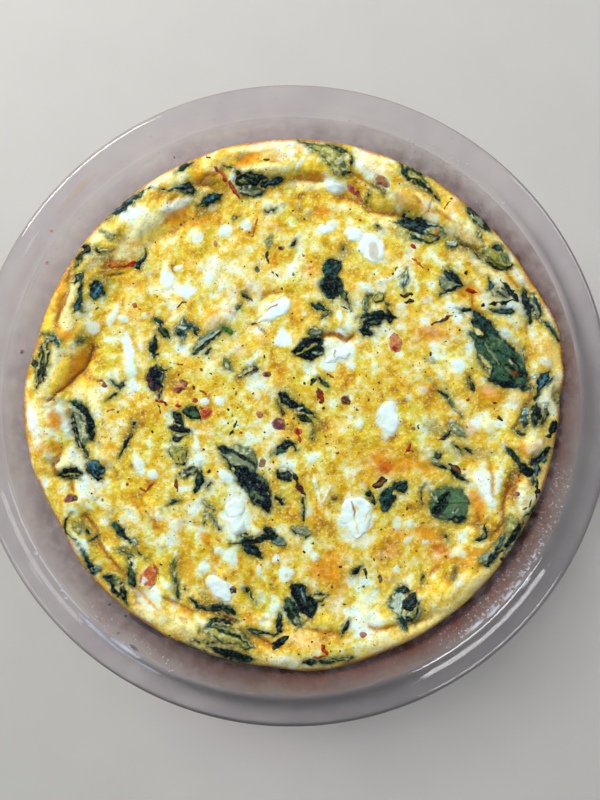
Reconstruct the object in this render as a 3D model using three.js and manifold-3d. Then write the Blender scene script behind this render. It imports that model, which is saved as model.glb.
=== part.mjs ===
// A crustless quiche with spinach, cheese and tomato, baked in a round clear glass pie dish.
// Millimetres, +Z up. The origin is under the middle of the dish, on the surface it stands on.
// Seen from above, +X is to the right and +Y is away from the viewer.
import * as THREE from "three";
import { mergeVertices } from "three/addons/utils/BufferGeometryUtils.js";
import Module from "manifold-3d";

const wasm = await Module();
wasm.setup();

// Driving dimensions of the glass dish
const DISH_RADIUS = 120;
const DISH_HEIGHT = 38;
const OPENING_RADIUS = 110.9;
const GLASS = 4.5;
const WALL_LEAN = 31;
const LIP_ROLL = 2.6;
const FLANGE_RISE = 0.8;
const FLANGE_EDGE = 4;
const BASE_FILLET = 13;
const FOOT_INNER_RADIUS = 72;
const FOOT_RECESS = 0.8;
const DISH_SIDES = 60;

// Driving dimensions of the quiche
const EDGE_RADIUS = 101;
const EDGE_HEIGHT = 27.5;
const CREST_RADIUS = 93;
const CREST_HEIGHT = 31;
const TROUGH_RADIUS = 79;
const TROUGH_HEIGHT = 27.6;
const MIDDLE_HEIGHT = 28;
const SIDE_GAP = 0.5;
const GAP = 0.3;
const MIDDLE_RADIUS = 72;
const MIDDLE_RINGS = 8;
const RIM_RINGS = [78, 83, 87.5, 92, 96, 99.3, EDGE_RADIUS];
const RIM_SIDES = 72;

// The uneven outline of the quiche: directions in degrees, and the edge's radius there.
// It has pulled away from the glass nearly all round and still touches it near 15 degrees.
const EDGE_TURNS = [
  [-180, 102.3],
  [-169, 101.5],
  [-152, 99.3],
  [-143, 100.4],
  [-120, 99.8],
  [-96, 99.9],
  [-85, 101.7],
  [-65, 100.3],
  [-30, 100.3],
  [-10, 101.4],
  [0, 102.5],
  [7, 104.4],
  [15, 105.3],
  [30, 103.2],
  [47, 102.2],
  [92, 101.9],
  [130, 101],
  [150, 100.3],
  [165, 100.3],
  [176, 102.2],
  [180, 102.3],
];

// How toppings sit in the egg
const LEAF_THICKNESS = 1.1;
const LEAF_PROUD = 0.6;
const LEAF_WAVE = 0.35;
const LEAF_STEP = 5.5;
const WIDE_LEAF = 6;
const TIP_HALF_WIDTH = 0.3;
const FUSED_DEPTH = 1.2;
const FUSED_PROUD = 0.5;
const FUSED_STEP = 7;
const POCKET_TOP = 8;
const POCKET_MARGIN = 0.6;

// Puffed lobes of the egg: x, y, half length, half width, turn in degrees, height
const LOBES = [
  [-92, 44, 9, 4, 65, 0.6],
  [-84, 52, 5, 3, 60, 0.5],
  [-80, 62, 8, 5, 55, 0.8],
  [-63, 70, 12, 5, 40, 0.9],
  [-42, 87, 12, 4, 20, 0.8],
  [-29, 94, 7, 4, 15, 0.9],
  [-10, 90, 9, 3, 5, 1.1],
  [-5, 98, 12, 4, 2, 0.5],
  [12, 92, 8, 5, -30, 0.9],
  [30, 90, 9, 4, -15, 0.8],
  [38, 80, 10, 4, -15, 1.0],
  [52, 77, 6, 4, -40, 0.9],
  [62, 73, 8, 5, -45, 0.8],
  [70, 65, 7, 4, -45, 0.6],
  [79, 55, 7, 4, -50, 0.9],
  [84, 42, 8, 5, -60, 0.8],
  [97, 22, 8, 5, 90, 0.7],
  [98, 4, 9, 4, 90, 0.5],
  [91, -15, 6, 5, 90, 1.3],
  [95, -32, 8, 3, 80, 0.5],
  [75, -30, 11, 7, 80, 1.4],
  [88, -40, 9, 4, 60, 0.7],
  [66, -68, 16, 5, 45, 0.8],
  [40, -88, 16, 5, 22, 0.9],
  [14, -83, 8, 5, 10, 0.9],
  [2, -95, 12, 4, 0, 0.8],
  [-25, -88, 11, 4, -15, 0.8],
  [-50, -83, 14, 5, -35, 0.9],
  [-66, -66, 8, 4, -50, 0.7],
  [-80, -50, 10, 4, -60, 0.9],
  [-84, -38, 7, 5, -70, 0.8],
  [-95, -12, 14, 6, 85, 1.0],
  [-88, 8, 10, 6, 70, 0.8],
  [7, 24, 7, 6, 45, 1.2],
  [18, 32, 10, 6, 0, 0.8],
  [-28, 32, 6, 4, 30, 0.9],
  [-6, 36, 7, 4, 40, 0.5],
  [32, 36, 10, 6, 0, 0.7],
  [80, 20, 14, 9, -50, 0.9],
  [60, -38, 9, 8, 0, 0.8],
  [-18, -28, 14, 5, -50, 0.6],
  [4, -76, 8, 7, 80, 0.9],
  [43, -77, 8, 6, 80, 0.8],
];

// Hollows of the egg: x, y, half length, half width, turn in degrees, depth
const HOLLOWS = [
  [-48, 68, 12, 4, 40, 1.1],
  [-18, 92, 7, 3, 10, 1.4],
  [8, 86, 6, 2.5, 0, 1.0],
  [-31, 84, 7, 2.5, -10, 1.1],
  [-81, 13, 12, 5, 60, 1.6],
  [-66, 58, 7, 3, 50, 0.8],
  [-41, -63, 8, 3, 85, 1.1],
  [84, 46, 6, 3, -45, 1.0],
  [89, 0, 9, 3, 90, 1.1],
  [83, -33, 7, 3, 80, 1.4],
  [-74, -46, 8, 3, -55, 0.9],
  [-20, -86, 12, 2.5, -25, 1.0],
  [48, -82, 9, 2.5, 20, 0.9],
  [62, -62, 7, 4, 45, 0.9],
  [40, 72, 10, 2.5, -15, 0.9],
];

// Folds, the creases where the puffed rim meets the middle: depth, then x and y of each bend
const FOLD_HALF_WIDTH = 2.6;
const FOLDS = [
  [1.3, -82.5, 52, -85.5, 44, -88.5, 32],
  [1.5, -76.5, 23, -77.5, 18, -80.5, 13, -84, 9],
  [0.9, -38, 84.5, -30, 84.5, -24, 81.5],
  [0.7, 3, 86.3, 12, 85.2],
  [0.9, 20.5, 81, 28, 76.5, 31, 74, 40, 73.6, 46, 70.6],
  [1.0, 45, 86, 54, 80.5, 57, 77],
  [1.1, 62, 64, 70, 58.7, 77, 52.6],
  [0.8, 69, 44, 69.5, 38, 73, 34],
  [1.1, 88.5, 45, 90, 30, 90.5, 18, 92, 7, 90, 0, 87, -7],
  [0.9, 86, -9, 86.5, -16, 89.5, -21, 95, -19],
  [1.2, 86, -26, 82, -33, 81, -44, 76, -53],
  [0.9, 30, -83.5, 34, -85.5, 40, -84, 47, -82.5, 54, -79],
  [1.0, -46, -75, -30, -79, -20, -84, -12, -88.5, -5, -92.5],
  [0.7, 1, -90, 4, -87, 12, -86.5, 20, -86.5],
  [1.3, -78, -42, -72.5, -54, -68, -60, -60, -68, -53, -75],
  [1.2, -88, -18, -90.5, -22, -89.5, -26, -84, -28, -83, -33],
  [0.9, 11, 24, 13, 26.8, 16, 27.7, 19, 26, 21, 25, 24, 26.5],
];

// Blades of the leaves: x and y of one tip, x and y of the other, bend to the left, width,
// share of the length where it is widest, and bluntness, from 1 for a lens down to 0.3 for a square end
const LEAVES = {
  leaf_northwest_edge: [[-70.5, 70, -55.5, 82, 0, 3.4, 0.55, 0.7]],
  leaf_northwest_band: [[-54.5, 82.3, -36, 82, 0, 4.6, 0.85, 0.8]],
  leaf_west_hump: [
    [-80, 60, -72.5, 58, 0.4, 3.2, 0.4, 0.6],
    [-82.5, 52.5, -78, 59, 0.3, 3, 0.5, 0.7],
  ],
  leaf_west_edge: [
    [-92.5, 25.5, -96.5, 6.5, 0, 4.6, 0.5, 0.6],
    [-95, 27.5, -88.5, 22.5, 0, 2.6, 0.5, 0.7],
  ],
  leaf_north_teal: [[-36, 76.3, -27, 81, 0, 3.8, 0.7, 0.6]],
  leaf_north_mass: [
    [-21.5, 86, -9, 86.2, 0.3, 5.2, 0.35, 0.6],
    [-11.5, 84, -2.3, 86.3, 0, 3.4, 0.6, 0.7],
    [-20, 82, -10, 82.5, -0.3, 4, 0.4, 0.6],
  ],
  leaf_north_olive: [[6, 99, 19.8, 88, 2.4, 6.6, 0.6, 0.6]],
  leaf_northeast_edge: [[41.5, 91, 55, 79.8, 0, 4.2, 0.45, 0.6]],
  leaf_northeast_strings: [
    [40, 69.5, 59.5, 65.2, 0.3, 4.6, 0.55, 0.7],
    [44, 71.5, 51.5, 70.6, 0, 2.4, 0.6, 0.6],
  ],
  leaf_northeast_lobe: [[74, 60, 82.6, 52.3, 0.4, 5.6, 0.5, 0.5]],
  leaf_northeast_triangle: [[57, 49.5, 65, 45.3, 0, 8, 0.45, 0.5]],
  leaf_middle_black: [[15.3, 40, 16.7, 57, 0, 9.2, 0.45, 0.55]],
  leaf_dome: [[1.2, 19.4, 11.5, 29.8, -1.2, 9.6, 0.55, 0.6]],
  leaf_wide: [
    [25.3, 33.8, 40.3, 33.3, 0.6, 4.6, 0.65, 0.55],
    [27.8, 26.5, 29.3, 34.5, 0, 3.8, 0.4, 0.6],
    [36.8, 37.8, 37.8, 31.5, 0, 4.4, 0.7, 0.6],
  ],
  leaf_long_green: [
    [-37.6, 20.6, -26.2, 30, 0.2, 4.2, 0.45, 0.6],
    [-27.3, 30, -21.8, 27.6, 0.2, 2.8, 0.55, 0.6],
  ],
  leaf_west_cluster: [
    [-42, 24.3, -41, 33.3, 0, 3.8, 0.55, 0.6],
    [-43.6, 31, -34.8, 29, 0, 2.8, 0.4, 0.6],
  ],
  leaf_purple: [
    [-51, 16.8, -52, 4.8, 0, 6, 0.5, 0.5],
    [-50.5, 14.6, -46, 14.3, 0, 1.6, 0.3, 0.7],
  ],
  leaf_centre: [
    [-6, 3.8, 9.3, -3.6, 0.4, 4.8, 0.4, 0.6],
    [1, -2.3, 8, -6.2, 0, 3.6, 0.5, 0.6],
  ],
  leaf_east_green: [
    [68, 35, 88, 8.5, -1.6, 14, 0.62, 0.5],
    [67.8, 28.3, 74, 22.5, 0, 2.8, 0.5, 0.6],
  ],
  leaf_east_rim: [
    [88, 45, 90.4, 31, 0.4, 3.2, 0.45, 0.5],
    [90.7, 43, 94.4, 32, 0, 3.6, 0.5, 0.5],
  ],
  leaf_west_bow: [[-82.8, -2, -79.5, -19.5, 2.4, 7, 0.45, 0.5]],
  leaf_west_blue: [[-78.2, -21.5, -72.3, -26.2, 0, 5.6, 0.5, 0.4]],
  leaf_west_black: [[-89.5, -25.8, -79.3, -25.2, 0.3, 4.8, 0.6, 0.6]],
  leaf_cross_west: [
    [-44.5, -2.3, -41, -8, 0, 3.6, 0.5, 0.5],
    [-41, -1.3, -34, -6.3, 0.3, 3.6, 0.35, 0.6],
    [-47, -8.3, -38.5, -9.6, 0, 3, 0.4, 0.6],
  ],
  leaf_southwest_pair: [
    [-42, -25.3, -35.5, -25, 0, 4, 0.5, 0.5],
    [-34.6, -23.8, -37.2, -33.2, 0.9, 3.8, 0.5, 0.55],
  ],
  leaf_long_black: [[-28.5, -14.8, -7.5, -40.2, 2.4, 9.6, 0.55, 0.75]],
  leaf_south_mass: [
    [-23.5, -52.8, -4.8, -49.4, -0.4, 4.4, 0.55, 0.6],
    [-18.5, -50.8, -11.4, -57.8, 0, 4.8, 0.5, 0.55],
    [-9.6, -46.4, -5.4, -50.4, 0, 3, 0.5, 0.6],
  ],
  leaf_southeast_dark: [
    [37.5, -29.5, 35.5, -40.2, 0.3, 4.8, 0.55, 0.5],
    [37, -32.5, 44.2, -29.8, 0, 5, 0.6, 0.5],
  ],
  leaf_square: [[51.5, -37, 67.6, -38, 0, 14, 0.5, 0.3]],
  leaf_cross_east: [
    [82, -14.8, 90, -24.2, 0, 3, 0.55, 0.5],
    [98.7, -15.2, 89, -23.8, 0.3, 3.4, 0.4, 0.5],
    [88.5, -22, 91.8, -29.6, 0, 3.6, 0.4, 0.55],
  ],
  leaf_southeast_rim: [[91.5, -39.5, 73, -60.3, 0.5, 5, 0.55, 0.7]],
  leaf_southwest_strip: [[-80.5, -52.5, -74.5, -64, 0, 3.4, 0.7, 0.6]],
  leaf_southwest_triangle: [
    [-72, -66, -64.5, -64.3, 0, 2.6, 0.6, 0.6],
    [-68.6, -65, -63.6, -75.5, 0, 5.4, 0.5, 0.6],
  ],
  leaf_south_band: [[-40.5, -69.5, -20, -82.6, -3, 3.4, 0.75, 0.9]],
  leaf_south_lobe: [
    [-34.2, -84.8, -14.4, -91.8, 1.6, 6, 0.5, 0.6],
  ],
  leaf_south_rim: [[-31, -91.3, -14.6, -96.3, -0.4, 4.6, 0.6, 0.55]],
  leaf_south_corner: [
    [-4.3, -78.3, -5.5, -87, 0, 2.7, 0.5, 0.4],
    [-17, -85, -4.6, -86.6, -0.2, 2.3, 0.4, 0.5],
  ],
  leaf_south_big: [
    [0.4, -67.5, 2, -84.6, 2.6, 11, 0.5, 0.5],
    [8.5, -72.3, 14, -72.8, 0, 3, 0.35, 0.7],
  ],
  leaf_southeast_round: [
    [42.3, -69.3, 42.8, -85.2, -0.8, 7.2, 0.5, 0.5],
    [47.6, -72, 42, -79.5, 0, 3.2, 0.5, 0.5],
  ],
};

// Lumps of cheese: x, y, half length, half width, turn in degrees, half height
const CHEESE = {
  cheese_northeast: [
    [24, 65.6, 4, 3, -25, 2.2],
    [30.8, 60.4, 5.4, 6.6, 25, 2.4],
  ],
  cheese_heart: [
    [12.5, 67.3, 3.2, 2.4, 0, 2],
    [15.4, 69, 2.2, 2.8, 0, 2],
  ],
  cheese_north: [[16.5, 83, 3.8, 2.8, 0, 2]],
  cheese_wedge: [
    [-10.3, 33.2, 4.2, 2.6, 40, 2.2],
    [-4.6, 37.2, 4.8, 3.8, 40, 2.4],
  ],
  cheese_northwest: [[-47.2, 49, 3, 5, 0, 2]],
  cheese_middle: [
    [19.6, 21, 3.4, 2.6, 0, 2.2],
    [16.4, 17.6, 2.2, 2.2, 45, 2],
  ],
  cheese_east: [[37.2, -4.8, 3.6, 6.8, -5, 2.2]],
  cheese_southeast: [
    [25.2, -41, 5.6, 5.8, 0, 2.2],
    [25.6, -46.8, 3.4, 4.2, 0, 2.2],
  ],
  cheese_south: [
    [-21.6, -39, 4.5, 4.2, 0, 2.4],
    [-20.8, -45.2, 3.4, 4, 0, 2.2],
  ],
  cheese_southwest: [
    [-28.8, -68.2, 4.4, 3, 60, 2.2],
    [-25, -72.6, 3.8, 3, -50, 2.2],
  ],
};

// Pieces of tomato and ham: the same measures as the cheese
const TOMATO = {
  ham_north: [[34.2, 85, 4, 2.2, -38, 1.6]],
  ham_east: [[40, 24, 2.7, 4, 5, 1.4]],
  ham_middle: [[-4.5, -7, 3.3, 2.5, -35, 1.6]],
  ham_west: [[-83.5, -35, 3, 2.1, 0, 1.4]],
  tomato_west: [[-42.3, 7, 3.2, 2.2, 50, 1.6]],
  tomato_middle: [[-33, -2.8, 3.2, 2.8, 35, 1.6]],
  tomato_southwest: [[-54, -64.5, 3.4, 5, 10, 1.8]],
};

// The strip of tomato skin that stands by the north rim, as a blade
const TOMATO_STRIP = { tomato_strip: [[-29.5, 91.2, -20, 79.3, 0.8, 1.9, 0.5, 0.4]] };

// Small leaves and strips that are one with the egg, as blades
const FUSED_BLADES = [
  [-80.3, 36, -79, 51, 0.5, 1.7, 0.5, 0.5],
  [-76, 40.5, -71.5, 48, 0.3, 6, 0.55, 0.5],
  [-59, 51.8, -55.5, 59.8, -0.8, 2, 0.3, 0.7],
  [-43.5, 89, -37.5, 92, 0, 2.6, 0.5, 0.7],
  [67.2, 74.2, 74.2, 66.6, 0.2, 4, 0.5, 0.55],
  [69.5, 59, 81.6, 51, -1.2, 1.6, 0.55, 0.6],
  [59.5, 61, 64, 62.5, 0, 3.4, 0.5, 0.5],
  [43.5, 52.5, 43.5, 44.5, 0, 2.6, 0.5, 0.6],
  [8, 39.2, 14.5, 35.5, 0, 2.6, 0.35, 0.6],
  [-53.6, 33, -46.4, 26.3, 0.8, 2.8, 0.75, 0.6],
  [-52.3, 26.8, -52.3, 18.3, 0, 3.2, 0.55, 0.6],
  [-26, 18.5, -23.5, 12.5, 0, 3, 0.4, 0.6],
  [-21, 11, -12.5, 15.5, 0, 2.3, 0.6, 0.6],
  [78.5, 47.5, 86.5, 39.5, 0, 2.5, 0.6, 0.6],
  [76, 38.8, 84, 36.8, 0, 3.2, 0.6, 0.5],
  [95.6, 30, 99.4, 24.4, 0, 1.8, 0.5, 0.6],
  [93.4, 5.5, 97.6, 14, 0.2, 3.6, 0.55, 0.55],
  [-60, -7, -69, -22.5, 0.6, 1.5, 0.5, 0.5],
  [-83.6, -41, -82, -50.5, -3.2, 1.4, 0.5, 0.35],
  [-68.5, -43.3, -59, -52, 0, 3.2, 0.45, 0.6],
  [-46.3, -15.2, -42, -22.6, 0.6, 5.6, 0.5, 0.5],
  [-6.2, -26, 0, -26.2, -0.3, 4.6, 0.5, 0.4],
  [-7.6, -18.2, 2, -14.2, 0.3, 3.6, 0.6, 0.6],
  [-1, -25.5, 5.2, -34.2, 0.4, 2.6, 0.6, 0.6],
  [54.3, -22.3, 67, -28.9, 0.9, 2.4, 0.6, 0.55],
  [73.4, -45.3, 70, -51, 1.4, 2, 0.5, 0.4],
  [94.6, 1.4, 93.3, -9.2, 0, 4.4, 0.5, 0.5],
  [99.6, -3.5, 98, -10.5, 0, 2.6, 0.5, 0.5],
  [-62.3, -57, -59.8, -69.6, 0, 3.2, 0.6, 0.6],
  [-44.8, -58.3, -42.4, -73, -0.9, 1.4, 0.6, 0.4],
  [-7, -91.6, 1, -87.6, 0.4, 3.6, 0.5, 0.5],
  [22, -82, 19, -87.3, 0, 1.6, 0.5, 0.5],
  [4, -97.6, 16, -96.8, 0.2, 2.4, 0.35, 0.6],
  [57, 5.8, 66, -3.3, -0.3, 1.7, 0.3, 0.5],
  [10.3, 7, 12.8, 0, 0, 1.9, 0.6, 0.5],
  [54, 31, 61.5, 34.6, 0, 1.6, 0.7, 0.5],
  [20.5, 84, 26, 80, 0, 2.2, 0.5, 0.5],
];

// Small crumbs of cheese, tomato and ham that are one with the egg: x, y, half length, half width, turn, half height
const FUSED_CRUMBS = [
  [-41, 43.8, 3.6, 2.4, -10, 1.4],
  [63.5, 14.5, 2.3, 3.4, 0, 1.4],
  [-24, -26.7, 3.2, 2.2, -20, 1.3],
  [-61.6, 18.5, 1.8, 7, -6, 1.3],
  [-24.5, -57.5, 4.2, 2.2, -30, 1.3],
  [-9.3, 12.2, 2.5, 1.6, 0, 1.2],
  [-37, 6.5, 1.4, 1.4, 0, 1.1],
  [-36.5, 2, 1.8, 1.7, 0, 1.2],
  [20.8, 2.8, 2.3, 1.8, -20, 1.2],
  [2.5, -10, 1.8, 1.7, 0, 1.1],
  [-11, -22, 1.4, 2.4, -10, 1],
  [-29.5, 62.5, 1.4, 2, 0, 1],
  [68.6, 43.8, 2.7, 1, -5, 1],
  [11.2, -93.8, 2.2, 1.8, 0, 1],
  [27, -87, 1.5, 1.3, 0, 1],
  [85.2, -33.6, 1.4, 1.4, 0, 1],
  [24.8, -63.2, 2.2, 1, 45, 0.9],
  [33.8, -66, 1.2, 2.4, 0, 0.9],
  [-31, -25, 1.3, 1.3, 0, 0.9],
  [-3.6, 60.4, 2, 1.4, 0, 0.9],
  [-13.5, 52, 1.8, 1.6, 0, 0.9],
  [-22.3, -70.6, 1.8, 1.5, 0, 0.9],
  [80.5, -57.6, 1.2, 1.1, 0, 0.8],
  [47, -8.5, 1.9, 1.7, 0, 0.8],
];

const degrees = (angle) => (angle * Math.PI) / 180;
const clamp = (value, low, high) => Math.min(high, Math.max(low, value));

// Points along an arc of the dish's profile, the angle measured from straight out
function arc(radius, height, size, from, to, steps) {
  const points = [];
  for (let i = 0; i <= steps; i++) {
    const a = degrees(from + ((to - from) * i) / steps);
    points.push(new THREE.Vector2(radius + size * Math.cos(a), height + size * Math.sin(a)));
  }
  return points;
}

// Measures of the dish that follow from its driving dimensions
const LEAN = degrees(WALL_LEAN);
const FLANGE_INNER_HEIGHT = DISH_HEIGHT - FLANGE_RISE;
const LIP_CENTRE_HEIGHT = FLANGE_INNER_HEIGHT - LIP_ROLL;
const WALL_TOP_RADIUS = OPENING_RADIUS - LIP_ROLL * Math.cos(LEAN);
const WALL_TOP_HEIGHT = LIP_CENTRE_HEIGHT + LIP_ROLL * Math.sin(LEAN);
const BASE_ARC_CENTRE_HEIGHT = GLASS + BASE_FILLET;
const BASE_ARC_CENTRE_RADIUS =
  wallRadius(GLASS) - BASE_FILLET * Math.tan((Math.PI / 2 - LEAN) / 2);

// The inner wall's radius at a height, on its straight stretch
function wallRadius(height) {
  return WALL_TOP_RADIUS - (WALL_TOP_HEIGHT - height) * Math.tan(LEAN);
}

// The inner wall's radius at a height, the rounded foot of the wall included
function cavityRadius(height) {
  const drop = BASE_ARC_CENTRE_HEIGHT - height;
  if (drop <= BASE_FILLET * Math.sin(LEAN)) return wallRadius(height);
  return BASE_ARC_CENTRE_RADIUS + Math.sqrt(Math.max(0, BASE_FILLET ** 2 - drop ** 2));
}

function dish() {
  const half = FLANGE_EDGE / 2;
  const underFlange = DISH_HEIGHT - FLANGE_EDGE;
  const underWall = wallRadius(underFlange) + GLASS / Math.cos(LEAN);
  const profile = [
    new THREE.Vector2(0, FOOT_RECESS),
    new THREE.Vector2(FOOT_INNER_RADIUS - 2 * FOOT_RECESS, FOOT_RECESS),
    new THREE.Vector2(FOOT_INNER_RADIUS, 0),
    ...arc(BASE_ARC_CENTRE_RADIUS, BASE_ARC_CENTRE_HEIGHT, BASE_FILLET + GLASS, -90, -WALL_LEAN, 3),
    new THREE.Vector2(underWall - half * Math.tan(LEAN), underFlange - half),
    new THREE.Vector2(underWall + half, underFlange),
    ...arc(DISH_RADIUS - half, DISH_HEIGHT - half, half, -90, 90, 4),
    ...arc(OPENING_RADIUS, LIP_CENTRE_HEIGHT, LIP_ROLL, 90, 180 - WALL_LEAN, 2),
    ...arc(BASE_ARC_CENTRE_RADIUS, BASE_ARC_CENTRE_HEIGHT, BASE_FILLET, -WALL_LEAN, -90, 3),
    new THREE.Vector2(0, GLASS),
  ];
  const geometry = new THREE.LatheGeometry(profile, DISH_SIDES);
  geometry.rotateX(Math.PI / 2);
  return solid(geometry);
}

// A smooth step from 0 to 1
function ease(value) {
  const t = clamp(value, 0, 1);
  return t * t * (3 - 2 * t);
}

// The radius of the quiche's upper edge in a direction
function edgeRadius(angle) {
  const turn = clamp(THREE.MathUtils.radToDeg(angle), -180, 180);
  const next = Math.max(1, EDGE_TURNS.findIndex((row) => row[0] >= turn));
  const [from, low] = EDGE_TURNS[next - 1];
  const [to, high] = EDGE_TURNS[next];
  return low + (high - low) * ease((turn - from) / (to - from));
}

// The height of the edge in a direction: where the quiche touches the wall it has climbed it
function edgeHeight(angle) {
  const clear = edgeRadius(angle) + SIDE_GAP / Math.cos(LEAN);
  return Math.max(EDGE_HEIGHT, WALL_TOP_HEIGHT - (WALL_TOP_RADIUS - clear) / Math.tan(LEAN));
}

// The rounded section of the quiche's top, from the sunken middle over the puffed rim to the edge
function section(share, edge) {
  const radius = share * EDGE_RADIUS;
  if (radius < TROUGH_RADIUS) {
    return MIDDLE_HEIGHT + (TROUGH_HEIGHT - MIDDLE_HEIGHT) * ease(radius / TROUGH_RADIUS);
  }
  if (radius < CREST_RADIUS) {
    const rise = ease((radius - TROUGH_RADIUS) / (CREST_RADIUS - TROUGH_RADIUS));
    return TROUGH_HEIGHT + (CREST_HEIGHT - TROUGH_HEIGHT) * rise;
  }
  const fall = clamp((radius - CREST_RADIUS) / (EDGE_RADIUS - CREST_RADIUS), 0, 1);
  return edge + (CREST_HEIGHT - edge) * Math.sqrt(1 - fall * fall);
}

// A soft round bump of height 1 at a point, from one row of lobes or hollows
function bump(x, y, [cx, cy, long, wide, turn]) {
  const a = degrees(turn);
  const u = ((x - cx) * Math.cos(a) + (y - cy) * Math.sin(a)) / long;
  const v = ((y - cy) * Math.cos(a) - (x - cx) * Math.sin(a)) / wide;
  return Math.exp(-(u * u + v * v));
}

// How far a point lies from the bends of a fold
function foldDistance(x, y, bends) {
  let nearest = Infinity;
  for (let i = 0; i + 3 < bends.length; i += 2) {
    const dx = bends[i + 2] - bends[i];
    const dy = bends[i + 3] - bends[i + 1];
    const along = (x - bends[i]) * dx + (y - bends[i + 1]) * dy;
    const t = clamp(along / (dx * dx + dy * dy), 0, 1);
    nearest = Math.min(nearest, Math.hypot(x - bends[i] - t * dx, y - bends[i + 1] - t * dy));
  }
  return nearest;
}

// The height of the egg's top at a point
function surface(x, y) {
  const angle = Math.atan2(y, x);
  let z = section(Math.hypot(x, y) / edgeRadius(angle), edgeHeight(angle));
  for (const row of LOBES) z += row[5] * bump(x, y, row);
  for (const row of HOLLOWS) z -= row[5] * bump(x, y, row);
  for (const [depth, ...bends] of FOLDS) {
    z -= depth * Math.exp(-((foldDistance(x, y, bends) / FOLD_HALF_WIDTH) ** 2));
  }
  return z;
}

// A closed solid of manifold-3d from a geometry, its shared vertices merged
function solid(geometry) {
  const bare = geometry.clone();
  bare.deleteAttribute("normal");
  bare.deleteAttribute("uv");
  const merged = mergeVertices(bare, 1e-4);
  const vertProperties = merged.getAttribute("position").array;
  const triVerts = new Uint32Array(merged.index.array);
  const made = new wasm.Manifold(new wasm.Mesh({ numProp: 3, vertProperties, triVerts }));
  if (made.volume() > 0) return made;
  for (let i = 0; i < triVerts.length; i += 3) {
    [triVerts[i + 1], triVerts[i + 2]] = [triVerts[i + 2], triVerts[i + 1]];
  }
  return new wasm.Manifold(new wasm.Mesh({ numProp: 3, vertProperties, triVerts }));
}

// A geometry from plain lists of points and triangles
function meshOf(points, triangles) {
  const geometry = new THREE.BufferGeometry();
  geometry.setAttribute("position", new THREE.Float32BufferAttribute(points.flat(), 3));
  geometry.setIndex(triangles.flat());
  return geometry;
}

// The largest body of a solid, without the loose scraps that a cut can leave
function largest(made) {
  return made.decompose().sort((a, b) => b.volume() - a.volume())[0];
}

// The triangles between a ring and the next one out, whose numbers of points may differ
function bandTriangles(inner, innerCount, outer, outerCount) {
  const triangles = [];
  let i = 0;
  let j = 0;
  while (i < innerCount || j < outerCount) {
    const from = inner + (i % innerCount);
    const to = outer + (j % outerCount);
    if (j < outerCount && (i >= innerCount || (j + 0.5) / outerCount < (i + 0.5) / innerCount)) {
      j++;
      triangles.push([from, to, outer + (j % outerCount)]);
    } else {
      i++;
      triangles.push([from, to, inner + (i % innerCount)]);
    }
  }
  return triangles;
}

// The egg before any pocket: rings of points for the top, then rows down its side, then the flat base
function eggBody() {
  const bottom = GLASS + GAP;
  const points = [[0, 0, surface(0, 0)]];
  const rings = [{ start: 0, count: 1 }];
  const addRing = (count, place) => {
    rings.push({ start: points.length, count });
    for (let i = 0; i < count; i++) points.push(place((2 * Math.PI * i) / count));
  };
  const onTop = (radius) => (angle) => {
    const reach = (radius / EDGE_RADIUS) * edgeRadius(angle);
    const x = reach * Math.cos(angle);
    const y = reach * Math.sin(angle);
    return [x, y, surface(x, y)];
  };
  for (let ring = 1; ring <= MIDDLE_RINGS; ring++) {
    addRing(6 * ring, onTop((ring * MIDDLE_RADIUS) / MIDDLE_RINGS));
  }
  for (const radius of RIM_RINGS) addRing(RIM_SIDES, onTop(radius));
  for (const height of [EDGE_HEIGHT * 0.55, bottom + GLASS, bottom]) {
    const fit = cavityRadius(height) - SIDE_GAP / Math.cos(LEAN) - SIDE_GAP;
    const radius = height === bottom ? BASE_ARC_CENTRE_RADIUS : fit;
    addRing(RIM_SIDES, (angle) => [radius * Math.cos(angle), radius * Math.sin(angle), height]);
  }
  addRing(1, () => [0, 0, bottom]);
  const triangles = [];
  for (let ring = 1; ring < rings.length; ring++) {
    const { start, count } = rings[ring - 1];
    const next = rings[ring];
    const band = bandTriangles(start, count, next.start, next.count);
    triangles.push(...band.filter(([a, b, c]) => a !== b && b !== c && c !== a));
  }
  return solid(meshOf(points, triangles));
}

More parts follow.
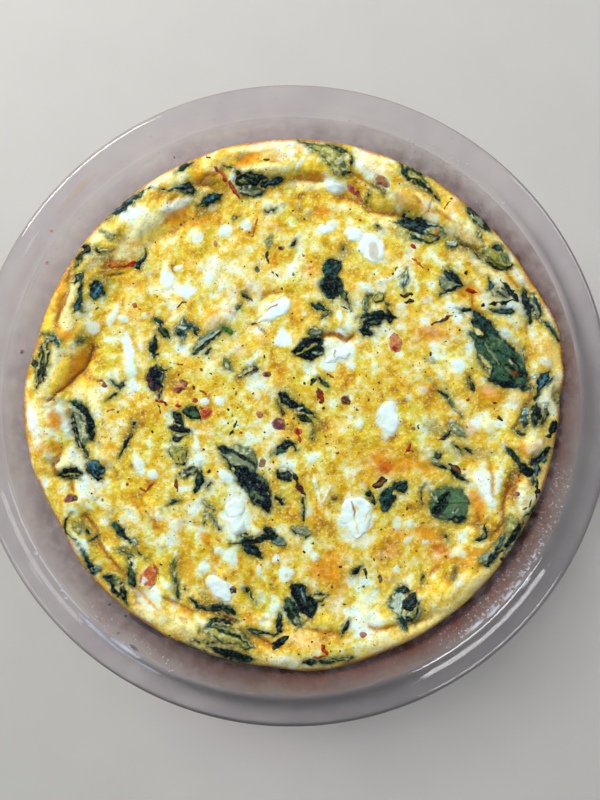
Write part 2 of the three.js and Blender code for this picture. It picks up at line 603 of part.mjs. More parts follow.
// One blade as a thin wavy solid between two heights over the egg's top, both faces split alike
function bladeSolid(row, over, under, grow, wave, step) {
  const [x0, y0, x1, y1, bend, width, widest, blunt] = row;
  const length = Math.hypot(x1 - x0, y1 - y0);
  const dx = (x1 - x0) / length;
  const dy = (y1 - y0) / length;
  const steps = clamp(Math.round(length / step), 2, 6);
  const cells = width > WIDE_LEAF ? 2 : 1;
  const power = Math.log(0.5) / Math.log(widest);
  const points = [];
  for (let i = 0; i <= steps; i++) {
    const t = i / steps;
    const reach = t * (length + 2 * grow) - grow;
    const side = bend * 4 * t * (1 - t);
    const slope = (bend * 4 * (1 - 2 * t)) / length;
    const lean = Math.hypot(1, slope);
    const half = (width / 2) * Math.sin(Math.PI * t ** power) ** blunt;
    for (let j = 0; j <= cells; j++) {
      const across = (2 * j) / cells - 1;
      const off = (across * (Math.max(half, TIP_HALF_WIDTH) + grow)) / lean;
      const x = x0 + dx * (reach - slope * off) - dy * (side + off);
      const y = y0 + dy * (reach - slope * off) + dx * (side + off);
      const ripple = wave * Math.sin(2.2 * i + 1.3 * x0) + wave * across * Math.cos(1.7 * i + y0);
      points.push([x, y, surface(x, y) + over + ripple]);
      points.push([x, y, surface(x, y) + under + ripple]);
    }
  }
  const top = (i, j) => 2 * (i * (cells + 1) + j);
  const base = (i, j) => top(i, j) + 1;
  const triangles = [];
  const quad = (a, b, c, d) => triangles.push([a, b, c], [a, c, d]);
  for (let i = 0; i < steps; i++) {
    for (let j = 0; j < cells; j++) {
      quad(top(i, j), top(i + 1, j), top(i + 1, j + 1), top(i, j + 1));
      quad(base(i, j), base(i, j + 1), base(i + 1, j + 1), base(i + 1, j));
    }
    quad(base(i, 0), base(i + 1, 0), top(i + 1, 0), top(i, 0));
    quad(base(i + 1, cells), base(i, cells), top(i, cells), top(i + 1, cells));
  }
  for (let j = 0; j < cells; j++) {
    quad(base(0, j + 1), base(0, j), top(0, j), top(0, j + 1));
    quad(base(steps, j), base(steps, j + 1), top(steps, j + 1), top(steps, j));
  }
  return solid(meshOf(points, triangles));
}

// A flattened round lump, half sunk in the egg
function lumpSolid([x, y, long, wide, turn, high], geometry, sink) {
  const shape = geometry.clone();
  shape.rotateX(Math.PI / 2);
  shape.scale(long, wide, high);
  shape.rotateZ(degrees(turn));
  shape.translate(x, y, surface(x, y) - sink);
  return solid(shape);
}

// The pocket of a lump, a straight-sided well open to above
function wellSolid([x, y, long, wide, turn, high], sink) {
  const shape = WELL.clone();
  shape.rotateX(Math.PI / 2);
  shape.scale(long + GAP, wide + GAP, POCKET_TOP);
  shape.rotateZ(degrees(turn));
  shape.translate(x, y, surface(x, y) - sink - high - GAP + POCKET_TOP / 2);
  return solid(shape);
}

const union = (solids) => solids.reduce((sum, each) => sum.add(each));
const ROUND = new THREE.SphereGeometry(1, 8, 4);
const WELL = new THREE.CylinderGeometry(1, 1, 1, 8);
const PEBBLE = new THREE.OctahedronGeometry(1, 0);
const LUMP_SINK = 0.9;
const CRUMB_SINK = 0.3;
const LEAF_UNDER = LEAF_PROUD - LEAF_THICKNESS;

const leafSolid = (rows) =>
  union(rows.map((row) => bladeSolid(row, LEAF_PROUD, LEAF_UNDER, 0, LEAF_WAVE, LEAF_STEP)));
const leafPocket = (rows) =>
  union(
    rows.map((row) =>
      bladeSolid(row, POCKET_TOP, LEAF_UNDER - POCKET_MARGIN, POCKET_MARGIN, LEAF_WAVE, LEAF_STEP),
    ),
  );
const lumpsSolid = (rows) => union(rows.map((row) => lumpSolid(row, ROUND, LUMP_SINK)));
const lumpsPocket = (rows) => union(rows.map((row) => wellSolid(row, LUMP_SINK)));

// Every loose topping as name, solid and the pocket it needs, each cut clear of those before it
function toppings() {
  const kinds = [
    [CHEESE, lumpsSolid, lumpsPocket, "cheese"],
    [TOMATO, lumpsSolid, lumpsPocket, "tomato"],
    [TOMATO_STRIP, leafSolid, leafPocket, "tomato"],
    [LEAVES, leafSolid, leafPocket, "leaf"],
  ];
  const made = [];
  let taken = null;
  for (const [table, solidOf, pocketOf, kind] of kinds) {
    for (const [name, rows] of Object.entries(table)) {
      const whole = solidOf(rows);
      const body = largest(taken ? whole.subtract(taken) : whole);
      const pocket = pocketOf(rows);
      taken = taken ? taken.add(pocket) : pocket;
      made.push({ name, body, kind });
    }
  }
  return { made, taken };
}

// The egg with its small fused toppings, cut out where the loose toppings lie
function egg(taken) {
  const blades = FUSED_BLADES.map((row) =>
    bladeSolid(row, FUSED_PROUD, -FUSED_DEPTH, 0, 0, FUSED_STEP),
  );
  const crumbs = FUSED_CRUMBS.map((row) => lumpSolid(row, PEBBLE, CRUMB_SINK));
  return largest(union([eggBody(), ...blades, ...crumbs]).subtract(taken));
}

// Materials, their colours as seen in the photograph
const MATERIALS = {
  glass: new THREE.MeshStandardMaterial({ color: 0xb9b4b6, roughness: 0.05, metalness: 0 }),
  egg: new THREE.MeshStandardMaterial({ color: 0xeccb62, roughness: 0.5, metalness: 0 }),
  leaf: new THREE.MeshStandardMaterial({ color: 0x1c3330, roughness: 0.4, metalness: 0 }),
  cheese: new THREE.MeshStandardMaterial({ color: 0xf3f6e8, roughness: 0.45, metalness: 0 }),
  tomato: new THREE.MeshStandardMaterial({ color: 0x9c3a26, roughness: 0.4, metalness: 0 }),
};

// A named mesh from a solid
function node(name, made, material) {
  const { numProp, vertProperties, triVerts } = made.getMesh();
  const geometry = new THREE.BufferGeometry();
  const positions = new Float32Array((vertProperties.length / numProp) * 3);
  for (let i = 0; i * 3 < positions.length; i++) {
    positions.set(vertProperties.subarray(i * numProp, i * numProp + 3), i * 3);
  }
  geometry.setAttribute("position", new THREE.BufferAttribute(positions, 3));
  geometry.setIndex(new THREE.BufferAttribute(new Uint32Array(triVerts), 1));
  geometry.computeVertexNormals();
  const mesh = new THREE.Mesh(geometry, material);
  mesh.name = name;
  return mesh;
}

const quiche = new THREE.Group();
const { made, taken } = toppings();
quiche.add(node("glass_dish", dish(), MATERIALS.glass));
quiche.add(node("egg_body", egg(taken), MATERIALS.egg));
for (const { name, body, kind } of made) quiche.add(node(name, body, MATERIALS[kind]));

export default quiche;
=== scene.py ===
"""A crustless quiche with spinach, cheese, tomato and ham in a round glass pie dish, seen from above.

The sizes and places are in millimetres, in the frame of the solids: the origin is under the middle of
the dish, +X is to the right, +Y is away from the viewer and +Z is up.
"""

import math

import bmesh
import bpy
import numpy as np
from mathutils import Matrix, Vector


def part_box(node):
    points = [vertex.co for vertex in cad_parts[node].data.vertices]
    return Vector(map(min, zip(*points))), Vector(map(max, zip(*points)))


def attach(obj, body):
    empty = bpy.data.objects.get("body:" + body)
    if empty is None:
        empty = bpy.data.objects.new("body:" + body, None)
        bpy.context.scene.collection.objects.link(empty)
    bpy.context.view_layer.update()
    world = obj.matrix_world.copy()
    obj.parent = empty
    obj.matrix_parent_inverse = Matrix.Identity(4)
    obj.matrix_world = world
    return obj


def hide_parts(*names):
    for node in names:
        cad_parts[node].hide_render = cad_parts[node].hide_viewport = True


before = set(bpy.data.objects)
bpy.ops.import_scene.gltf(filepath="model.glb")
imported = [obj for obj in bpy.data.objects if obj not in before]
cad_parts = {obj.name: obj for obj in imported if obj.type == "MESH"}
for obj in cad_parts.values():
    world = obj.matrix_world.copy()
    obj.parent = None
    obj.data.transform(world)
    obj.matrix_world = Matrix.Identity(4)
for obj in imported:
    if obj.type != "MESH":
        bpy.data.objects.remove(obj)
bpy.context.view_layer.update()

MM = 0.001

# The dish: its outer size comes from the frame, and the rest are the solids' driving dimensions
DISH_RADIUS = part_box("glass_dish")[1][0] / MM
DISH_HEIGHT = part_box("glass_dish")[1][2] / MM
OPENING_RADIUS = 110.9
GLASS = 4.5
LEAN = math.radians(31)
LIP_ROLL = 2.6
FLANGE_RISE = 0.8
FLANGE_EDGE = 4
BASE_FILLET = 13
FOOT_INNER_RADIUS = 72
FOOT_RECESS = 0.8
DISH_SIDES = 256

# The quiche, as in the solids
EDGE_RADIUS = 101
EDGE_HEIGHT = 27.5
CREST_RADIUS = 93
CREST_HEIGHT = 31
TROUGH_RADIUS = 79
TROUGH_HEIGHT = 27.6
MIDDLE_HEIGHT = 28
SIDE_GAP = 0.5
GAP = 0.3
LEAF_PROUD = 0.6
CHEESE_PROUD = 0.5
TIP_HALF_WIDTH = 0.3
FOLD_HALF_WIDTH = 2.6

# The finer relief of the egg's top
BUBBLE_HEIGHT = 0.45
GRAIN_HEIGHT = 0.22
WHITE_SPOT_HEIGHT = 0.35
CREASE_HALF_WIDTH = 0.75
CREASE_WOBBLE = 0.9
CREASE_SHARE = 0.8

# The streaks along the puffed rim: their height, their size, how many times longer than wide they are,
# and the radius where they start and over how much more of it they come in
STREAK_HEIGHT = 0.5
STREAK_SIZE = 3.4
STREAK_STRETCH = 3.2
STREAK_START = 70
STREAK_FADE = 16
STREAK_RELIEF_SEED = 9
STREAK_COLOUR_SEED = 229

# The egg's side: how far it bulges and wanders, and the radius at which its noise goes round
SIDE_BULGE = 0.4
SIDE_ROUGHNESS = 0.25
SIDE_NOISE_RADIUS = 60

# The finer relief of the leaves and lumps: how deep the edge lies under the egg's top and over what width
# the piece rises from it, then the wrinkles and veins
LEAF_SUNK = 0.12
LEAF_SHOULDER = 0.9
WRINKLE_HEIGHT = 0.3
VEIN_DEPTH = 0.25
VEIN_HALF_WIDTH = 0.35
VEIN_FADE = 1.5
LUMP_SUNK = 0.1
LUMP_TOP_SHARE = 0.7
LUMP_SHOULDER = 1.6
LUMP_WAVES = 0.06

# How the leaves are torn: how far their outline is moved out, its fine noise, and how the egg films them over
LEAF_SPREAD = 0.2
LEAF_TEAR = 0.35
EGG_FILM_THRESHOLD = 0.3
EGG_FILM_DEPTH = 2.4

# The noise fields: the size of the noise in millimetres, its seed and how many sizes are added up
FIELDS = {
    "bubbles": (7, 3, 2),
    "grains": (2.4, 5, 2),
    "crease_wobble": (4, 31, 2),
    "egg_over_leaf": (3.0, 71, 2),
    "leaf_tear": (1.1, 73, 1),
    "lump_outline": (1.4, 79, 1),
    "wrinkles": (2.2, 83, 2),
    "lump_waves": (2.6, 91, 2),
    "leaf_streaks": (4, 101, 2),
    "leaf_clouds": (1.3, 107, 2),
    "leaf_areas": (4.5, 109, 2),
    "lump_grain": (1.2, 113, 2),
    "cheese_hollows": (4, 117, 2),
    "cheese_rim": (3, 119, 2),
    "tomato_rim": (1.6, 123, 2),
    "leaf_rim": (1.4, 131, 2),
    "egg_broad": (26, 201, 2),
    "egg_middling": (7.5, 207, 2),
    "egg_small": (3.2, 211, 2),
    "egg_fine": (1.5, 219, 2),
    "spot_outline": (3, 223, 2),
    "leaf_glow": (3.4, 227, 2),
    "warmth_broad": (9, 241, 2),
    "warmth_small": (3.6, 247, 2),
    "stains": (5, 251, 3),
    "side_relief": (5, 307, 2),
    "side_patches": (8, 311, 3),
    "film_edge": (7, 311, 2),
    "film_patches": (3, 317, 2),
    "mark_outline": (2.5, 331, 1),
}

# How finely the visible surfaces are divided
EGG_CELLS = 290
EGG_SIDE_ROWS = 10
PATCH_STEP = 0.3
LONGEST_PULL = 1.2 * PATCH_STEP

# Directions in degrees and the radius of the quiche's edge there
EDGE_TURNS = [
    (-180, 102.3), (-169, 101.5), (-152, 99.3), (-143, 100.4), (-120, 99.8), (-96, 99.9), (-85, 101.7),
    (-65, 100.3), (-30, 100.3), (-10, 101.4), (0, 102.5), (7, 104.4), (15, 105.3), (30, 103.2),
    (47, 102.2), (92, 101.9), (130, 101), (150, 100.3), (165, 100.3), (176, 102.2), (180, 102.3),
]

# Puffed lobes of the egg: x, y, half length, half width, turn in degrees, height
LOBES = [
    (-92, 44, 9, 4, 65, 0.6), (-84, 52, 5, 3, 60, 0.5), (-80, 62, 8, 5, 55, 0.8), (-63, 70, 12, 5, 40, 0.9),
    (-42, 87, 12, 4, 20, 0.8), (-29, 94, 7, 4, 15, 0.9), (-10, 90, 9, 3, 5, 1.1), (-5, 98, 12, 4, 2, 0.5),
    (12, 92, 8, 5, -30, 0.9), (30, 90, 9, 4, -15, 0.8), (38, 80, 10, 4, -15, 1.0), (52, 77, 6, 4, -40, 0.9),
    (62, 73, 8, 5, -45, 0.8), (70, 65, 7, 4, -45, 0.6), (79, 55, 7, 4, -50, 0.9), (84, 42, 8, 5, -60, 0.8),
    (97, 22, 8, 5, 90, 0.7), (98, 4, 9, 4, 90, 0.5), (91, -15, 6, 5, 90, 1.3), (95, -32, 8, 3, 80, 0.5),
    (75, -30, 11, 7, 80, 1.4), (88, -40, 9, 4, 60, 0.7), (66, -68, 16, 5, 45, 0.8), (40, -88, 16, 5, 22, 0.9),
    (14, -83, 8, 5, 10, 0.9), (2, -95, 12, 4, 0, 0.8), (-25, -88, 11, 4, -15, 0.8),
    (-50, -83, 14, 5, -35, 0.9),
    (-66, -66, 8, 4, -50, 0.7), (-80, -50, 10, 4, -60, 0.9), (-84, -38, 7, 5, -70, 0.8),
    (-95, -12, 14, 6, 85, 1.0), (-88, 8, 10, 6, 70, 0.8), (7, 24, 7, 6, 45, 1.2), (18, 32, 10, 6, 0, 0.8),
    (-28, 32, 6, 4, 30, 0.9), (-6, 36, 7, 4, 40, 0.5), (32, 36, 10, 6, 0, 0.7), (80, 20, 14, 9, -50, 0.9),
    (60, -38, 9, 8, 0, 0.8), (-18, -28, 14, 5, -50, 0.6), (4, -76, 8, 7, 80, 0.9), (43, -77, 8, 6, 80, 0.8),
]

# Hollows of the egg: x, y, half length, half width, turn in degrees, depth
HOLLOWS = [
    (-48, 68, 12, 4, 40, 1.1), (-18, 92, 7, 3, 10, 1.4), (8, 86, 6, 2.5, 0, 1.0), (-31, 84, 7, 2.5, -10, 1.1),
    (-81, 13, 12, 5, 60, 1.6), (-66, 58, 7, 3, 50, 0.8), (-41, -63, 8, 3, 85, 1.1), (84, 46, 6, 3, -45, 1.0),
    (89, 0, 9, 3, 90, 1.1), (83, -33, 7, 3, 80, 1.4), (-74, -46, 8, 3, -55, 0.9),
    (-20, -86, 12, 2.5, -25, 1.0),
    (48, -82, 9, 2.5, 20, 0.9), (62, -62, 7, 4, 45, 0.9), (40, 72, 10, 2.5, -15, 0.9),
]

# Folds where the puffed rim meets the middle: depth, then x and y of each bend
FOLDS = [
    (1.3, -82.5, 52, -85.5, 44, -88.5, 32),
    (1.5, -76.5, 23, -77.5, 18, -80.5, 13, -84, 9),
    (0.9, -38, 84.5, -30, 84.5, -24, 81.5),
    (0.7, 3, 86.3, 12, 85.2),
    (0.9, 20.5, 81, 28, 76.5, 31, 74, 40, 73.6, 46, 70.6),
    (1.0, 45, 86, 54, 80.5, 57, 77),
    (1.1, 62, 64, 70, 58.7, 77, 52.6),
    (0.8, 69, 44, 69.5, 38, 73, 34),
    (1.1, 88.5, 45, 90, 30, 90.5, 18, 92, 7, 90, 0, 87, -7),
    (0.9, 86, -9, 86.5, -16, 89.5, -21, 95, -19),
    (1.2, 86, -26, 82, -33, 81, -44, 76, -53),
    (0.9, 30, -83.5, 34, -85.5, 40, -84, 47, -82.5, 54, -79),
    (1.0, -46, -75, -30, -79, -20, -84, -12, -88.5, -5, -92.5),
    (0.7, 1, -90, 4, -87, 12, -86.5, 20, -86.5),
    (1.3, -78, -42, -72.5, -54, -68, -60, -60, -68, -53, -75),
    (1.2, -88, -18, -90.5, -22, -89.5, -26, -84, -28, -83, -33),
    (0.9, 11, 24, 13, 26.8, 16, 27.7, 19, 26, 21, 25, 24, 26.5),
]

# Fine browned creases in the baked skin, also painted darker as shade: depth, then x and y of each bend
CREASES = [
    (0.8, -83.5, 53, -85, 45, -87.5, 36, -89.5, 30),
    (1.0, -76.5, 23, -77.5, 18, -80.5, 13, -83, 10, -92, 2),
    (0.7, -88, -18, -90.5, -22, -89.5, -26, -84, -28, -83, -32),
    (0.8, -78, -42, -74, -47, -73, -52, -68, -59, -61, -66),
    (0.5, -52.5, -44, -51, -47),
    (0.7, -48, -73, -38, -78, -32, -78.5, -21, -82.5),
    (0.7, -18, -86, -10, -89.5, -6.5, -91.5),
    (0.6, 8, -86, 18, -86.5),
    (0.7, 30, -84, 33, -85.2, 36, -84.5, 40, -83.5),
    (0.6, 45, -83, 53, -80),
    (0.8, 91, 8, 92, 4, 90, 0, 88, -4, 85, -9),
    (0.9, 87, -27, 83, -32, 81, -38, 80, -45, 76, -51),
    (0.5, 76, -22, 76.5, -34),
    (0.7, 20, 80, 27, 77, 30, 74, 40, 73.5, 45, 70.5),
    (0.6, 24, 87.5, 30, 84, 36, 80.5),
    (0.7, 45, 86, 50.5, 82, 56, 78),
    (0.5, 55, 74, 60, 70.5),
    (0.8, 62, 64, 66, 61, 70, 59, 77, 52.5, 83, 52),
    (0.7, 69, 43, 69.5, 38, 73, 33, 78, 28, 84, 20, 91, 10),
    (0.6, 82, 50, 87, 44),
    (0.6, 3, 86.5, 12, 85.5),
    (0.7, -38, 84.5, -31, 83.5, -24, 81),
    (0.6, -36, 84, -31, 87.5, -26, 89),
    (0.5, -46, 77, -43, 80),
    (0.9, 11, 24, 13, 26.5, 16, 27.7, 19, 26, 21, 25, 24, 26.5),
    (0.6, -12, 41, -4, 44),
    (0.5, -16, 31, -13, 31),
]

# Colours as seen in the photograph, in 8-bit sRGB. One letter each, for the tables below.
PAINTS = {
    "k": (6, 24, 24),  # black green
    "t": (28, 72, 68),  # dark teal
    "g": (58, 92, 58),  # leaf green
    "o": (176, 170, 74),  # olive
    "y": (138, 150, 116),  # grey green
    "b": (62, 118, 138),  # grey blue
    "c": (186, 206, 186),  # pale green
    "p": (60, 32, 50),  # dark purple
    "m": (100, 30, 34),  # dark red
    "n": (132, 74, 34),  # brown
    "r": (182, 34, 18),  # red
    "s": (206, 96, 26),  # orange red
    "f": (200, 118, 100),  # salmon
    "a": (220, 148, 24),  # amber
    "w": (234, 252, 250),  # white
    "e": (240, 218, 120),  # egg yellow
    "v": (56, 118, 26),  # bright green
    "d": (10, 18, 36),  # navy
    "x": (30, 58, 66),  # dark fibres
    "z": (86, 116, 78),  # soft green
    "q": (96, 98, 106),  # grey
    "h": (218, 140, 86),  # pale ham
    "i": (172, 118, 74),  # browned ham
    "u": (122, 62, 70),  # dusky red
    "j": (112, 110, 48),  # khaki
    "l": (204, 202, 188),  # pale grey
}

# The egg's colours, from the browned and shaded hollows to the white bubbles: tone, then an 8-bit colour
EGG_TONES = [
    (-0.1, 140, 94, 4),
    (0.12, 190, 138, 4),
    (0.3, 215, 171, 8),
    (0.46, 224, 190, 34),
    (0.6, 229, 207, 86),
    (0.74, 234, 225, 150),
    (0.9, 237, 243, 208),
    (1.1, 228, 249, 242),
]

# The tone of plain egg and how strongly noise of four sizes, the relief as painted shade and light, and the
# rim's streaks move it
TONE_MIDDLE = 0.575
TONE_BROAD = 0.18
TONE_MIDDLING = 0.42
TONE_SMALL = 0.44
TONE_FINE = 0.32
PAINTED_RELIEF_SHADE = 0.16
TONE_STREAKS = 0.5
PAINTED_RELIEF_SHADE_RANGE = (-1.6, 1.2)

# How red, green and blue change where the egg is warmer
WARMTH = np.array([0.06, -0.13, -0.42])

# The painted light on the rim's edge: the direction it faces, and where it starts and how soon it is full, as
# shares of the radius
RIM_LIGHT_DIRECTION = math.radians(-55)
RIM_LIGHT_START = 0.93
RIM_LIGHT_FADE = 0.03

# Where the browned edge starts and how soon it is full, as shares of the radius
BAKED_EDGE_START = 0.982
BAKED_EDGE_FADE = 0.016

# How far white spots reach, as a share of their ellipse, and how sharp they are
SPOT_REACH = 1.12
SPOT_SHARPNESS = 3.2

# How wide the green glow and the shade beside leaves are, and the soft edge between two paints
GLOW_WIDTH = 1.9
SHADE_WIDTH = 0.55
SOFT_EDGE = 0.5

# How many times longer than wide the streaks of leaves are, and how sharply light and dark marks set in
LEAF_STREAK_STRETCH = 3.4
LEAF_CONTRAST = 2.6

# More colours, in 8-bit sRGB
TINTS = {
    "stain": (116, 104, 40),
    "white_spot": (226, 250, 246),
    # Painted light on the rim's edge
    "painted_rim_light": (255, 234, 140),
    # Crease colours: browning of the skin and painted shade in the creases
    "crease_side": (206, 142, 26),
    "crease": (140, 76, 14),
    "baked_edge": (186, 92, 14),
    "side_light": (206, 124, 34),
    "side_dark": (120, 58, 22),
    "side_foot": (226, 176, 70),
    # Pale tops and brown hollows of the bumps, partly painted highlight and shade
    "pale_bubble_and_highlight": (250, 246, 190),
    "brown_hollow_and_shade": (206, 152, 12),
    "orange_speck": (190, 92, 18),
    "leaf_glow": (150, 140, 48),
    # Painted shadow close beside the leaves
    "leaf_shade": (72, 84, 42),
    "leaf_fibre": (176, 194, 186),
    # Leaf tones that also paint the sheen of wet leaves
    "leaf_teal_and_sheen": (36, 86, 80),
    "leaf_green_and_sheen": (112, 130, 88),
    "leaf_black": (2, 8, 9),
    "leaf_olive": (92, 104, 52),
    "leaf_pale": (240, 238, 190),
    "leaf_frost": (110, 146, 134),
    "green_egg": (110, 120, 56),
    "cheese_hollow": (206, 228, 232),
    "cheese_rim": (246, 240, 190),
    "tomato_pale": (236, 170, 110),
    # The film by the quiche: oil, and painted shadow and reflection in the glass
    "thick_oil_and_shadow": (84, 40, 18),
    "thin_oil_and_reflection": (138, 98, 82),
    "dried_fat": (180, 172, 176),
    "cool_glass": (226, 220, 226),
    "warm_glass": (236, 232, 234),
    "floor": (186, 180, 177),
    "pale_floor": (192, 186, 183),
}

# Paints by what is done with them: fibrous, dark and pale leaves, and those that tint the egg beside them
FIBROUS_PAINTS = "x"
DARK_PAINTS = "ktgbdx"
PALE_PAINTS = "oyce"
GREEN_PAINTS = "ktgboyc"

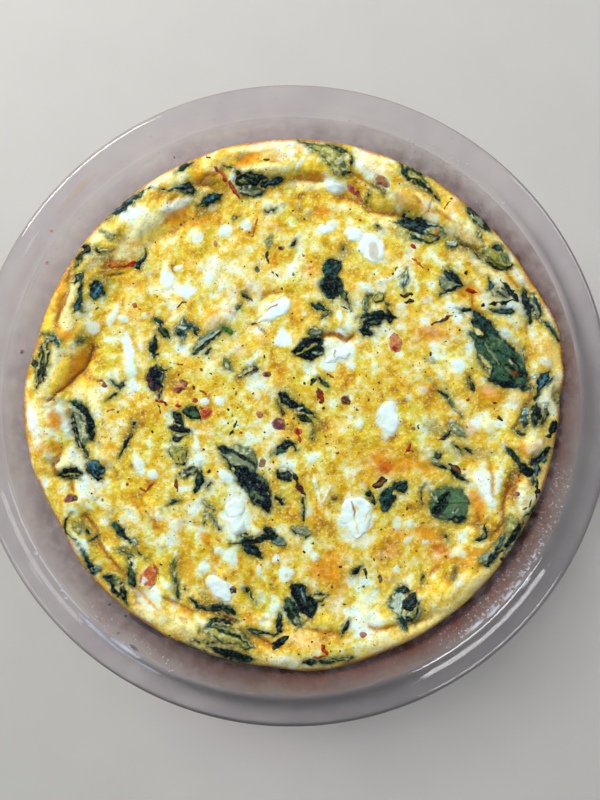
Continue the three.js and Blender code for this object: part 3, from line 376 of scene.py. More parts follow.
# Leaves: blades of x and y of both tips, bend to the left, width, share of the length where it is widest,
# bluntness from 1 for a lens down to 0.3 for a square end, then the paints of its inside and its edges
LEAVES = {
    "leaf_northwest_edge": [
        (-70.5, 70, -55.5, 82, 0, 3.4, 0.55, 0.7, "kt"),
        (-70, 71, -60, 79, 0.4, 0.8, 0.5, 0.6, "bb"),
    ],
    "leaf_northwest_band": [
        (-54.5, 82.3, -36, 82, 0, 4.6, 0.85, 0.8, "dk"),
        (-47, 82, -38, 83.4, 0, 0.9, 0.5, 0.6, "bb"),
    ],
    "leaf_west_hump": [
        (-80, 60, -72.5, 58, 0.4, 3.2, 0.4, 0.6, "kk"),
        (-82.5, 52.5, -78, 59, 0.3, 3, 0.5, 0.7, "ko"),
    ],
    "leaf_west_edge": [
        (-92.5, 25.5, -96.5, 6.5, 0, 4.6, 0.5, 0.6, "ok"),
        (-95, 27.5, -88.5, 25, 0, 2.4, 0.6, 0.7, "yk"),
        (-90, 26.5, -88.3, 22.6, 0, 1.9, 0.6, 0.7, "db"),
        (-94, 22.6, -96.6, 6.6, 0.6, 1.5, 0.5, 0.5, "kk"),
        (-93.6, 16, -94, 9, 0, 1.2, 0.5, 0.5, "kk"),
        (-98, 18.4, -96.8, 14, 0, 2.8, 0.5, 0.5, "dk"),
    ],
    "leaf_north_teal": [
        (-36, 76.3, -27, 81, 0, 3.8, 0.7, 0.6, "bt"),
        (-34, 76, -28.5, 79, 0, 1, 0.5, 0.6, "kk"),
    ],
    "leaf_north_mass": [
        (-21.5, 86, -9, 86.2, 0.3, 5.2, 0.35, 0.6, "kk"),
        (-20, 82, -10, 82.5, -0.3, 4, 0.4, 0.6, "yk"),
        (-11.5, 84, -2.3, 86.3, 0, 3.4, 0.6, 0.7, "bk"),
        (-20.8, 85.8, -16.4, 85.2, 0, 2, 0.5, 0.6, "ok"),
        (-17, 88, -13, 86.6, 0, 1.4, 0.5, 0.6, "yk"),
    ],
    "leaf_north_olive": [
        (6, 99, 19.8, 88, 2.4, 6.6, 0.6, 0.6, "og"),
        (17, 94, 21, 89, 0.3, 1.6, 0.5, 0.6, "yg"),
    ],
    "leaf_northeast_edge": [
        (41.5, 91, 55, 79.8, 0, 4.2, 0.45, 0.6, "ok"),
        (42, 91.5, 43.6, 87, 0, 2, 0.5, 0.6, "tk"),
        (43, 91.2, 51, 86.6, 0, 1.6, 0.5, 0.6, "kt"),
        (45, 86.8, 55, 79.6, 0.4, 1.5, 0.5, 0.6, "kk"),
    ],
    "leaf_northeast_strings": [
        (40, 70, 59.3, 65.4, 0.5, 5.2, 0.5, 0.65, "xk"),
        (44, 71.5, 51.5, 70.6, 0, 2.4, 0.6, 0.6, "kk"),
        (51.5, 67.2, 59.3, 65.4, 0, 4, 0.5, 0.6, "yk"),
        (52.4, 66.8, 57.5, 65.6, 0, 2.2, 0.5, 0.6, "oo"),
        (54.6, 67, 55, 65, 0, 1, 0.5, 0.6, "ss"),
    ],
    "leaf_northeast_lobe": [
        (73, 60, 82.8, 52.6, 0.4, 6, 0.5, 0.5, "og"),
        (75.6, 60.6, 81.4, 58.2, 0, 1.8, 0.5, 0.6, "bk"),
        (79.5, 57.5, 81.5, 53.5, 0, 2, 0.5, 0.6, "yg"),
    ],
    "leaf_northeast_triangle": [
        (57, 48.6, 65.2, 46.2, 0, 8, 0.45, 0.5, "yt"),
        (60, 53.6, 65.6, 46.2, -0.5, 2, 0.6, 0.6, "dk"),
        (56.6, 42.6, 65, 46, 0, 1.5, 0.6, 0.6, "kd"),
        (58, 51.5, 62, 48, 0, 3, 0.5, 0.6, "tk"),
    ],
    "leaf_middle_black": [
        (15.6, 40, 15.6, 50.6, 0, 8.8, 0.55, 0.5, "kt"),
        (11.8, 50.4, 18.8, 54.6, 0, 7, 0.5, 0.5, "tk"),
        (13, 55.6, 18.6, 55, 0.4, 1.8, 0.5, 0.5, "dk"),
        (19.4, 46.4, 19.8, 41.6, 0, 1.6, 0.5, 0.5, "tg"),
    ],
    "leaf_dome": [
        (1.2, 20.4, 12.4, 21.6, -0.5, 5.6, 0.5, 0.45, "kk"),
        (3, 23, 12.2, 25.6, -0.3, 5, 0.5, 0.5, "dk"),
        (6, 27.2, 12, 28.8, 0, 4.2, 0.55, 0.5, "yk"),
        (2.4, 19.4, 9.4, 23.6, 0, 0.6, 0.5, 0.5, "oo"),
        (8, 20, 12, 20.2, 0, 1.4, 0.5, 0.5, "tc"),
    ],
    "leaf_wide": [
        (28, 31.8, 35.4, 33.6, 0, 4, 0.5, 0.6, "gk"),
        (25.3, 33.8, 40.3, 33.3, 0.6, 4.2, 0.65, 0.55, "kt"),
        (26.2, 29, 31, 27.6, 0, 3.2, 0.5, 0.5, "dk"),
        (27.8, 26.5, 29.3, 34.5, 0, 3.6, 0.4, 0.6, "kk"),
        (36.8, 37.8, 37.8, 31.5, 0, 4.2, 0.7, 0.6, "kk"),
    ],
    "leaf_long_green": [
        (-37.6, 20.8, -26.2, 30, 0.2, 3.4, 0.45, 0.7, "cg"),
        (-37.4, 20, -27.6, 28.4, -0.3, 1.1, 0.5, 0.6, "kk"),
        (-27.3, 30.2, -21.6, 27.4, 0.2, 2.8, 0.55, 0.6, "vv"),
    ],
    "leaf_west_cluster": [
        (-42, 24.3, -41, 33.3, 0, 3.8, 0.55, 0.6, "tc"),
        (-43.6, 31, -34.8, 29, 0, 2.8, 0.4, 0.6, "tc"),
        (-44, 28.6, -43, 26.8, 0, 1.8, 0.5, 0.5, "kk"),
        (-37, 28.6, -36, 26.4, 0, 1.8, 0.5, 0.5, "kk"),
    ],
    "leaf_purple": [
        (-51.4, 15.6, -51.8, 5.2, 0, 5.4, 0.5, 0.5, "dp"),
        (-54, 12.4, -53, 6.4, -0.4, 1.8, 0.5, 0.5, "mp"),
        (-51.8, 7.6, -50.6, 5, 0, 1.8, 0.5, 0.5, "mp"),
        (-51, 15.2, -47.4, 13.6, 0, 2.2, 0.4, 0.6, "gk"),
        (-49, 12.6, -49.8, 3, 0, 1.1, 0.5, 0.5, "gk"),
    ],
    "leaf_centre": [
        (-5.6, 4.8, 3, -1.4, 0.3, 4.1, 0.4, 0.6, "dk"),
        (1.4, 0.2, 8.6, -2.8, 0.3, 2.4, 0.5, 0.5, "tk"),
        (2, -3.4, 7.8, -6, 0, 2.8, 0.5, 0.6, "gk"),
        (1.2, -1.8, 4, -0.9, 0, 1, 0.5, 0.5, "nc"),
    ],
    "leaf_east_green": [
        (69.5, 33.5, 88.6, 8, -1.6, 13.4, 0.62, 0.5, "gt"),
        (63.6, 36.8, 69.6, 36.4, 0, 2.2, 0.5, 0.6, "tk"),
        (68.4, 36.6, 79, 26, 0.4, 3.6, 0.55, 0.6, "tk"),
        (67.8, 28.5, 74.5, 22.5, 0, 3.2, 0.5, 0.6, "gt"),
        (69.6, 29.6, 73, 26.6, 0, 2.2, 0.5, 0.6, "ee"),
        (72, 20.5, 75.6, 12.6, 0, 3, 0.5, 0.6, "et"),
        (74, 11, 91.6, 7, -1.2, 3, 0.5, 0.5, "kt"),
        (81, 19.5, 88.5, 12, 0, 1.3, 0.5, 0.6, "ck"),
        (79, 21, 90, 9.5, 1.2, 1.2, 0.5, 0.6, "kk"),
        (83.4, 13, 86, 11.4, 0, 1.8, 0.5, 0.6, "mn"),
        (74, 23.5, 79, 16, 0, 1, 0.5, 0.6, "yy"),
    ],
    "leaf_east_rim": [
        (90.7, 43, 94.4, 32, 0, 3.8, 0.5, 0.5, "yk"),
        (88, 45, 90.4, 31, 0.4, 3.2, 0.45, 0.5, "kk"),
        (92, 42.6, 95.2, 33.6, -0.4, 1.5, 0.5, 0.5, "kt"),
    ],
    "leaf_west_bow": [
        (-82.8, -2, -79.6, -17, 1.2, 5.4, 0.45, 0.5, "yk"),
        (-82, 0.5, -77.6, -2.8, 0.6, 3, 0.5, 0.5, "dk"),
        (-78.6, -2, -77.2, -14.4, 1.6, 3.4, 0.5, 0.5, "dk"),
        (-83, -2, -80, -15, -0.6, 1, 0.5, 0.5, "kk"),
        (-79.8, -14, -77.4, -20.8, 0, 2.2, 0.5, 0.5, "tk"),
    ],
    "leaf_west_blue": [
        (-77.8, -22.2, -72.2, -25.8, 0, 5.6, 0.5, 0.4, "bd"),
        (-75.6, -24, -73.6, -28, 0, 2.4, 0.5, 0.5, "bd"),
        (-77.2, -21.8, -73.6, -22.8, 0, 1, 0.5, 0.5, "cb"),
    ],
    "leaf_west_black": [
        (-89.4, -26, -79.4, -25.6, 0.3, 4.8, 0.6, 0.6, "kk"),
        (-87.8, -27.2, -80, -27.2, 0, 1.6, 0.5, 0.5, "ok"),
        (-86.4, -25.8, -80.4, -26.2, 0, 0.7, 0.5, 0.5, "oo"),
    ],
    "leaf_cross_west": [
        (-44.9, -2.2, -41.2, -7.2, 0, 3.5, 0.5, 0.5, "kk"),
        (-41.2, -1.2, -34.4, -5.2, 0.4, 4.2, 0.4, 0.6, "gk"),
        (-47, -8, -38.2, -9.8, 0, 2.9, 0.35, 0.6, "dk"),
    ],
    "leaf_southwest_pair": [
        (-42.8, -27, -38.2, -24.6, 0, 2.8, 0.5, 0.5, "yk"),
        (-40.2, -25.4, -36.4, -24, 0, 3.2, 0.5, 0.5, "yk"),
        (-35.8, -24.2, -36.8, -32.6, 1.2, 3.4, 0.5, 0.55, "tk"),
        (-34.6, -23.8, -33.6, -28, 0, 1, 0.5, 0.5, "kk"),
    ],
    "leaf_long_black": [
        (-26.8, -17, -13.6, -27, 2.2, 9.4, 0.5, 0.6, "yt"),
        (-28.6, -15, -23, -18.4, 0.3, 2.8, 0.5, 0.5, "kt"),
        (-26, -16.4, -13.6, -23.4, 1.2, 1.7, 0.5, 0.5, "tk"),
        (-26, -18.6, -20.6, -26, -0.6, 1.6, 0.5, 0.5, "kt"),
        (-22, -22.6, -7.8, -40, 1.4, 9, 0.5, 0.6, "dk"),
    ],
    "leaf_south_mass": [
        (-23.2, -52.8, -9, -51.2, 0.2, 2.6, 0.6, 0.6, "kk"),
        (-9.8, -46.4, -5.6, -51.8, 0.3, 4.2, 0.5, 0.55, "kk"),
        (-18.8, -52.4, -11.2, -57.8, 0, 4.4, 0.4, 0.6, "xk"),
        (-19.6, -49.6, -14.4, -50, 0, 2.2, 0.5, 0.5, "ok"),
        (-6.8, -51.8, -2.6, -52.6, 0, 3, 0.5, 0.5, "yb"),
        (-13, -50.6, -8, -50.6, 0, 2.8, 0.5, 0.5, "kk"),
    ],
    "leaf_southeast_dark": [
        (39.6, -30.2, 35, -39.8, -0.4, 5.6, 0.6, 0.5, "tk"),
        (38.6, -31.2, 44.4, -30.6, -0.4, 4.8, 0.6, 0.5, "tk"),
        (39.4, -29, 40.4, -31.6, 0, 2.2, 0.5, 0.5, "kk"),
    ],
    "leaf_square": [
        (53, -37.4, 67.6, -37.4, 0, 14, 0.5, 0.3, "zg"),
        (53.8, -42, 60.6, -32.6, 0, 4.6, 0.5, 0.5, "kg"),
        (60, -43.4, 67.2, -42.4, 0, 3, 0.5, 0.5, "kt"),
        (54, -41.8, 58.2, -41.4, 0, 1.8, 0.5, 0.5, "pp"),
        (61, -40.4, 63.4, -39.4, 0, 1.6, 0.5, 0.5, "bc"),
        (63.6, -44.2, 66.4, -43.6, 0, 1, 0.5, 0.5, "bb"),
        (53.4, -32.4, 56, -36.4, 0, 1.4, 0.5, 0.5, "yg"),
    ],
    "leaf_cross_east": [
        (81.8, -15.8, 88, -23, 0, 2.8, 0.55, 0.5, "kt"),
        (98.8, -15.8, 90.4, -22.4, 0.2, 3.4, 0.4, 0.5, "dk"),
        (87.2, -20.8, 90.8, -27.2, 0, 3.8, 0.5, 0.55, "kk"),
        (93.4, -21.2, 92.4, -27.2, 0, 2.8, 0.5, 0.5, "bd"),
        (91.4, -26.4, 91.4, -29.6, 0, 2.2, 0.5, 0.5, "bd"),
        (94.4, -20.4, 96.8, -20.2, 0, 2.3, 0.5, 0.5, "bt"),
    ],
    "leaf_southeast_rim": [
        (83.6, -41.8, 84, -49.8, 0, 4.8, 0.5, 0.5, "oy"),
        (86.8, -45.8, 81.6, -56.8, 0, 4, 0.5, 0.5, "yt"),
        (76.6, -55.2, 71.4, -59, 0, 2.4, 0.5, 0.5, "cy"),
        (81.6, -47.4, 74.8, -58.2, 0.5, 2, 0.5, 0.5, "bt"),
        (86.8, -43.2, 79.4, -55.2, 1, 2.7, 0.5, 0.5, "kk"),
        (80, -54, 73.2, -60.6, 0, 2.3, 0.5, 0.5, "kd"),
        (72.2, -59.6, 75.2, -61.2, 0, 1.8, 0.5, 0.5, "bd"),
    ],
    "leaf_southwest_strip": [
        (-80.5, -52.5, -74.5, -64, 0, 3.4, 0.7, 0.6, "kb"),
    ],
    "leaf_southwest_triangle": [
        (-71, -65.4, -66, -65, 0, 3.2, 0.5, 0.5, "kt"),
        (-66.4, -65.2, -63.2, -72.4, 0, 3.8, 0.5, 0.5, "ok"),
        (-67.8, -66.2, -65.6, -72.6, 0, 1.9, 0.5, 0.5, "dk"),
        (-64.4, -68.6, -62.6, -75.2, 0, 2.3, 0.5, 0.5, "dk"),
    ],
    "leaf_south_band": [
        (-40.6, -69.6, -31, -77.6, -1.6, 1.6, 0.7, 0.6, "kk"),
        (-32, -77.2, -20.8, -79.6, 1, 3.6, 0.5, 0.6, "kg"),
        (-31.2, -81.4, -22.6, -83, 0.5, 2, 0.5, 0.5, "dk"),
        (-27.8, -79.2, -20.8, -82.6, 0.3, 1.4, 0.5, 0.5, "an"),
    ],
    "leaf_south_lobe": [
        (-34.2, -84.8, -14.4, -91.8, 1.6, 6, 0.5, 0.6, "ot"),
        (-30, -84.4, -15.6, -91.4, 1.6, 1.4, 0.5, 0.5, "kk"),
    ],
    "leaf_south_rim": [
        (-31, -91.3, -14.6, -96.3, -0.4, 4.6, 0.6, 0.55, "kk"),
    ],
    "leaf_south_corner": [
        (-4.3, -78.8, -5.3, -86.8, 0.2, 2.6, 0.5, 0.4, "dk"),
        (-16.8, -85, -8.2, -86.6, -0.2, 2.4, 0.5, 0.5, "dk"),
    ],
    "leaf_south_big": [
        (0.4, -67.8, 4.8, -79.4, 1.6, 7, 0.45, 0.6, "dk"),
        (-1.8, -72.8, 2.8, -83.6, -0.6, 5.4, 0.5, 0.6, "gt"),
        (5.6, -71, 7.6, -81, 0.4, 5.6, 0.5, 0.5, "kp"),
        (1, -79.4, 4.2, -83.8, 0, 3.2, 0.5, 0.5, "yk"),
        # A painted highlight: a thin pale streak on the dark leaf
        (3.8, -70.2, 5, -74.2, 0.3, 0.9, 0.5, 0.5, "cb"),
        (8.4, -72.8, 13.2, -73, 0, 3.6, 0.35, 0.7, "ok"),
        (9.4, -71.8, 13.8, -72.2, 0, 0.9, 0.5, 0.5, "kk"),
    ],
    "leaf_southeast_round": [
        (41.7, -70.3, 40.4, -79.4, -0.6, 6.8, 0.5, 0.5, "ct"),
        (39.2, -69.9, 45.4, -70.8, 0.6, 2.9, 0.5, 0.5, "kt"),
        (47.6, -74.4, 44.2, -81, 1, 4.4, 0.5, 0.5, "oc"),
        (47.2, -71.2, 42.2, -77.8, 0.3, 4.8, 0.5, 0.5, "dk"),
        (48, -74, 44.6, -81.8, 1.4, 1.1, 0.5, 0.5, "kk"),
        (41, -79, 43.8, -85.4, 0, 3.8, 0.5, 0.5, "tc"),
        (43.4, -79.4, 45.8, -82, 0, 2.1, 0.5, 0.5, "kk"),
    ],
}

# The strip of tomato skin by the north rim, as a blade
STRIPS = {"tomato_strip": [(-29.5, 91.2, -20, 79.3, 0.8, 1.9, 0.5, 0.4, "fr")]}

# Lumps of cheese: x, y, half length, half width, turn in degrees, height over the egg, paint.
# A row of nine values is a blade, as in the table of leaves; the narrow blades are grooves and spots of egg.
CHEESE = {
    "cheese_northeast": [
        (24, 65.6, 4, 3, -25, 0.8, "w"),
        (30.8, 60.2, 5, 6.4, 25, 0.9, "w"),
        (31.6, 59.2, 2, 3.6, 10, 0.8, "l"),
    ],
    "cheese_heart": [(12.5, 67.3, 3.2, 2.4, 0, 0.7, "w"), (15.4, 69, 2.2, 2.8, 0, 0.7, "w")],
    "cheese_north": [(16.5, 83, 3.8, 2.6, -20, 0.7, "w")],
    "cheese_wedge": [
        (-13.4, 31.2, -0.4, 40.6, 0, 6.8, 0.66, 0.5, "ww"),
        (-11, 35.2, -5, 39.2, 0, 0.6, 0.5, 0.5, "ii"),
    ],
    "cheese_northwest": [(-47.4, 49, 2.9, 5.2, 0, 0.6, "w"), (-43.2, 52.6, 2.4, 1.3, 25, 0.6, "w")],
    "cheese_middle": [
        (15.4, 20.6, 22.6, 20.2, 0, 5.6, 0.5, 0.45, "ww"),
        (13, 16.4, 18, 18.6, 0, 3.4, 0.6, 0.5, "ww"),
        (16.5, 22.6, 16.8, 18.4, 0, 0.6, 0.5, 0.5, "ii"),
    ],
    "cheese_east": [(36.6, -2.4, 3.3, 4.7, 0, 0.8, "w"), (38, -6.4, 3.4, 5.4, 0, 0.8, "w")],
    "cheese_southeast": [
        (24.6, -34.8, 25.7, -51.2, 0, 12.4, 0.36, 0.6, "ww"),
        (23.2, -36.4, 24, -43, 0.3, 0.7, 0.5, 0.5, "ii"),
        (23.8, -42.6, 25.8, -48.6, 0.2, 0.6, 0.5, 0.5, "ee"),
        (28.2, -43.8, 30.2, -40, 0, 0.6, 0.5, 0.5, "ee"),
        (24.4, -38, 25.4, -40.4, 0, 1.2, 0.5, 0.5, "ee"),
    ],
    "cheese_south": [(-21.6, -39.4, 4.3, 4, 0, 0.9, "w"), (-20.8, -45.2, 3.4, 4, 0, 0.8, "w")],
    "cheese_southwest": [(-32.2, -65, -23, -75, 0.4, 6.8, 0.45, 0.5, "ww")],
}

# Pieces of tomato and ham, in the measures of the lumps
TOMATO = {
    "ham_north": [(34.2, 85, 4, 2.2, -38, 0.7, "i"), (33, 84, 1.4, 1.2, -38, 0.7, "m")],
    "ham_east": [(39.8, 24, 2.8, 4.3, 8, 0.4, "h"), (39.6, 21.6, 1.1, 1.1, 0, 0.4, "r")],
    "ham_middle": [(-4.6, -6.6, 3.2, 2.7, -35, 0.6, "u")],
    "ham_west": [(-83.4, -35.2, 2.9, 1.9, 0, 0.5, "u"), (-81.8, -35.2, 1.2, 1.6, 0, 0.5, "p")],
    "tomato_west": [
        (-42.3, 7.2, 3.4, 2.2, 45, 0.5, "h"),
        (-41, 8.8, 2.1, 1.1, -35, 0.5, "m"),
        (-43.4, 5.8, 2.5, 1, 10, 0.5, "m"),
    ],
    "tomato_middle": [
        (-33, -2.8, 3.3, 2.8, 35, 0.6, "s"),
        (-31.4, -3.4, 2.8, 0.7, 42, 0.6, "r"),
        (-34.6, -0.8, 1.6, 0.8, -50, 0.6, "r"),
    ],
    "tomato_southwest": [
        (-54, -65.2, 2.9, 4.4, 10, 0.7, "s"),
        (-51.9, -62, 1.1, 2.9, 32, 0.7, "r"),
        (-57.3, -65.4, 0.9, 1.9, -10, 0.7, "r"),
        # The white spot is a painted highlight on the tomato
        (-56, -66.2, 0.9, 1.2, 0, 0.7, "w"),
    ],
}

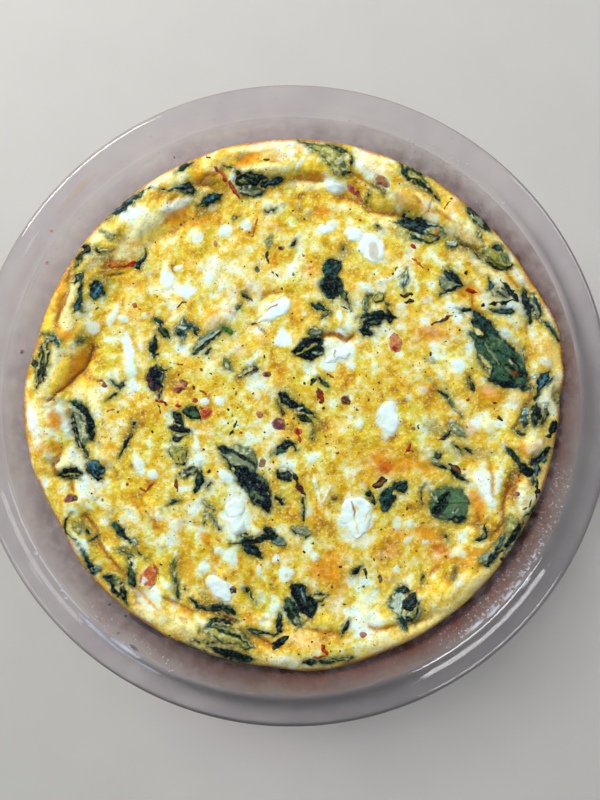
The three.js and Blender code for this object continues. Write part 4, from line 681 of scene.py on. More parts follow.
# Small leaves and strips that are one with the egg, as blades
BITS = [
    (-80.3, 36, -79, 51, 0.5, 1.7, 0.5, 0.5, "kt"),
    (-82.6, 47, -79.4, 51, 0, 1.6, 0.5, 0.6, "tk"),
    (-82.6, 35.8, -79.6, 39.6, 0, 2, 0.5, 0.6, "bt"),
    (-75.6, 41, -72, 46.6, 0.3, 5, 0.55, 0.5, "bt"),
    (-76.4, 45.6, -70.6, 46.8, 0.4, 2.6, 0.5, 0.5, "kk"),
    (-71.8, 43.4, -71, 41.8, 0, 1.5, 0.5, 0.5, "kk"),
    (-59.6, 52.4, -55.5, 60, -0.8, 2.4, 0.3, 0.7, "tk"),
    (-60, 53, -57.6, 52, 0, 1.6, 0.5, 0.5, "kk"),
    (-72, 66.5, -68, 63.5, 0, 1.6, 0.5, 0.6, "yy"),
    (-72, 58.5, -68, 59.5, 0, 1.2, 0.5, 0.6, "yy"),
    (-67, 64.5, -65, 65, 0, 1.3, 0.5, 0.6, "yk"),
    (-43.5, 89, -37.5, 92, 0, 2.6, 0.5, 0.7, "kt"),
    (-32, 95, -29.5, 93.5, 0, 1.1, 0.5, 0.6, "pp"),
    (-26, 91, -18.5, 88, 0.3, 1.6, 0.8, 0.7, "kk"),
    (-10.5, 93, -7.5, 93, 0, 0.9, 0.5, 0.6, "nn"),
    (-10, 74, -5, 75, 0, 1, 0.5, 0.6, "tt"),
    (-22, 71.5, -19.5, 72, 0, 1, 0.5, 0.6, "yk"),
    (-8.8, 60.4, -8, 65, 0, 1.8, 0.5, 0.6, "yy"),
    (-9, 54.8, -8.8, 59.4, 0, 1.5, 0.5, 0.6, "dg"),
    (13, 99.5, 21.5, 96, 0, 2, 0.5, 0.6, "kt"),
    (3, 100.5, 15.5, 91, 1.8, 1, 0.5, 0.4, "kk"),
    (22.5, 95, 22.8, 89, 0, 1.1, 0.5, 0.6, "kk"),
    (19, 88, 23, 88.5, 0, 1.1, 0.5, 0.6, "kk"),
    (13.5, 94, 15, 91.5, 0, 1, 0.5, 0.6, "pk"),
    (45, 86, 56, 78, 0.6, 1.5, 0.5, 0.6, "kk"),
    (41, 92, 48, 88, 0.3, 2, 0.5, 0.6, "tk"),
    (43.5, 74, 43.5, 71, 0, 1.1, 0.5, 0.6, "kk"),
    (41, 69.5, 54, 67.2, 0.2, 1, 0.5, 0.6, "kt"),
    (44, 66, 49, 63, 0, 1.4, 0.5, 0.6, "kt"),
    (46, 64.4, 54, 62, 0, 1.3, 0.5, 0.6, "kt"),
    (53.6, 62.2, 59, 65.2, 0, 1.4, 0.5, 0.6, "kk"),
    (67.2, 74.6, 74.2, 66.6, 0.2, 4, 0.5, 0.55, "yk"),
    (66.4, 75.8, 70, 71.4, 0, 2.6, 0.5, 0.6, "kt"),
    (72.6, 70.6, 76, 65.6, 0, 2.8, 0.5, 0.6, "kk"),
    (69.5, 59, 81.6, 51, -1.2, 1.6, 0.55, 0.6, "kk"),
    (80, 51.2, 84, 53.2, 0, 1.3, 0.5, 0.6, "kk"),
    (59.2, 61, 64, 62.8, 0, 3.6, 0.5, 0.5, "ct"),
    (59.2, 60.6, 63.6, 63.6, 1, 1.2, 0.5, 0.5, "tk"),
    (62, 64, 70, 59, -0.4, 1, 0.5, 0.6, "kn"),
    (71, 66.5, 72, 62.5, 0, 1.7, 0.5, 0.6, "yt"),
    (76, 61, 80, 59.5, 0, 1.2, 0.5, 0.6, "tt"),
    (32, 69, 34, 68, 0, 1.1, 0.5, 0.6, "yk"),
    (19.5, 60, 21, 61.5, 0, 1, 0.5, 0.6, "kk"),
    (0.5, 60.5, 2.4, 63.2, 0, 1.1, 0.5, 0.6, "tk"),
    (29, 82, 29, 78, 0, 0.9, 0.5, 0.6, "yk"),
    (31, 84, 36, 80.5, 0, 0.9, 0.5, 0.6, "yn"),
    (43.6, 52.6, 43.2, 44.6, 0, 2.4, 0.5, 0.6, "ct"),
    (39, 50.2, 40, 54, 0, 1.6, 0.5, 0.6, "nk"),
    (31.6, 40, 35.4, 43, 0, 4, 0.5, 0.5, "ok"),
    (35.6, 40, 37.6, 38.4, 0, 1.4, 0.5, 0.6, "kk"),
    (41.8, 42.6, 46.2, 42.8, 0, 2, 0.5, 0.5, "nk"),
    (43, 40.2, 48, 40.2, 0, 1.6, 0.5, 0.5, "nk"),
    (8, 38.9, 14, 36.6, 0, 2.8, 0.35, 0.6, "tk"),
    (12, 34, 15.2, 36, 0, 1.8, 0.5, 0.5, "yk"),
    (20.6, 43.8, 22.8, 37.4, -0.2, 1.4, 0.5, 0.6, "tk"),
    (28.5, 43, 29, 35.4, 0, 2.5, 0.5, 0.5, "yg"),
    (27.5, 42.5, 31.5, 42.3, 0, 1.4, 0.5, 0.6, "tg"),
    (-43.5, 37.3, -38, 39, 1.2, 1, 0.5, 0.6, "pp"),
    (-53.6, 33.2, -49.6, 31.4, 0, 1.5, 0.5, 0.6, "kt"),
    (-50.8, 31.8, -46.6, 25.6, -0.4, 3.2, 0.65, 0.6, "gk"),
    (-52.3, 26.8, -52.3, 18.3, 0, 3.2, 0.55, 0.6, "kt"),
    (-50, 5, -50, 2.5, 0, 1.1, 0.5, 0.6, "kp"),
    (-37, 19.8, -28, 28, -0.5, 0.9, 0.5, 0.6, "kk"),
    (-33, 19.5, -30.5, 21.5, 0, 1.8, 0.5, 0.6, "gk"),
    (-25.6, 18, -22.8, 13.4, 0, 3.2, 0.4, 0.6, "yg"),
    (-21, 11, -12.5, 15.5, 0, 2.3, 0.6, 0.6, "ok"),
    (-15, 12, -12.3, 14.8, 0, 1, 0.5, 0.6, "kk"),
    (-18.8, 43.6, -16, 41.4, 0, 1.8, 0.5, 0.6, "gk"),
    (-16, 41.4, -14.6, 39.8, 0, 0.7, 0.5, 0.6, "nn"),
    (-20.6, 36, -19.4, 38.8, 0, 2, 0.5, 0.6, "yk"),
    (79, 47.6, 86.6, 39.4, 0, 3, 0.6, 0.6, "dk"),
    (77.4, 44.6, 82, 41, 0, 3, 0.5, 0.6, "yk"),
    (71, 39.6, 73.4, 38.4, 0, 2, 0.5, 0.6, "dk"),
    (75, 38.6, 84.4, 39.8, 0, 1.8, 0.5, 0.6, "dk"),
    (75, 48, 76.4, 42.6, 0, 2.2, 0.5, 0.6, "bd"),
    (76, 36.6, 84, 36.2, 0, 2.8, 0.6, 0.5, "tk"),
    (94.8, 33, 101.6, 25, 0, 1.9, 0.5, 0.5, "bt"),
    (93.4, 5.5, 97.6, 14, 0.2, 3.6, 0.55, 0.55, "bd"),
    (91.6, 11.6, 93.8, 10.4, 0, 2.4, 0.5, 0.4, "wc"),
    (99.6, 7, 101.4, 0.6, 0, 3, 0.5, 0.5, "on"),
    (93.5, 8, 99, 10.5, 0, 2.2, 0.5, 0.6, "kb"),
    (94, 6, 93, 2, 0, 1.3, 0.5, 0.6, "kk"),
    (88, 22, 90.5, 10, -1, 1.2, 0.5, 0.6, "yt"),
    (7, 8.6, 9.4, 10.2, 0, 2, 0.5, 0.5, "xk"),
    (10.2, 10.6, 14, 7, 0, 2, 0.5, 0.5, "gt"),
    (8, -2.5, 11.5, -6.5, 0, 0.8, 0.5, 0.5, "yk"),
    (7.6, -6, 8.6, -12.6, 0, 1, 0.3, 0.6, "yg"),
    (-5.6, 2, -3, -3, 0, 1, 0.4, 0.6, "kn"),
    (-83.8, -2, -80.4, -17, -0.8, 0.9, 0.5, 0.4, "kk"),
    (-79, -18, -77, -21, 0, 1.5, 0.5, 0.6, "gc"),
    (-75, -27.5, -72.5, -28, 0, 1.6, 0.5, 0.6, "kk"),
    (-59.8, -6.6, -66, -20, 0.5, 1.3, 0.5, 0.5, "td"),
    (-83.6, -41, -82, -50.5, -3.2, 1.4, 0.5, 0.35, "kk"),
    (-81.2, -44, -80.8, -48.5, 0, 2, 0.5, 0.6, "oo"),
    (-79, -45, -77, -48, 0, 1, 0.5, 0.6, "kk"),
    (-76, -50.5, -73.6, -49.5, 0, 1.2, 0.5, 0.6, "kt"),
    (-69, -44.2, -62, -51, 0, 3.4, 0.45, 0.6, "tt"),
    (-65.4, -48.6, -60.6, -52, 0, 2, 0.5, 0.5, "kt"),
    (-60.2, -50.6, -58.8, -54, 0, 1.4, 0.5, 0.5, "cc"),
    (-51.6, 0, -48.8, -4.4, 0, 0.9, 0.5, 0.6, "qk"),
    (-46.5, -13.6, -40.4, -11.4, 0, 2.1, 0.5, 0.6, "kk"),
    (-45.4, -10.8, -41.4, -11.2, 0, 0.9, 0.5, 0.6, "cc"),
    (-45.6, -15.4, -42.4, -22, 0.8, 5.4, 0.5, 0.5, "oo"),
    (-46.4, -17, -43, -22.4, -0.3, 1.2, 0.5, 0.5, "kk"),
    (-43.6, -18.6, -42.6, -20.6, 0, 1.8, 0.5, 0.5, "kk"),
    (-40.4, -16, -41.6, -22, 0.6, 0.7, 0.5, 0.5, "kk"),
    (-32.5, -31.5, -31.2, -29.5, 0, 1.2, 0.5, 0.6, "kk"),
    (-47.5, -38, -42.5, -35.5, 0.3, 1.4, 0.5, 0.6, "tt"),
    (-19.6, 1.8, -20.2, -1.2, 0, 0.7, 0.5, 0.6, "nn"),
    (-20.6, -4.5, -23.2, -11.2, 0, 1.1, 0.4, 0.6, "qk"),
    (-6.2, -26, 0, -26.2, -0.3, 4.6, 0.5, 0.4, "kk"),
    (-7.4, -18, -2.4, -17, 0.2, 2.2, 0.5, 0.6, "gt"),
    (-5.4, -16, 1.6, -14.4, 0.4, 2.8, 0.5, 0.6, "kk"),
    (0.4, -14.8, 2.2, -17, 0, 0.9, 0.5, 0.6, "kk"),
    (0.6, -24.8, 2.8, -29.6, 0.2, 1.9, 0.5, 0.6, "pk"),
    (2.2, -28.6, 5, -33.8, 0, 2.3, 0.5, 0.6, "mp"),
    (-5.5, -34, -3.3, -38.5, 0, 1.7, 0.5, 0.6, "kk"),
    (4.6, -35, 4.6, -43.5, 0, 1.1, 0.5, 0.6, "kk"),
    (1, -46.4, 7.6, -49.6, 0.3, 3.4, 0.5, 0.6, "yy"),
    (5, -50.6, 7.8, -49.4, 0, 0.8, 0.5, 0.6, "kk"),
    (1.2, -46.6, 1.8, -48.6, 0, 1.3, 0.5, 0.6, "kk"),
    (15, -37, 17, -34, 0, 1, 0.5, 0.6, "kn"),
    (-33, -37, -30, -39.5, 0, 1.5, 0.5, 0.6, "yk"),
    (-32.5, -41, -33, -45, 0, 1.1, 0.5, 0.6, "kk"),
    (-31, -42, -27.5, -47, 0, 1.2, 0.5, 0.6, "yk"),
    (30.8, -30.6, 37.4, -28.2, 0.4, 3, 0.5, 0.6, "nk"),
    (29.4, -31.8, 29.6, -34.2, 0, 2.4, 0.5, 0.6, "kk"),
    (30.4, -33.6, 31.8, -37.8, 0, 1.4, 0.5, 0.6, "gk"),
    (54.3, -22.3, 67, -28.9, 0.9, 2.4, 0.6, 0.55, "kk"),
    (60.5, -22.3, 65, -25.6, 0, 2.6, 0.5, 0.6, "nk"),
    (60.5, -9.5, 58, -12, 0, 1.7, 0.5, 0.5, "kk"),
    (60.8, -7, 66, -11.5, 0, 3.6, 0.5, 0.5, "yy"),
    (62, -14, 65, -18, 0, 1, 0.5, 0.5, "kk"),
    (65.5, -15.5, 69, -18, 0, 1.4, 0.5, 0.5, "kk"),
    (57.4, -18.6, 54.4, -20, 0, 1.9, 0.5, 0.5, "gk"),
    (54, -20.4, 56.4, -21.6, 0, 2, 0.5, 0.5, "cy"),
    (73.4, -45.3, 70, -51, 1.8, 2, 0.5, 0.4, "kk"),
    (58.2, -48.8, 59.4, -52.2, 0.2, 1.1, 0.5, 0.5, "gk"),
    (93.6, 1.4, 92.4, -8.4, 0, 3.4, 0.5, 0.5, "kt"),
    (96.6, 1, 95, -7.6, 0, 1.6, 0.5, 0.5, "yk"),
    (90.6, 0, 88.4, -9.4, -0.6, 2.6, 0.5, 0.5, "bc"),
    (86.6, -9.8, 89.4, -10.4, 0, 1.6, 0.5, 0.5, "dk"),
    (85, -9, 88, -11, 0, 1.3, 0.5, 0.5, "kk"),
    (100.2, -4.6, 98.2, -11, 0, 3.2, 0.5, 0.5, "dk"),
    (96.5, -12, 99.5, -11, 0, 1.5, 0.5, 0.5, "xk"),
    (93, -28, 93.6, -35.6, 0, 2.4, 0.5, 0.5, "xk"),
    (90.8, -35.4, 90.4, -38.2, 0, 1.2, 0.5, 0.5, "nk"),
    (90.4, -38.4, 87.6, -38.8, 0, 1.2, 0.5, 0.5, "nk"),
    (92.8, -38.8, 88, -42.4, 0, 1.3, 0.5, 0.5, "gk"),
    (93, -38.6, 90.6, -44, 0.3, 1.4, 0.5, 0.5, "kk"),
    (87.4, -42.6, 87.4, -45.6, 0, 1.5, 0.5, 0.5, "kn"),
    (62.7, -61.6, 62, -66, 0, 1.2, 0.5, 0.5, "kn"),
    (-62.6, -56.6, -60, -68.6, 0.2, 3.2, 0.75, 0.6, "gk"),
    (-65.6, -54.8, -60, -56.6, 0.3, 1.7, 0.5, 0.5, "ok"),
    (-60, -53, -55, -58.5, -0.7, 0.9, 0.5, 0.4, "gk"),
    (-77, -62, -72.5, -62, 0, 2.6, 0.5, 0.6, "yb"),
    (-44.6, -58.6, -44, -68, -1, 1.4, 0.5, 0.4, "ct"),
    (-44.4, -67.6, -42.6, -73, 0, 1.6, 0.6, 0.5, "tk"),
    (-34.2, -85.4, -27, -81.8, 0.9, 1.4, 0.6, 0.5, "kk"),
    (-38, -89, -28, -89.5, 0, 1, 0.5, 0.5, "kk"),
    (-42, -90, -33, -93.5, 0, 0.9, 0.5, 0.5, "kn"),
    (-15.5, -70, -14, -75, 0, 0.9, 0.5, 0.5, "gk"),
    (-17.6, -69.4, -16, -70.4, 0, 1.8, 0.5, 0.5, "kk"),
    (-9, -86.8, -4.6, -85.2, -0.7, 1.1, 0.5, 0.5, "kk"),
    (-7.4, -91.6, -0.6, -87, 0.2, 3.4, 0.5, 0.5, "dk"),
    (22, -81.6, 19, -87, 0, 2, 0.5, 0.5, "kk"),
    (23.3, -64.5, 27, -61.3, 0, 1.7, 0.5, 0.5, "kk"),
    (28.2, -62, 29.2, -65, 0, 1, 0.5, 0.5, "nk"),
    (4, -97.6, 11, -96.8, 0.2, 2.8, 0.45, 0.6, "kk"),
    (9.5, -96.5, 16.5, -97.2, 0, 2, 0.5, 0.5, "kt"),
    (15.5, -95.6, 23.6, -95.8, 0, 2, 0.5, 0.5, "ot"),
    (56.4, 6, 60, 2.4, 0, 1.8, 0.5, 0.5, "kt"),
    (59.6, 3, 65, -4, 0.4, 1.4, 0.5, 0.5, "yt"),
    (57, 6.6, 60, 6.9, 0, 0.6, 0.5, 0.5, "nn"),
    (-69, 9.5, -66.3, 6.5, 0, 1.5, 0.4, 0.5, "tt"),
    (-63.5, 9.5, -66.6, 6.3, 0, 1.5, 0.4, 0.5, "tk"),
    (-66.5, 5, -71.5, 1.8, 0, 1.3, 0.4, 0.5, "tk"),
    (-84, 1.5, -80, 0.5, 0, 2.2, 0.5, 0.5, "kt"),
    (-81.5, 24, -79, 26, 0, 1.6, 0.5, 0.5, "yt"),
    (-94, 16, -94.2, 9, 0.8, 1.2, 0.5, 0.5, "kk"),
    (20.8, 84.4, 27.8, 77.8, 0, 2, 0.5, 0.5, "rf"),
    (23.4, 81.8, 26, 80.4, 0, 1.6, 0.5, 0.5, "rm"),
    (-70, 53.2, -63, 53.6, 0.3, 2, 0.5, 0.5, "ss"),
    (-65, 53, -58.8, 54.6, 0, 1.7, 0.5, 0.5, "rr"),
    (9.8, 6.4, 12.8, -0.8, 0, 2.4, 0.6, 0.5, "rm"),
    (54, 31, 61.5, 34.6, 0, 1.6, 0.7, 0.5, "mm"),
    (-14.5, 65, -13, 72, 0, 1.3, 0.5, 0.5, "sa"),
    (60.5, 77.5, 58.5, 74.5, 0, 1, 0.5, 0.5, "rn"),
    (46, 62, 47.5, 60, 0, 1.3, 0.5, 0.5, "mr"),
    (46.4, 56.2, 50.6, 52.6, 0, 1.1, 0.5, 0.5, "fs"),
    (-74.6, 10.5, -68.4, 6.8, 0, 1.7, 0.5, 0.5, "mf"),
    (-61, 38.5, -58, 37.5, 0, 1.2, 0.5, 0.5, "fs"),
    (-46, 16, -40, 15.3, 0.6, 0.9, 0.5, 0.5, "fm"),
    (-51.6, 2, -47.2, 0.3, 0.2, 1.6, 0.5, 0.5, "rr"),
    (-46.2, 0, -41, 0.5, 0, 1.9, 0.5, 0.5, "rr"),
    (-35, 6.2, -31, 3.9, 0, 1.1, 0.5, 0.5, "hs"),
    (66, 44, 71, 43.5, 0, 1.8, 0.5, 0.5, "nr"),
    (79, -4.5, 81, -5.6, 0, 1.7, 0.5, 0.5, "mp"),
    (-71.5, -2.2, -66, -1.8, 0.3, 1, 0.5, 0.5, "rs"),
    (-58, -31, -55.6, -33, 0, 1.3, 0.5, 0.5, "rs"),
    (-55.6, -33, -52.5, -29.5, 0, 1.4, 0.5, 0.5, "rs"),
    (-43.6, -28.2, -43.6, -32, 0, 1.4, 0.5, 0.5, "mn"),
    (45.8, -14, 43.6, -19, 0.2, 1.3, 0.5, 0.5, "mr"),
    (55.6, -12.2, 59.4, -12.2, 0, 1.5, 0.5, 0.5, "mp"),
    (86.8, -25.6, 86.4, -29, 0, 1.5, 0.5, 0.5, "rs"),
    (2.8, -10.6, 3.2, -13.8, 0, 1.5, 0.5, 0.5, "rs"),
    (50.6, -65, 50, -67.6, 0, 1, 0.5, 0.5, "kn"),
    (7.4, -94.8, 13.4, -95, 0, 1.4, 0.5, 0.5, "rs"),
    (11.4, -90.8, 13.2, -94.8, 0, 1.4, 0.5, 0.5, "rr"),
    (-16.2, 31, -13.2, 30.9, 0, 1.2, 0.5, 0.5, "nn"),
    (19.6, 37.8, 22.8, 36.4, 0, 1, 0.5, 0.5, "nk"),
    (56, 31.4, 61, 34, 0, 0.7, 0.5, 0.5, "fc"),
    (13.4, 12.2, 15.4, 10.8, 0, 0.8, 0.5, 0.5, "nn"),
    (44.6, -16.4, 47, -17, 0, 1, 0.5, 0.5, "rs"),
    (48.6, -7, 48.6, -9.2, 0, 0.7, 0.5, 0.5, "nk"),
    (50.5, -30, 50.2, -37, -0.5, 0.8, 0.5, 0.5, "gn"),
    (67.8, 10.4, 69.6, 5.4, 0, 2, 0.5, 0.5, "tk"),
]

# Small lumps that are one with the egg: x, y, half length, half width, turn in degrees, height, paint
CRUMBS = [
    (-9.3, 12.2, 2.5, 1.6, 0, 0.4, "m"), (-37, 7, 1, 1.2, 0, 0.4, "m"), (-36.6, 2.2, 1.7, 1.6, 0, 0.4, "r"),
    (20.8, 2.4, 2.3, 2.1, -10, 0.5, "m"), (21.6, 1.4, 1.1, 1, 0, 0.7, "k"),
    (2.5, -9.6, 1.8, 1.6, 0, 0.4, "r"), (-11, -22, 1.7, 3, -8, 0.3, "i"), (26, 71, 1.2, 1.2, 0, 0.3, "n"),
    (61, 79, 1.1, 1.1, 0, 0.3, "r"), (27, -87, 2, 1.5, 0, 0.4, "f"), (85.5, -33.6, 1.4, 1.3, 0, 0.4, "u"),
    (-31, -25, 1.3, 1.3, 0, 0.3, "p"), (-3.8, 60.3, 2.1, 1.4, 10, 0.3, "d"),
    (-13.5, 52.2, 1.6, 2.2, 20, 0.3, "q"), (-4.7, 56.7, 0.9, 0.5, 10, 0.2, "k"),
    (-22.4, -70.4, 1.9, 1.7, 0, 0.3, "x"), (80.5, -58.4, 1.5, 1.3, 0, 0.4, "p"),
    (46.6, -8.4, 1.8, 1.5, 0, 0.2, "i"), (-12.1, -3.6, 1.8, 2.3, 10, 0.3, "h"),
    (-19, -10.3, 1.3, 1, 0, 0.3, "s"), (-17.2, -10.8, 0.8, 0.7, 0, 0.3, "m"),
    (-8.4, -24, 0.9, 1.6, -25, 0.3, "q"), (-18, -81.9, 1.2, 1, 0, 0.3, "k"),
    (-5, -77.5, 0.7, 0.7, 0, 0.3, "k"), (34.5, 25.3, 1, 0.7, 0, 0.2, "n"),
    (39.5, 21.6, 0.9, 0.7, 0, 0.3, "r"), (-34.5, 13.7, 1.2, 1.1, 0, 0.3, "n"),
    (-27, 24.7, 0.9, 0.9, 0, 0.2, "s"), (78, 1.3, 2, 1, 0, 0.3, "m"), (67.5, 2.3, 1.2, 1.4, 0, 0.3, "m"),
    (72.5, 1, 0.7, 0.7, 0, 0.2, "m"), (-63, -30, 1.2, 1.2, 0, 0.3, "r"),
    (-64.5, -35, 0.9, 0.8, 0, 0.3, "f"), (24, -24, 0.8, 0.8, 0, 0.2, "s"),
    (13.3, -28.8, 0.9, 0.6, 0, 0.2, "s"), (14, -26, 0.8, 0.8, 0, 0.2, "q"),
    (24, -16, 0.8, 0.7, 0, 0.2, "s"), (48, -45.5, 0.9, 0.9, 0, 0.3, "r"),
    (50.2, -44.6, 1.6, 0.9, -10, 0.3, "q"), (66, -24.5, 1.2, 1.1, 0, 0.3, "r"),
    (-32.5, -75, 0.9, 0.9, 0, 0.2, "s"), (13.5, -65.5, 0.9, 0.8, 0, 0.2, "m"),
    (48.5, -68.5, 0.9, 0.8, 0, 0.2, "s"), (-8.5, -94.5, 1, 0.8, 0, 0.2, "s"),
    (27.3, 78, 0.6, 0.6, 0, 0.2, "m"), (33, 84.5, 1.1, 0.9, 0, 0.3, "m"),
    (24.6, 80.8, 1.1, 0.8, 40, 0.3, "m"), (69, 14, 1.2, 1, 0, 0.3, "k"), (64, 29, 1.2, 1.1, 0, 0.3, "k"),
    (68, 9, 0.8, 0.8, 0, 0.2, "k"), (86, 26, 0.8, 1.2, 0, 0.2, "k"), (75.5, 33, 0.8, 0.8, 0, 0.2, "t"),
    (53.5, 20, 1, 1.5, 0, 0.3, "k"), (46, 30, 1.1, 0.8, 0, 0.2, "q"), (46, 23, 0.8, 0.7, 0, 0.2, "y"),
    (45, 20, 0.8, 0.7, 0, 0.2, "k"), (47.5, 33.3, 0.9, 0.8, 0, 0.2, "k"), (66.8, 51, 1.2, 1.8, 0, 0.3, "k"),
    (25, -13.8, 0.8, 1.7, -20, 0.2, "q"), (21.3, -31.5, 1.3, 1.2, 0, 0.2, "j"),
    (33.8, -66, 1.3, 2.6, 0, 0.4, "x"), (-71.5, -6.5, 1.5, 2, 0, 0.2, "y"), (-74, -14, 1.5, 2, 0, 0.2, "y"),
    (-57.4, -52.3, 1.1, 1.3, 0, 0.2, "q"), (19.4, -0.6, 0.8, 0.8, 0, 0.2, "t"),
    (-61.5, -57.5, 1.3, 1.1, 0, 0.3, "k"), (-36.5, 91.7, 0.9, 0.7, 0, 0.2, "p"),
    (51, 59.5, 0.8, 0.8, 0, 0.2, "k"), (60, 53, 0.9, 0.8, 0, 0.2, "k"), (33.5, 65, 0.8, 0.6, 0, 0.2, "k"),
    (37, 60, 0.9, 0.8, 0, 0.2, "y"), (2.5, 76.5, 0.8, 0.6, 0, 0.2, "k"), (6.5, 73.5, 0.7, 0.6, 0, 0.2, "k"),
    (-14.5, 87.5, 0.9, 0.9, 0, 0.3, "y"), (-81, -29, 1.5, 0.8, 0, 0.2, "k"),
    (-92, -31.5, 0.8, 1.2, 0, 0.2, "q"), (-66, -28, 0.7, 0.8, 0, 0.2, "s"),
    (-13.6, 64.4, 0.8, 1.6, 10, 0.2, "m"), (4.5, 57.5, 0.6, 1, 0, 0.2, "q"),
    (-24, -0.6, 1.1, 0.6, 0, 0.2, "n"), (67.4, -8.2, 1.2, 1.1, 0, 0.3, "i"),
    (71.2, -10.6, 0.6, 0.6, 0, 0.2, "p"), (82.9, -10.6, 0.7, 0.7, 0, 0.2, "t"),
    (8.2, -52.5, 0.9, 0.6, -20, 0.2, "m"), (44.3, -39, 0.8, 0.8, 0, 0.2, "n"),
    (41.6, -62, 1.1, 1.3, 0, 0.2, "j"), (35.3, -74.8, 0.4, 1, 0, 0.2, "n"),
    (-29.3, 62.3, 1.2, 2.2, 0, 0.3, "f"), (-11.3, 56, 0.8, 0.8, 0, 0.3, "k"),
]

# Dark flecks of herb, by x and y
FLECKS = [
    (-52, 62.5), (-37.5, 71.5), (-42.2, 69.5), (-74, 37.3), (-22, 6.5), (-21, 5), (-10.3, 19), (-43, 12),
    (-30.5, 12.3), (-5.5, 50), (-3.5, 45), (-7, 51), (4.5, 57.5), (7.5, 55), (5, 71.5), (4, 33), (0.7, 50.3),
    (14, 12), (28.5, 11.8), (33.5, 9), (29.5, 2.3), (-69, -12.5), (-53, -10), (-76, -33.5), (-72.5, -29),
    (-22.5, -3.5), (-24, -1.5), (-10.5, -12.5), (-33.5, -16.5), (-28, -25), (13.5, -14.5), (13.2, -11.8),
    (7.5, -16.5), (17.7, -18), (14, -26), (44.2, -39), (48, -36.5), (39, -47), (8.3, -52.5), (15.5, -69),
    (20.3, -75.8), (19, -64), (18.8, -61.5), (31.7, -58.8), (36, -57.8), (27.5, -69), (47.8, -55.5),
    (50, -65.5), (5, -56), (6, -64.5), (12, -76), (13, -86.8), (7.8, -89.5), (14.5, -90.2), (2.8, -94),
    (18.5, -93), (59, -57.5), (-8, -68), (-25, -65.5), (-5, -59), (-46, -87), (5, 8.6), (-2.7, -3),
    (0.8, -4.7), (-7, -21.4), (-1.4, -12), (-10.2, -10), (25, -1.4), (-72, -36),
]

# How many smaller flecks are scattered, and the letters that all flecks draw their paint from
RANDOM_FLECKS = 420
FLECK_PAINTS = "kkqnnjynamx"
FLECK_SIDES = 7
FLECK_SIZE = 0.55
SMALL_FLECK_SIZES = (0.16, 0.42)
FLECK_REACH = 0.94 * EDGE_RADIUS
FLECK_HEIGHT = 0.22
FLECK_SUNK = 0.3

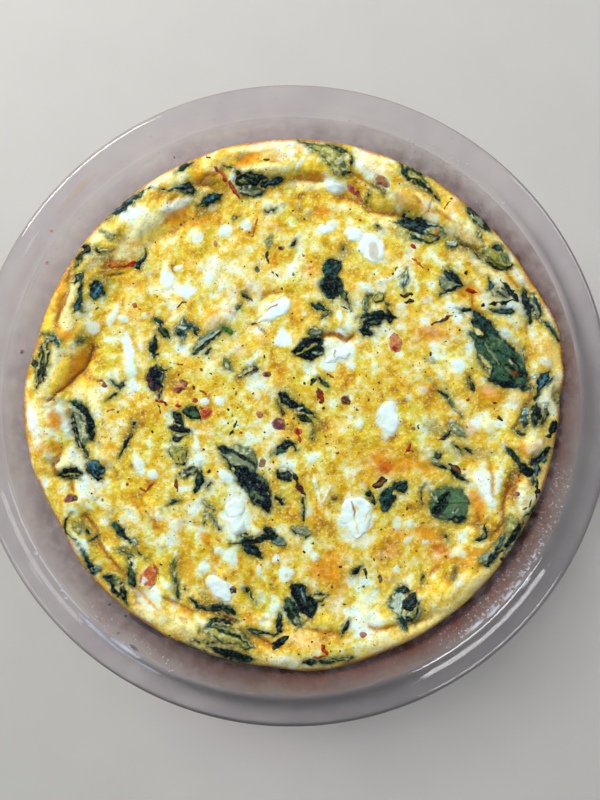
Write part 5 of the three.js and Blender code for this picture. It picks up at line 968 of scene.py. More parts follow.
# White spots of cheese in the egg: x, y, half length, half width, turn in degrees, strength
WHITES = [
    (16, 84, 6, 2.4, -15, 0.8), (-25, 67, 2.5, 2.5, 0, 0.9), (-17, 69, 2, 2, 0, 0.8),
    (-36, 64, 2, 2, 0, 0.8), (-40.2, 43.4, 3.7, 2.4, -10, 1), (-31, 48.8, 1.6, 2.1, 0, 0.9),
    (-34, 53, 2.6, 1.6, 0, 0.4), (-3.2, 25.4, 3.2, 3.4, 0, 1), (-12.6, 28.4, 2.2, 2, 0, 0.9),
    (20, 21, 5, 4.5, 0, 0.8), (14.5, 16, 3, 3, 0, 0.9), (-62, 19.5, 1.7, 7.6, 10, 1),
    (-61, 13, 2.6, 2, 0, 0.8), (-57.4, 22.4, 0.9, 2.6, 15, 0.8), (-75.4, 30, 2.6, 2.8, 0, 0.7),
    (-68, 34.6, 1.4, 4, -30, 0.8), (-64.6, 33.6, 2, 1.4, 0, 0.9), (-56, 34.6, 1.2, 1.6, 0, 0.7),
    (63.5, 14.5, 2.3, 3.6, 0, 1), (37, -5, 4, 7.5, -5, 0.9), (75.4, -8.2, 1.5, 2.6, 0, 0.9),
    (76, -36, 1.6, 2.4, 20, 0.9), (25, -43, 6.5, 9, 0, 0.7), (-24.4, -27, 3.8, 2.6, -25, 1),
    (-21, -42, 5, 8, 0, 0.7), (-36, -15, 1.1, 2.6, 10, 0.9), (-35, -20.5, 1.6, 1.6, 0, 0.9),
    (-26.5, -70, 5.5, 4, -50, 0.8), (-23, -57, 3, 3, 0, 0.9), (-27.5, -55, 1.8, 1.6, 0, 0.8),
    (-34, -61.5, 1.8, 2.2, 0, 0.9), (-6, -58.4, 1.4, 1.5, 0, 0.9), (-12.5, -62.5, 0.9, 1.8, 0, 0.8),
    (27, -77, 2.4, 4.5, 0, 0.6), (24, -83.5, 1.4, 1.4, 0, 0.7), (22.7, 15.7, 1.5, 1.4, 0, 0.9),
    (31.8, 15.5, 1.3, 1.2, 0, 0.8), (9, 12.6, 1.3, 1.1, 0, 0.9), (7.5, -20.3, 1.4, 1.2, 0, 0.8),
    (40.5, -44.5, 1.5, 2.6, 0, 0.7), (45.3, -44.8, 0.8, 1.6, 0, 0.9), (9, -57.5, 1.9, 1.8, 0, 0.9),
    (-33, 1.5, 1.7, 1.3, 0, 0.9), (-27.5, 2, 2.1, 2, 0, 0.9), (-12, 8, 1.3, 1.2, 0, 0.8),
    (-15, 17, 1.4, 1, 0, 0.8), (-12.8, 3.3, 1.6, 1.2, 0, 0.6), (-98, -5, 2.4, 4.5, 0, 0.6),
    (-58, -22.5, 2, 3.6, 20, 0.9), (-53, -26, 2.2, 2, 0, 0.9), (-54, -74, 6, 3, -35, 0.6),
    (26, -7.4, 1.2, 2, -30, 0.8), (44.5, -51, 2.2, 1, 30, 0.8), (63.5, -56, 3, 1.6, 0, 0.6),
    (11, 47, 2.2, 1.8, 0, 0.5), (50, 6, 2.4, 1.8, 0, 0.4), (-6, 76, 2.2, 1.6, 0, 0.5),
    (52, 41, 2.4, 1.8, 20, 0.5), (-30, 76, 2.2, 1.6, 0, 0.4), (70, 56, 2.6, 1.8, -45, 0.5),
    (-16, 60, 1.8, 1.5, 0, 0.5), (6, -40, 2.2, 1.8, 0, 0.5), (-44, -45, 2.4, 2.2, 0, 0.5),
    (18.5, 34.5, 0.9, 1.8, 0, 0.8), (5, 35, 1.2, 0.8, 0, 0.7), (41.5, 38, 1.8, 1.4, 0, 0.7),
    (41, 30, 1, 1, 0, 0.7), (48.9, -8.6, 0.6, 1.4, 0, 0.8), (45, 3.5, 1.3, 1.3, 0, 0.5),
    (22.8, -4.3, 0.9, 0.9, 0, 0.7), (-2, -64.5, 2.5, 2.6, 0, 0.95), (-18.8, -69.2, 0.9, 1.1, 0, 0.8),
    (51, -52, 1.4, 0.9, 0, 0.8), (40.2, -62, 1, 1.3, 0, 0.8),
]

# Baked and tinted patches: x, y, half length, half width, turn in degrees, strength, paint
PATCHES = [
    (34.5, -22, 6, 5, 0, 1.0, "a"), (41, -22, 14, 6, 0, 0.5, "a"), (50, 27, 5, 4.5, 0, 0.8, "a"),
    (75, 4, 8, 5, 0, 0.6, "a"), (17, -68, 7, 12, 0, 0.45, "a"), (38.5, -55, 2.6, 5, 0, 0.8, "a"),
    (56, -55, 5, 5, 0, 0.9, "a"), (70, -57, 4, 3, 40, 0.9, "a"), (-46, 70, 10, 4, 40, 0.8, "a"),
    (-18, 93, 8, 4, 10, 0.9, "a"), (7.5, 87, 5, 2, 0, 0.8, "a"), (12.5, 74.5, 4, 2, 0, 0.7, "a"),
    (-5, 69, 3, 2.4, 0, 0.6, "a"), (48, 75, 6, 2.6, -20, 0.8, "a"), (84, 48, 4, 2.4, -45, 0.9, "a"),
    (90, 3, 3, 6, 0, 0.8, "a"), (84, -34, 3, 3.6, 0, 1.0, "n"), (-85, 15, 4, 6, -30, 0.8, "a"),
    (-85, 27, 3.5, 2.6, 0, 0.8, "a"), (-90, -6, 3, 3.4, 0, 0.8, "a"), (-94, -16, 4.5, 2.6, 0, 0.8, "a"),
    (-40, -62, 4, 6.5, 0, 0.8, "a"), (-54, -37, 3, 2.4, 0, 0.8, "a"), (-29, -60, 2, 2.6, 0, 0.7, "a"),
    (-58, 61, 3.4, 2.6, 0, 0.8, "a"), (-15, -81, 4, 2, -20, 0.8, "a"), (7.5, 52, 3, 2.4, 0, 0.7, "a"),
    (51, -48, 5, 4, 0, 0.6, "a"), (10, 2, 3, 3, 0, 0.3, "a"), (-2, 14, 2, 1.6, 0, 0.7, "a"),
    (-4.3, 8.8, 1.5, 1.7, 0, 0.7, "a"), (71, -42, 3.4, 2.4, 0, 0.8, "a"), (66, -61, 5, 2.4, 40, 0.7, "a"),
    (19, 40, 6.5, 4, 0, 0.45, "o"), (60, -18, 5.5, 3, 0, 0.75, "o"), (-80, -9, 2.6, 5, 0, 0.6, "o"),
    (-44.5, -18.5, 3, 4, 0, 0.5, "o"), (70, 69, 4, 3, -45, 0.6, "o"), (-88, 19, 3, 4, 0, 0.5, "o"),
    (101, 3, 2, 4, 0, 0.8, "n"), (63, -9, 3, 3.6, 0, 0.6, "y"), (17, -82, 7, 3.6, 0, 0.35, "o"),
    (11, -74.5, 2, 3, 0, 0.7, "o"), (58, -36, 9, 9, 0, 0.4, "g"), (80, 21, 10, 14, 40, 0.3, "g"),
    (-4, 3, 6, 4, 0, 0.3, "y"), (-17, -27, 13, 7, -50, 0.3, "g"), (-28, 27, 9, 4, 40, 0.3, "y"),
    (92, -6, 4, 8, 0, 0.5, "y"), (-70, -72, 3, 4, -40, 0.4, "a"), (31, 0, 8, 6, 0, 0.25, "a"),
    (-20, 44, 9, 5, 20, 0.3, "a"), (-62, 2, 7, 5, 0, 0.3, "a"), (-30, -8, 6, 5, 0, 0.25, "a"),
    (60, 30, 6, 5, 0, 0.35, "a"), (27, 52, 5, 5, 0, 0.3, "a"), (62, -72, 9, 3, 45, 0.4, "a"),
]

# Colours of the marks on the glass, in 8-bit sRGB; pale also paints glints and reflections, and navy a shadow
GLASS_PAINTS = {
    "pale": (206, 214, 232),
    "rose": (206, 192, 198),
    "tan": (196, 156, 112),
    "orange": (206, 116, 30),
    "brown": (96, 56, 36),
    "navy": (36, 44, 78),
}

# Marks on the glass, as drops, smears, bubbles and crumbs, and painted reflections and shadow: x, y, half
# length around the dish, half width, height, how opaque it is from 0 to 1, paint
GLASS_MARKS = [
    (-97, 60.5, 6, 0.7, 0.15, 0.45, "rose"), (-95, -63, 6, 0.7, 0.15, 0.45, "rose"),
    (-95, -55, 1.2, 0.8, 0.3, 0.6, "pale"), (-85.5, -69, 0.8, 0.7, 0.3, 0.6, "pale"),
    (-84, -72, 0.7, 0.6, 0.3, 0.6, "pale"), (-80.3, 79.8, 11, 1.2, 0.15, 0.45, "tan"),
    (-89.5, 65.5, 0.8, 0.6, 0.3, 0.9, "orange"), (-92, 54, 0.7, 0.6, 0.3, 0.9, "orange"),
    (-69.5, -76, 0.5, 0.5, 0.3, 0.9, "brown"), (-63.5, -80.7, 0.5, 0.5, 0.3, 0.9, "navy"),
    (-65, -85.5, 0.5, 0.5, 0.3, 0.9, "brown"), (-102.5, 20.5, 1.0, 0.7, 0.7, 1, "brown"),
    (-44.5, 94.5, 0.4, 0.4, 0.3, 0.9, "brown"), (61.5, -101, 0.4, 0.4, 0.2, 0.9, "brown"),
    # The long navy streak is a painted shadow under the quiche's edge; the short one is a dark scrap on the
    # glass
    (-59, -90.7, 2.2, 0.5, 0.3, 0.9, "navy"), (-55.6, -85, 8.5, 0.9, 0.2, 0.7, "navy"),
    (60, 81, 0.8, 0.7, 0.4, 0.5, "pale"), (54, 86.5, 0.7, 0.7, 0.4, 0.5, "pale"),
    # Painted reflections: long thin pale streaks where the lights shine on the lip at the lower left
    (-74, -82.4, 8, 0.7, 0.15, 0.6, "pale"), (-67.6, -88.4, 11, 0.5, 0.15, 0.5, "pale"),
    (-62, -90.6, 7, 0.8, 0.15, 0.6, "pale"), (-53.6, -97.6, 6, 0.5, 0.15, 0.5, "pale"),
    # Painted highlight: a broken pale line along the lip at the lower right
    (88, -66, 3, 0.35, 0.2, 0.7, "pale"), (85, -66.8, 2.4, 0.4, 0.2, 0.7, "pale"),
    (81.6, -71, 3, 0.5, 0.2, 0.7, "pale"), (76, -77, 4, 0.5, 0.2, 0.7, "pale"),
    (69.6, -82.4, 4, 0.6, 0.2, 0.7, "pale"), (91.4, -56.3, 1.5, 0.35, 0.2, 0.6, "pale"),
]

# Scattered drops on the glass, painted pale as their glints: the two angles and the two radii they lie
# between, how many, largest half size
GLASS_DROPS = [
    (-58, -12, 102.5, 108.4, 520, 0.3),
    (-54, -28, 106.6, 108.2, 150, 0.45),
    (-136, -112, 105, 114, 110, 0.4),
    (42, 66, 102, 112, 60, 0.45),
    (-180, 180, 102, 118, 160, 0.3),
]
DROP_OPACITY = 0.55

# The marks' shape: clearance over the glass, where their rings lie, how wavy their outline is, their sides
MARK_LIFT = 0.05
MARK_RINGS = (1, 0.6)
MARK_WAVES = 0.35
SMALL_MARK = 2
SMALL_MARK_SIDES = 10
LARGE_MARK_SIDES = 24

# The film of oil and painted shadow on the wall: its points around and its rows up, the height where it
# starts, its distance from the wall
FILM_SIDES = 480
FILM_ROWS = 12
FILM_FOOT = 21
FILM_CLEARANCE = 0.06

# The directions in which the film and its painted shadow are thickest, and how wide the upper one is
FILM_LOWER_RIGHT = math.radians(-48)
FILM_UPPER_RIGHT = math.radians(48)
FILM_UPPER_WIDTH = 0.6

# Colours of the strokes, in 8-bit sRGB, and those that have no pale specks; yellow, cream and white are
# partly painted highlight on the lumps and ridges, and ochre, olive and grey partly painted shade in the
# folds
STROKE_PAINTS = {
    "burnt": (96, 46, 16),
    "brown": (146, 84, 20),
    "orange": (224, 146, 6),
    "ochre": (208, 158, 14),
    "yellow": (246, 210, 52),
    "cream": (248, 242, 176),
    "white": (228, 248, 240),
    "olive": (138, 134, 44),
    "grey": (150, 156, 124),
    "green": (74, 98, 62),
    "beige": (214, 190, 130),
    "peach": (240, 196, 120),
    "rust": (198, 96, 2),
    "lime": (206, 192, 62),
    "tan": (222, 170, 88),
}
BROWN_STROKES = ("rust", "orange", "burnt", "brown", "ochre")

# Where a stroke is widest, as a share of its length, and its bluntness
STROKE_SHAPE = (0.5, 0.7)

# Folds, ridges and browned streaks of the egg, with painted highlights on its lumps and painted shade in its
# folds:
# x and y of both ends, bend to the left, width, rise, strength, paint
STROKES = [
    (-93, 37, -82.5, 54, 0.8, 5, 0.3, 0.7, "yellow"),
    (-89.5, 36, -84, 52, 0.6, 1.8, 0, 0.7, "orange"),
    (-86, 35, -80, 50, 0.8, 3.6, 0.4, 0.85, "cream"),
    (-79, 51, -69, 57.5, 0.5, 4, 0, 0.6, "grey"),
    (-77, 48, -72, 51, 0, 3, 0, 0.5, "olive"),
    (-73, 67, -65, 68, 0, 4, 0.4, 0.7, "yellow"),
    (-74, 62, -66, 61, 0, 4, 0.4, 0.6, "yellow"),
    (-71, 64.5, -66, 62, 0, 2, 0, 0.5, "olive"),
    (-67, 56, -48, 75, -1, 9, 0.6, 0.85, "cream"),
    (-61, 61, -43, 72.5, -1, 4, 0, 0.8, "yellow"),
    (-63, 61.5, -56, 61, 0, 2, 0, 0.6, "orange"),
    (-61.5, 61, -59.5, 55, 0, 2, 0, 0.6, "ochre"),
    (-70, 49.5, -64, 50.5, 0, 1.4, -0.4, 0.8, "burnt"),
    (-66, 49, -58, 45, 0, 3, 0, 0.5, "orange"),
    (-54.5, 43, -52, 38.5, -0.6, 1.2, -0.2, 0.8, "ochre"),
    (-82, 42, -77, 34, 0, 3, 0, 0.4, "olive"),
    (-82, 38, -77, 36, 0, 2, 0, 0.4, "grey"),
    (-50, 74, -37, 79, 0, 3.4, 0.4, 0.8, "white"),
    (-49, 69, -39, 75, 0, 4, 0.2, 0.9, "orange"),
    (-49, 65.5, -40, 70, -0.4, 1.2, -0.3, 0.6, "brown"),
    (-45, 67.5, -31, 72, 0, 3, 0, 0.45, "orange"),
    (-52, 86, -39, 87, 0, 4, 0.3, 0.7, "cream"),
    (-47, 85, -42, 87, 0, 1.6, 0, 0.6, "yellow"),
    (-38, 85.8, -28, 88, 0, 4, 0.3, 0.8, "orange"),
    (-37, 84, -29, 84.6, 0, 1.2, -0.3, 0.8, "brown"),
    (-31, 83.6, -23, 80.5, 0, 1.4, 0, 0.8, "orange"),
    (-47, 77.5, -43, 80, 0, 1.4, -0.3, 0.8, "brown"),
    (-37, 79, -31, 83, 0, 3.4, 0, 0.6, "beige"),
    (-37, 72, -31, 75, 0, 2.4, 0, 0.5, "olive"),
    (-25, 92.5, -18, 91.5, 0, 3, 0, 0.8, "yellow"),
    (-22, 91, -12, 96, 0, 4, 0, 0.95, "orange"),
    (-20.5, 94, -17, 96.5, 0, 2, 0, 0.6, "grey"),
    (-24, 97, 3, 101, -0.6, 3, 0.3, 0.7, "cream"),
    (-12, 97, 0, 94, 0, 3, 0, 0.6, "peach"),
    (-17, 89.5, -2, 90.5, -0.6, 4.4, 0.5, 0.9, "cream"),
    (-16, 88.6, -4, 88.4, 0, 1.6, 0, 0.6, "yellow"),
    (-12, 92.4, -5, 92.4, 0.3, 0.8, -0.3, 0.8, "brown"),
    (-7, 94, -3, 91.5, 0, 1, 0, 0.7, "orange"),
    (3, 90, 14, 89, 0, 6, 0.4, 0.7, "yellow"),
    (5.5, 88.2, 13, 86.8, 0, 3.4, 0, 0.9, "orange"),
    (1.5, 89.5, 5, 94, 0, 1.8, 0.2, 0.8, "white"),
    (0, 98, 8, 98, 0, 3, 0, 0.4, "orange"),
    (-2, 84.5, 14, 84, 0, 4, 0, 0.7, "cream"),
    (8.5, 74.5, 15, 74.6, 0, 3, 0, 0.7, "orange"),
    (-7, 67.5, -2, 69.5, 0, 3.6, 0, 0.55, "ochre"),
    (-4, 77, -1, 77, 0, 2.6, 0, 0.6, "grey"),
    (1.5, 76.6, 4, 76.8, 0, 2, 0, 0.5, "grey"),
    (5.5, 72, 8, 74.5, 0, 1.8, 0, 0.6, "grey"),
    (-9, 61, -8, 65, 0, 1.8, 0, 0.5, "grey"),
    (-12, 51, -13, 56, 0, 4, 0, 0.4, "grey"),
    (12, 96, 16, 100, 0, 3, 0, 0.4, "olive"),
    (27, 91, 40, 88, 0, 5, 0, 0.5, "peach"),
    (24, 95, 38, 94, -0.6, 3, 0.3, 0.6, "cream"),
    (29, 83.5, 37, 80.5, 0, 2.4, 0, 0.5, "grey"),
    (28, 80, 40, 75.5, 0, 6, 0.5, 0.8, "yellow"),
    (39, 80.5, 50, 74.5, 0, 7, 0.5, 0.75, "ochre"),
    (47, 80, 50, 75, 0, 1.2, 0, 0.6, "brown"),
    (53.5, 78.5, 52, 73.5, 0, 1, 0, 0.7, "brown"),
    (51, 73.8, 57.5, 73.2, 0, 1.6, 0, 0.8, "orange"),
    (40, 84, 51, 81.8, 0, 3, 0, 0.5, "grey"),
    (29, 71.5, 42, 69.5, 0, 4, 0, 0.7, "cream"),
    (31, 71.5, 35, 71, 0, 1.4, 0, 0.6, "orange"),
    (38, 67.5, 47, 63, 0, 4, 0, 0.55, "grey"),
    (18, 60, 23, 58, 0, 4, 0, 0.4, "grey"),
    (58, 73, 67, 78.5, 0, 6, 0.2, 0.45, "orange"),
    (60, 71, 71, 62, -0.6, 8, 0.5, 0.7, "cream"),
    (62.5, 68, 69, 62, 0, 3, 0, 0.4, "peach"),
    (52, 75, 64, 68.5, 0, 1.6, -0.2, 0.7, "ochre"),
    (61, 61.5, 73, 55, 0, 3, 0, 0.4, "grey"),
    (70, 71, 74, 66, 0, 4, 0, 0.5, "grey"),
    (74, 66, 80, 62, 0, 4, 0.2, 0.6, "cream"),
    (60, 58, 66, 55, 0, 5, 0, 0.5, "cream"),
    (69, 55, 77, 50, 0, 5, 0.3, 0.7, "cream"),
    (64.5, 44.2, 73, 43.2, 0, 4, 0, 0.75, "orange"),
    (69, 43, 69.6, 37, 0, 1.2, -0.3, 0.8, "orange"),
    (69.6, 37, 73, 33.5, 0, 1.8, -0.3, 0.7, "brown"),
    (66, 45.5, 70, 49.5, 0, 2.4, 0, 0.4, "peach"),
    (80.5, 50.5, 87, 44.5, 0, 4, 0.2, 0.9, "yellow"),
    (82, 48, 86, 45.5, 0, 1.6, 0, 0.6, "orange"),
    (84.5, 51.5, 90, 45, 0, 3, 0.3, 0.85, "white"),
    (88, 50, 93, 43, 0, 2.4, 0, 0.6, "orange"),
    (78, 46.5, 87, 39.5, 0, 7, 0, 0.5, "grey"),
    (84, 36, 88, 30, 0, 3, 0.2, 0.7, "cream"),
    (77, 32, 84, 31, 0, 5, 0.2, 0.6, "yellow"),
    (81, 28, 88, 20, 0, 4.6, 0, 0.5, "grey"),
    (80, 25, 87.5, 18, 0.5, 1.1, -0.2, 0.8, "burnt"),
    (92, 30, 97, 18, 0, 6, 0.3, 0.4, "peach"),
    (96, 38, 99.5, 29, 0, 2.2, 0.2, 0.8, "white"),
    (94, 18, 99, 15, 0, 3, 0.2, 0.7, "white"),
    (97, 28, 101, 16, 0, 2, 0, 0.4, "orange"),
    (89.4, 33, 89.4, 26, 0, 1.1, -0.3, 0.8, "brown"),
    (59, 12, 67, 8, 0, 6, 0, 0.7, "yellow"),
    (71, 7, 81, 3, 0, 6, 0, 0.7, "orange"),
    (84, 6, 90, 3, 0, 4, 0.2, 0.6, "yellow"),
    (91.5, 8, 91, 1, 0, 1.2, -0.4, 0.85, "burnt"),
    (55, 12, 64, 2, 0, 3, 0, 0.35, "olive"),
    (-95, 38, -91, 28, 0, 5.6, 0.3, 0.8, "yellow"),
    (-88.8, 38, -88.6, 28, 0.3, 1.4, -0.3, 0.7, "orange"),
    (-85.5, 38, -85, 28, 0, 5, 0.4, 0.85, "cream"),
    (-88, 26.8, -83, 26.6, 0, 3.4, 0.1, 0.9, "orange"),
    (-81.5, 33, -82.5, 26, 0, 2, 0, 0.6, "ochre"),
    (-95, 24, -92, 17, 0, 4, 0, 0.5, "grey"),
    (-79, 21.5, -88, 6, 0.6, 6.4, 0.2, 0.8, "orange"),
    (-84.5, 19, -91, 6, 0, 4.6, 0.3, 0.85, "yellow"),
    (-88.5, 20, -95, 3, 0, 3.4, 0.2, 0.85, "cream"),
    (-76.3, 23.2, -80.6, 12.4, 0.4, 1.2, -0.4, 0.85, "brown"),
    (-80, 11, -80, 1, 0, 6, 0.2, 0.5, "yellow"),
    (-76, 6, -75, -3, 0, 5, 0.2, 0.8, "cream"),
    (-100, 0, -92, -4, 0, 5, 0, 0.7, "cream"),
    (-92, -3, -88, -8, 0, 4, 0, 0.7, "orange"),
    (-96, 3, -85, 1.5, 0, 3, 0, 0.5, "olive"),
    (-62, 36, -57, 30, 0, 4, 0, 0.4, "peach"),
    (-59, 16, -57, 11, 0, 2, 0, 0.5, "ochre"),
    (-49.5, 31, -45, 36.5, 0, 1.6, -0.2, 0.7, "ochre"),
    (-48, 31, -45, 27, 0, 4, 0, 0.5, "olive"),
    (-33.5, 29.5, -24, 34, 0.6, 6.4, 0.5, 0.85, "beige"),
    (-28, 31.5, -22, 29.6, 0, 4, 0.2, 0.7, "beige"),
    (-33, 33.4, -26.5, 36.8, 0.3, 1.6, 0, 0.9, "orange"),
    (-27, 36.8, -20, 34.2, 0.3, 1.4, 0, 0.8, "orange"),
    (-30, 38, -23, 38.6, 0, 1, 0, 0.6, "white"),
    (-17, 35, -12, 38, 0, 4, 0, 0.5, "ochre"),
    (-53, 27, -50.5, 33, 0, 3, 0, 0.4, "grey"),
    (-20, 38, -15, 46, 0, 5, 0, 0.4, "orange"),
    (-99, 0, -96, -14, 0, 4, 0.2, 0.8, "white"),
    (-90, -1, -88.5, -9, 0, 4, 0, 0.8, "orange"),
    (-91, -14, -87, -17, 0, 3.6, 0, 0.8, "orange"),
    (-85, 1, -84.7, -8, 0, 0.9, -0.3, 0.7, "orange"),
    (-89, -19.5, -84, -23, 0, 5, 0.4, 0.8, "cream"),
    (-87.5, -18.8, -91, -23, 0.4, 1.6, -0.4, 0.95, "burnt"),
    (-91, -22.5, -87, -27, -0.6, 1.8, -0.4, 0.95, "burnt"),
    (-87, -27, -83.6, -28.6, 0, 1.2, -0.3, 0.9, "brown"),
    (-84, -28, -82.8, -33, 0, 1.1, -0.3, 0.8, "brown"),
    (-72, -21, -67.5, -24, 0, 3.6, 0.2, 0.6, "grey"),
    (-73.5, -13, -73.5, -16.5, 0, 2.4, 0, 0.5, "grey"),
    (-71.5, -4.5, -71.5, -7, 0, 2, 0, 0.5, "grey"),
    (-70, -14, -67, -18, 0, 2.4, 0, 0.6, "orange"),
    (-57, -35, -51, -38, 0, 4, 0, 0.85, "yellow"),
    (-62, -32, -60, -38, 0, 1.8, 0, 0.8, "orange"),
    (-67.6, -35.6, -68.6, -38.6, 0, 2, 0, 0.7, "ochre"),
    (-64.5, -37, -58, -46, 0.5, 4.6, 0.4, 0.9, "cream"),
    (-62.5, -39, -59.5, -44, 0, 2.4, 0.2, 0.8, "white"),
    (-79, -41, -72, -53, 0.8, 1.2, -0.4, 0.9, "brown"),
    (-77.5, -44, -72.6, -52.6, 0.6, 0.8, 0, 0.7, "orange"),
    (-73.3, -51.4, -71.6, -54.5, 0, 1.8, 0, 0.9, "orange"),
    (-83.5, -43, -79.5, -48, 0, 3.6, 0, 0.6, "olive"),
    (-81.6, -45.4, -78.6, -48.6, 0, 1.2, 0.2, 0.85, "white"),
    (-70, -42, -66.4, -38.4, 0, 1.6, 0, 0.5, "grey"),
    (-56, -40, -53.4, -43.5, 0, 1, 0, 0.7, "brown"),
    (5.8, 52.2, 8.4, 52.6, 0, 1.2, 0, 0.9, "rust"),
    (-11, 41.6, -3.4, 44.8, 0.4, 1.3, -0.3, 0.8, "orange"),
    (-13, 43.5, -7, 46, 0, 4, 0.2, 0.6, "ochre"),
    (-14.6, 32.6, -4.6, 41.8, 0.3, 2.2, 0.4, 0.8, "cream"),
    (-12.4, 30.2, -8.8, 27.2, 0, 1.1, -0.3, 0.9, "brown"),
    (19.6, 46, 19.4, 38, 0, 3.6, 0, 0.5, "green"),
    (12, 26, 20, 26.4, 1.4, 2.2, -0.3, 0.95, "rust"),
    (19.6, 26, 25, 25.4, 0, 1.6, -0.3, 0.85, "orange"),
    (16, 28.7, 21.4, 26.8, 0.3, 0.9, 0.4, 0.9, "white"),
    (-20, 24, -8, 26, 0, 6, 0.2, 0.6, "yellow"),
    (-14, 26.5, -8, 24, 0, 3, 0.2, 0.6, "peach"),
    (-24, 22, -16, 20, 0, 5, 0, 0.4, "peach"),
    (19.6, 62, 18.6, 52, 0, 2.8, 0, 0.6, "grey"),
    (2, 44, 1, 30, 0.3, 5, 0, 0.35, "orange"),
    (32, 47.4, 39, 49.4, -0.4, 1.8, 0.3, 0.9, "white"),
    (39, 49.4, 42.6, 53, 0, 2.6, 0.3, 0.9, "white"),
    (27, 47, 31.6, 42.6, 0, 3, 0.3, 0.9, "white"),
    (26.6, 48.4, 28.6, 47.6, 0, 1.6, 0, 0.8, "ochre"),
    (48, 29, 60, 26, 0, 6, 0, 0.6, "orange"),
    (52, 27.5, 58, 27.5, 0, 3, 0, 0.4, "rust"),
    (50, 18.6, 56, 16.6, 0, 3.4, 0, 0.7, "olive"),
    (50, 43, 52, 41, 0, 1.8, 0, 0.7, "orange"),
    (-33, -27.6, -35.6, -32, 0, 1, 0, 0.8, "white"),
    (-37.6, -8, -35, -8.4, 0, 2.8, 0, 0.7, "ochre"),
    (-30, -5.8, -30, -8.4, 0, 1.6, 0, 0.6, "ochre"),
    (-8.4, 6.6, -8.2, 2, 0, 1.8, 0, 0.5, "grey"),
    (-5, 7, -1, 5.6, 0.3, 1.6, 0, 0.35, "grey"),
    (8.8, -26, 11.6, -38, -0.6, 1.4, 0.4, 0.95, "white"),
    (15, -31, 12.2, -36.6, 0, 1, 0.4, 0.95, "white"),
    (7.4, -28, 9.6, -29, 0, 1, 0.2, 0.7, "white"),
    (30.5, -18.6, 36.5, -23, 0, 4, 0, 0.9, "orange"),
    (35, -21.5, 37, -26, 0, 5.6, 0, 0.9, "rust"),
    (33, -21.5, 38.5, -24.5, 0, 6, 0, 0.5, "rust"),
    (39, -25, 47, -20, 0, 6, 0, 0.75, "orange"),
    (47, -22, 55, -24, 0, 5, 0, 0.6, "orange"),
    (44, -12, 38, -15, 0, 3.6, 0, 0.6, "yellow"),
    (42, -28, 50, -27, 0, 4, 0, 0.5, "yellow"),
    (50, -7, 58, -9, 0, 6, 0, 0.55, "grey"),
    (52, -10.5, 57, -9.5, 0, 3, 0, 0.35, "olive"),
    (60, -6, 62, -6.6, 0, 3, 0, 0.6, "white"),
    (57.5, -18, 63, -20.4, 0, 4.6, 0, 0.8, "lime"),
    (51, 12, 56, 6.6, 0.3, 2, 0, 0.5, "green"),
    (96.6, -1, 98, -8, 0, 2, 0, 0.7, "lime"),
    (91, -13, 91, -18, 0, 8, 0.6, 0.7, "peach"),
    (89, -12, 92, -14, 0, 4, 0.3, 0.6, "cream"),
    (87.4, -12, 90.6, -20.6, -1, 1.8, -0.3, 0.9, "orange"),
    (90.6, -20.6, 94.4, -19.6, 0, 1.6, -0.3, 0.85, "brown"),
    (96, -11, 96.4, -15.6, 0, 1.6, -0.3, 0.8, "brown"),
    (97.6, -12.6, 99.6, -14.4, 0, 2.4, 0, 0.8, "orange"),
    (80.6, -13.8, 81.6, -17.4, 0, 1.8, 0, 0.7, "white"),
    (96.4, -20.6, 95.4, -31, -0.3, 3.2, 0.2, 0.85, "tan"),
    (98.6, -20, 96.4, -31, -0.2, 1.2, 0, 0.8, "rust"),
    (81.6, -34.4, 85, -31.4, 0.6, 2.6, -0.4, 0.9, "brown"),
    (85, -31.4, 88, -31.4, 0, 1.6, -0.3, 0.9, "brown"),
    (88.6, -28.6, 88.6, -36.4, -0.6, 4.4, 0.5, 0.9, "cream"),
    (86.8, -33, 87.6, -36.6, 0, 2, 0.3, 0.8, "white"),
    (87.6, -37.6, 91, -36.6, 0, 2, 0, 0.7, "ochre"),
    (68, -23, 71, -31, 0, 4, 0.2, 0.7, "yellow"),
    (70, -24.6, 76.8, -37, 0, 4.4, 0.5, 0.95, "white"),
    (79, -24.4, 79, -31, 0, 2.6, 0.4, 0.9, "white"),
    (76.4, -24.4, 76.6, -33, 0.3, 1.5, -0.3, 0.9, "tan"),
    (77.8, -23.4, 79.4, -24.6, 0, 1.6, 0, 0.9, "orange"),
    (80, -21.6, 84, -24.6, 0, 4, 0, 0.5, "lime"),
    (81.4, -24.8, 84.4, -27, 0, 0.9, 0, 0.8, "green"),
    (68, -32, 73, -43, 0.6, 5, 0, 0.85, "orange"),
    (70.6, -40, 72, -45, 0, 1.8, -0.3, 0.9, "brown"),
    (75.4, -42, 74, -44.6, 0, 1.4, 0, 0.7, "brown"),
    (79, -38, 81, -46, 0, 3, 0.2, 0.6, "tan"),
    (66, -8, 72, -12, 0, 5, 0, 0.5, "orange"),
    (73.5, -4, 77, -11, 0, 5, 0.3, 0.8, "cream"),
    (83, -1, 86, -8, 0.4, 4, 0.2, 0.8, "yellow"),
    (62, -18, 80, -18, 0, 5, 0, 0.4, "grey"),
    (72.2, -45.6, 72, -49, 0, 1.6, 0, 0.6, "grey"),
    (76.6, -46.4, 76.4, -49.6, 0, 2.2, 0.2, 0.7, "orange"),
    (69.4, -53, 73, -52.4, 0, 2, 0.3, 0.8, "cream"),
    (67.6, -56.6, 74.6, -54.4, 0, 2.4, 0, 0.8, "orange"),
    (73.6, -55.4, 81.4, -46, -0.8, 1, -0.4, 0.85, "brown"),
    (81.4, -46, 81.6, -35, 0.2, 1, -0.4, 0.8, "brown"),
    (60.6, -54, 64, -57, 0, 3, 0.3, 0.8, "cream"),
    (64, -66, 74, -64, 0.5, 7, 0.4, 0.7, "yellow"),
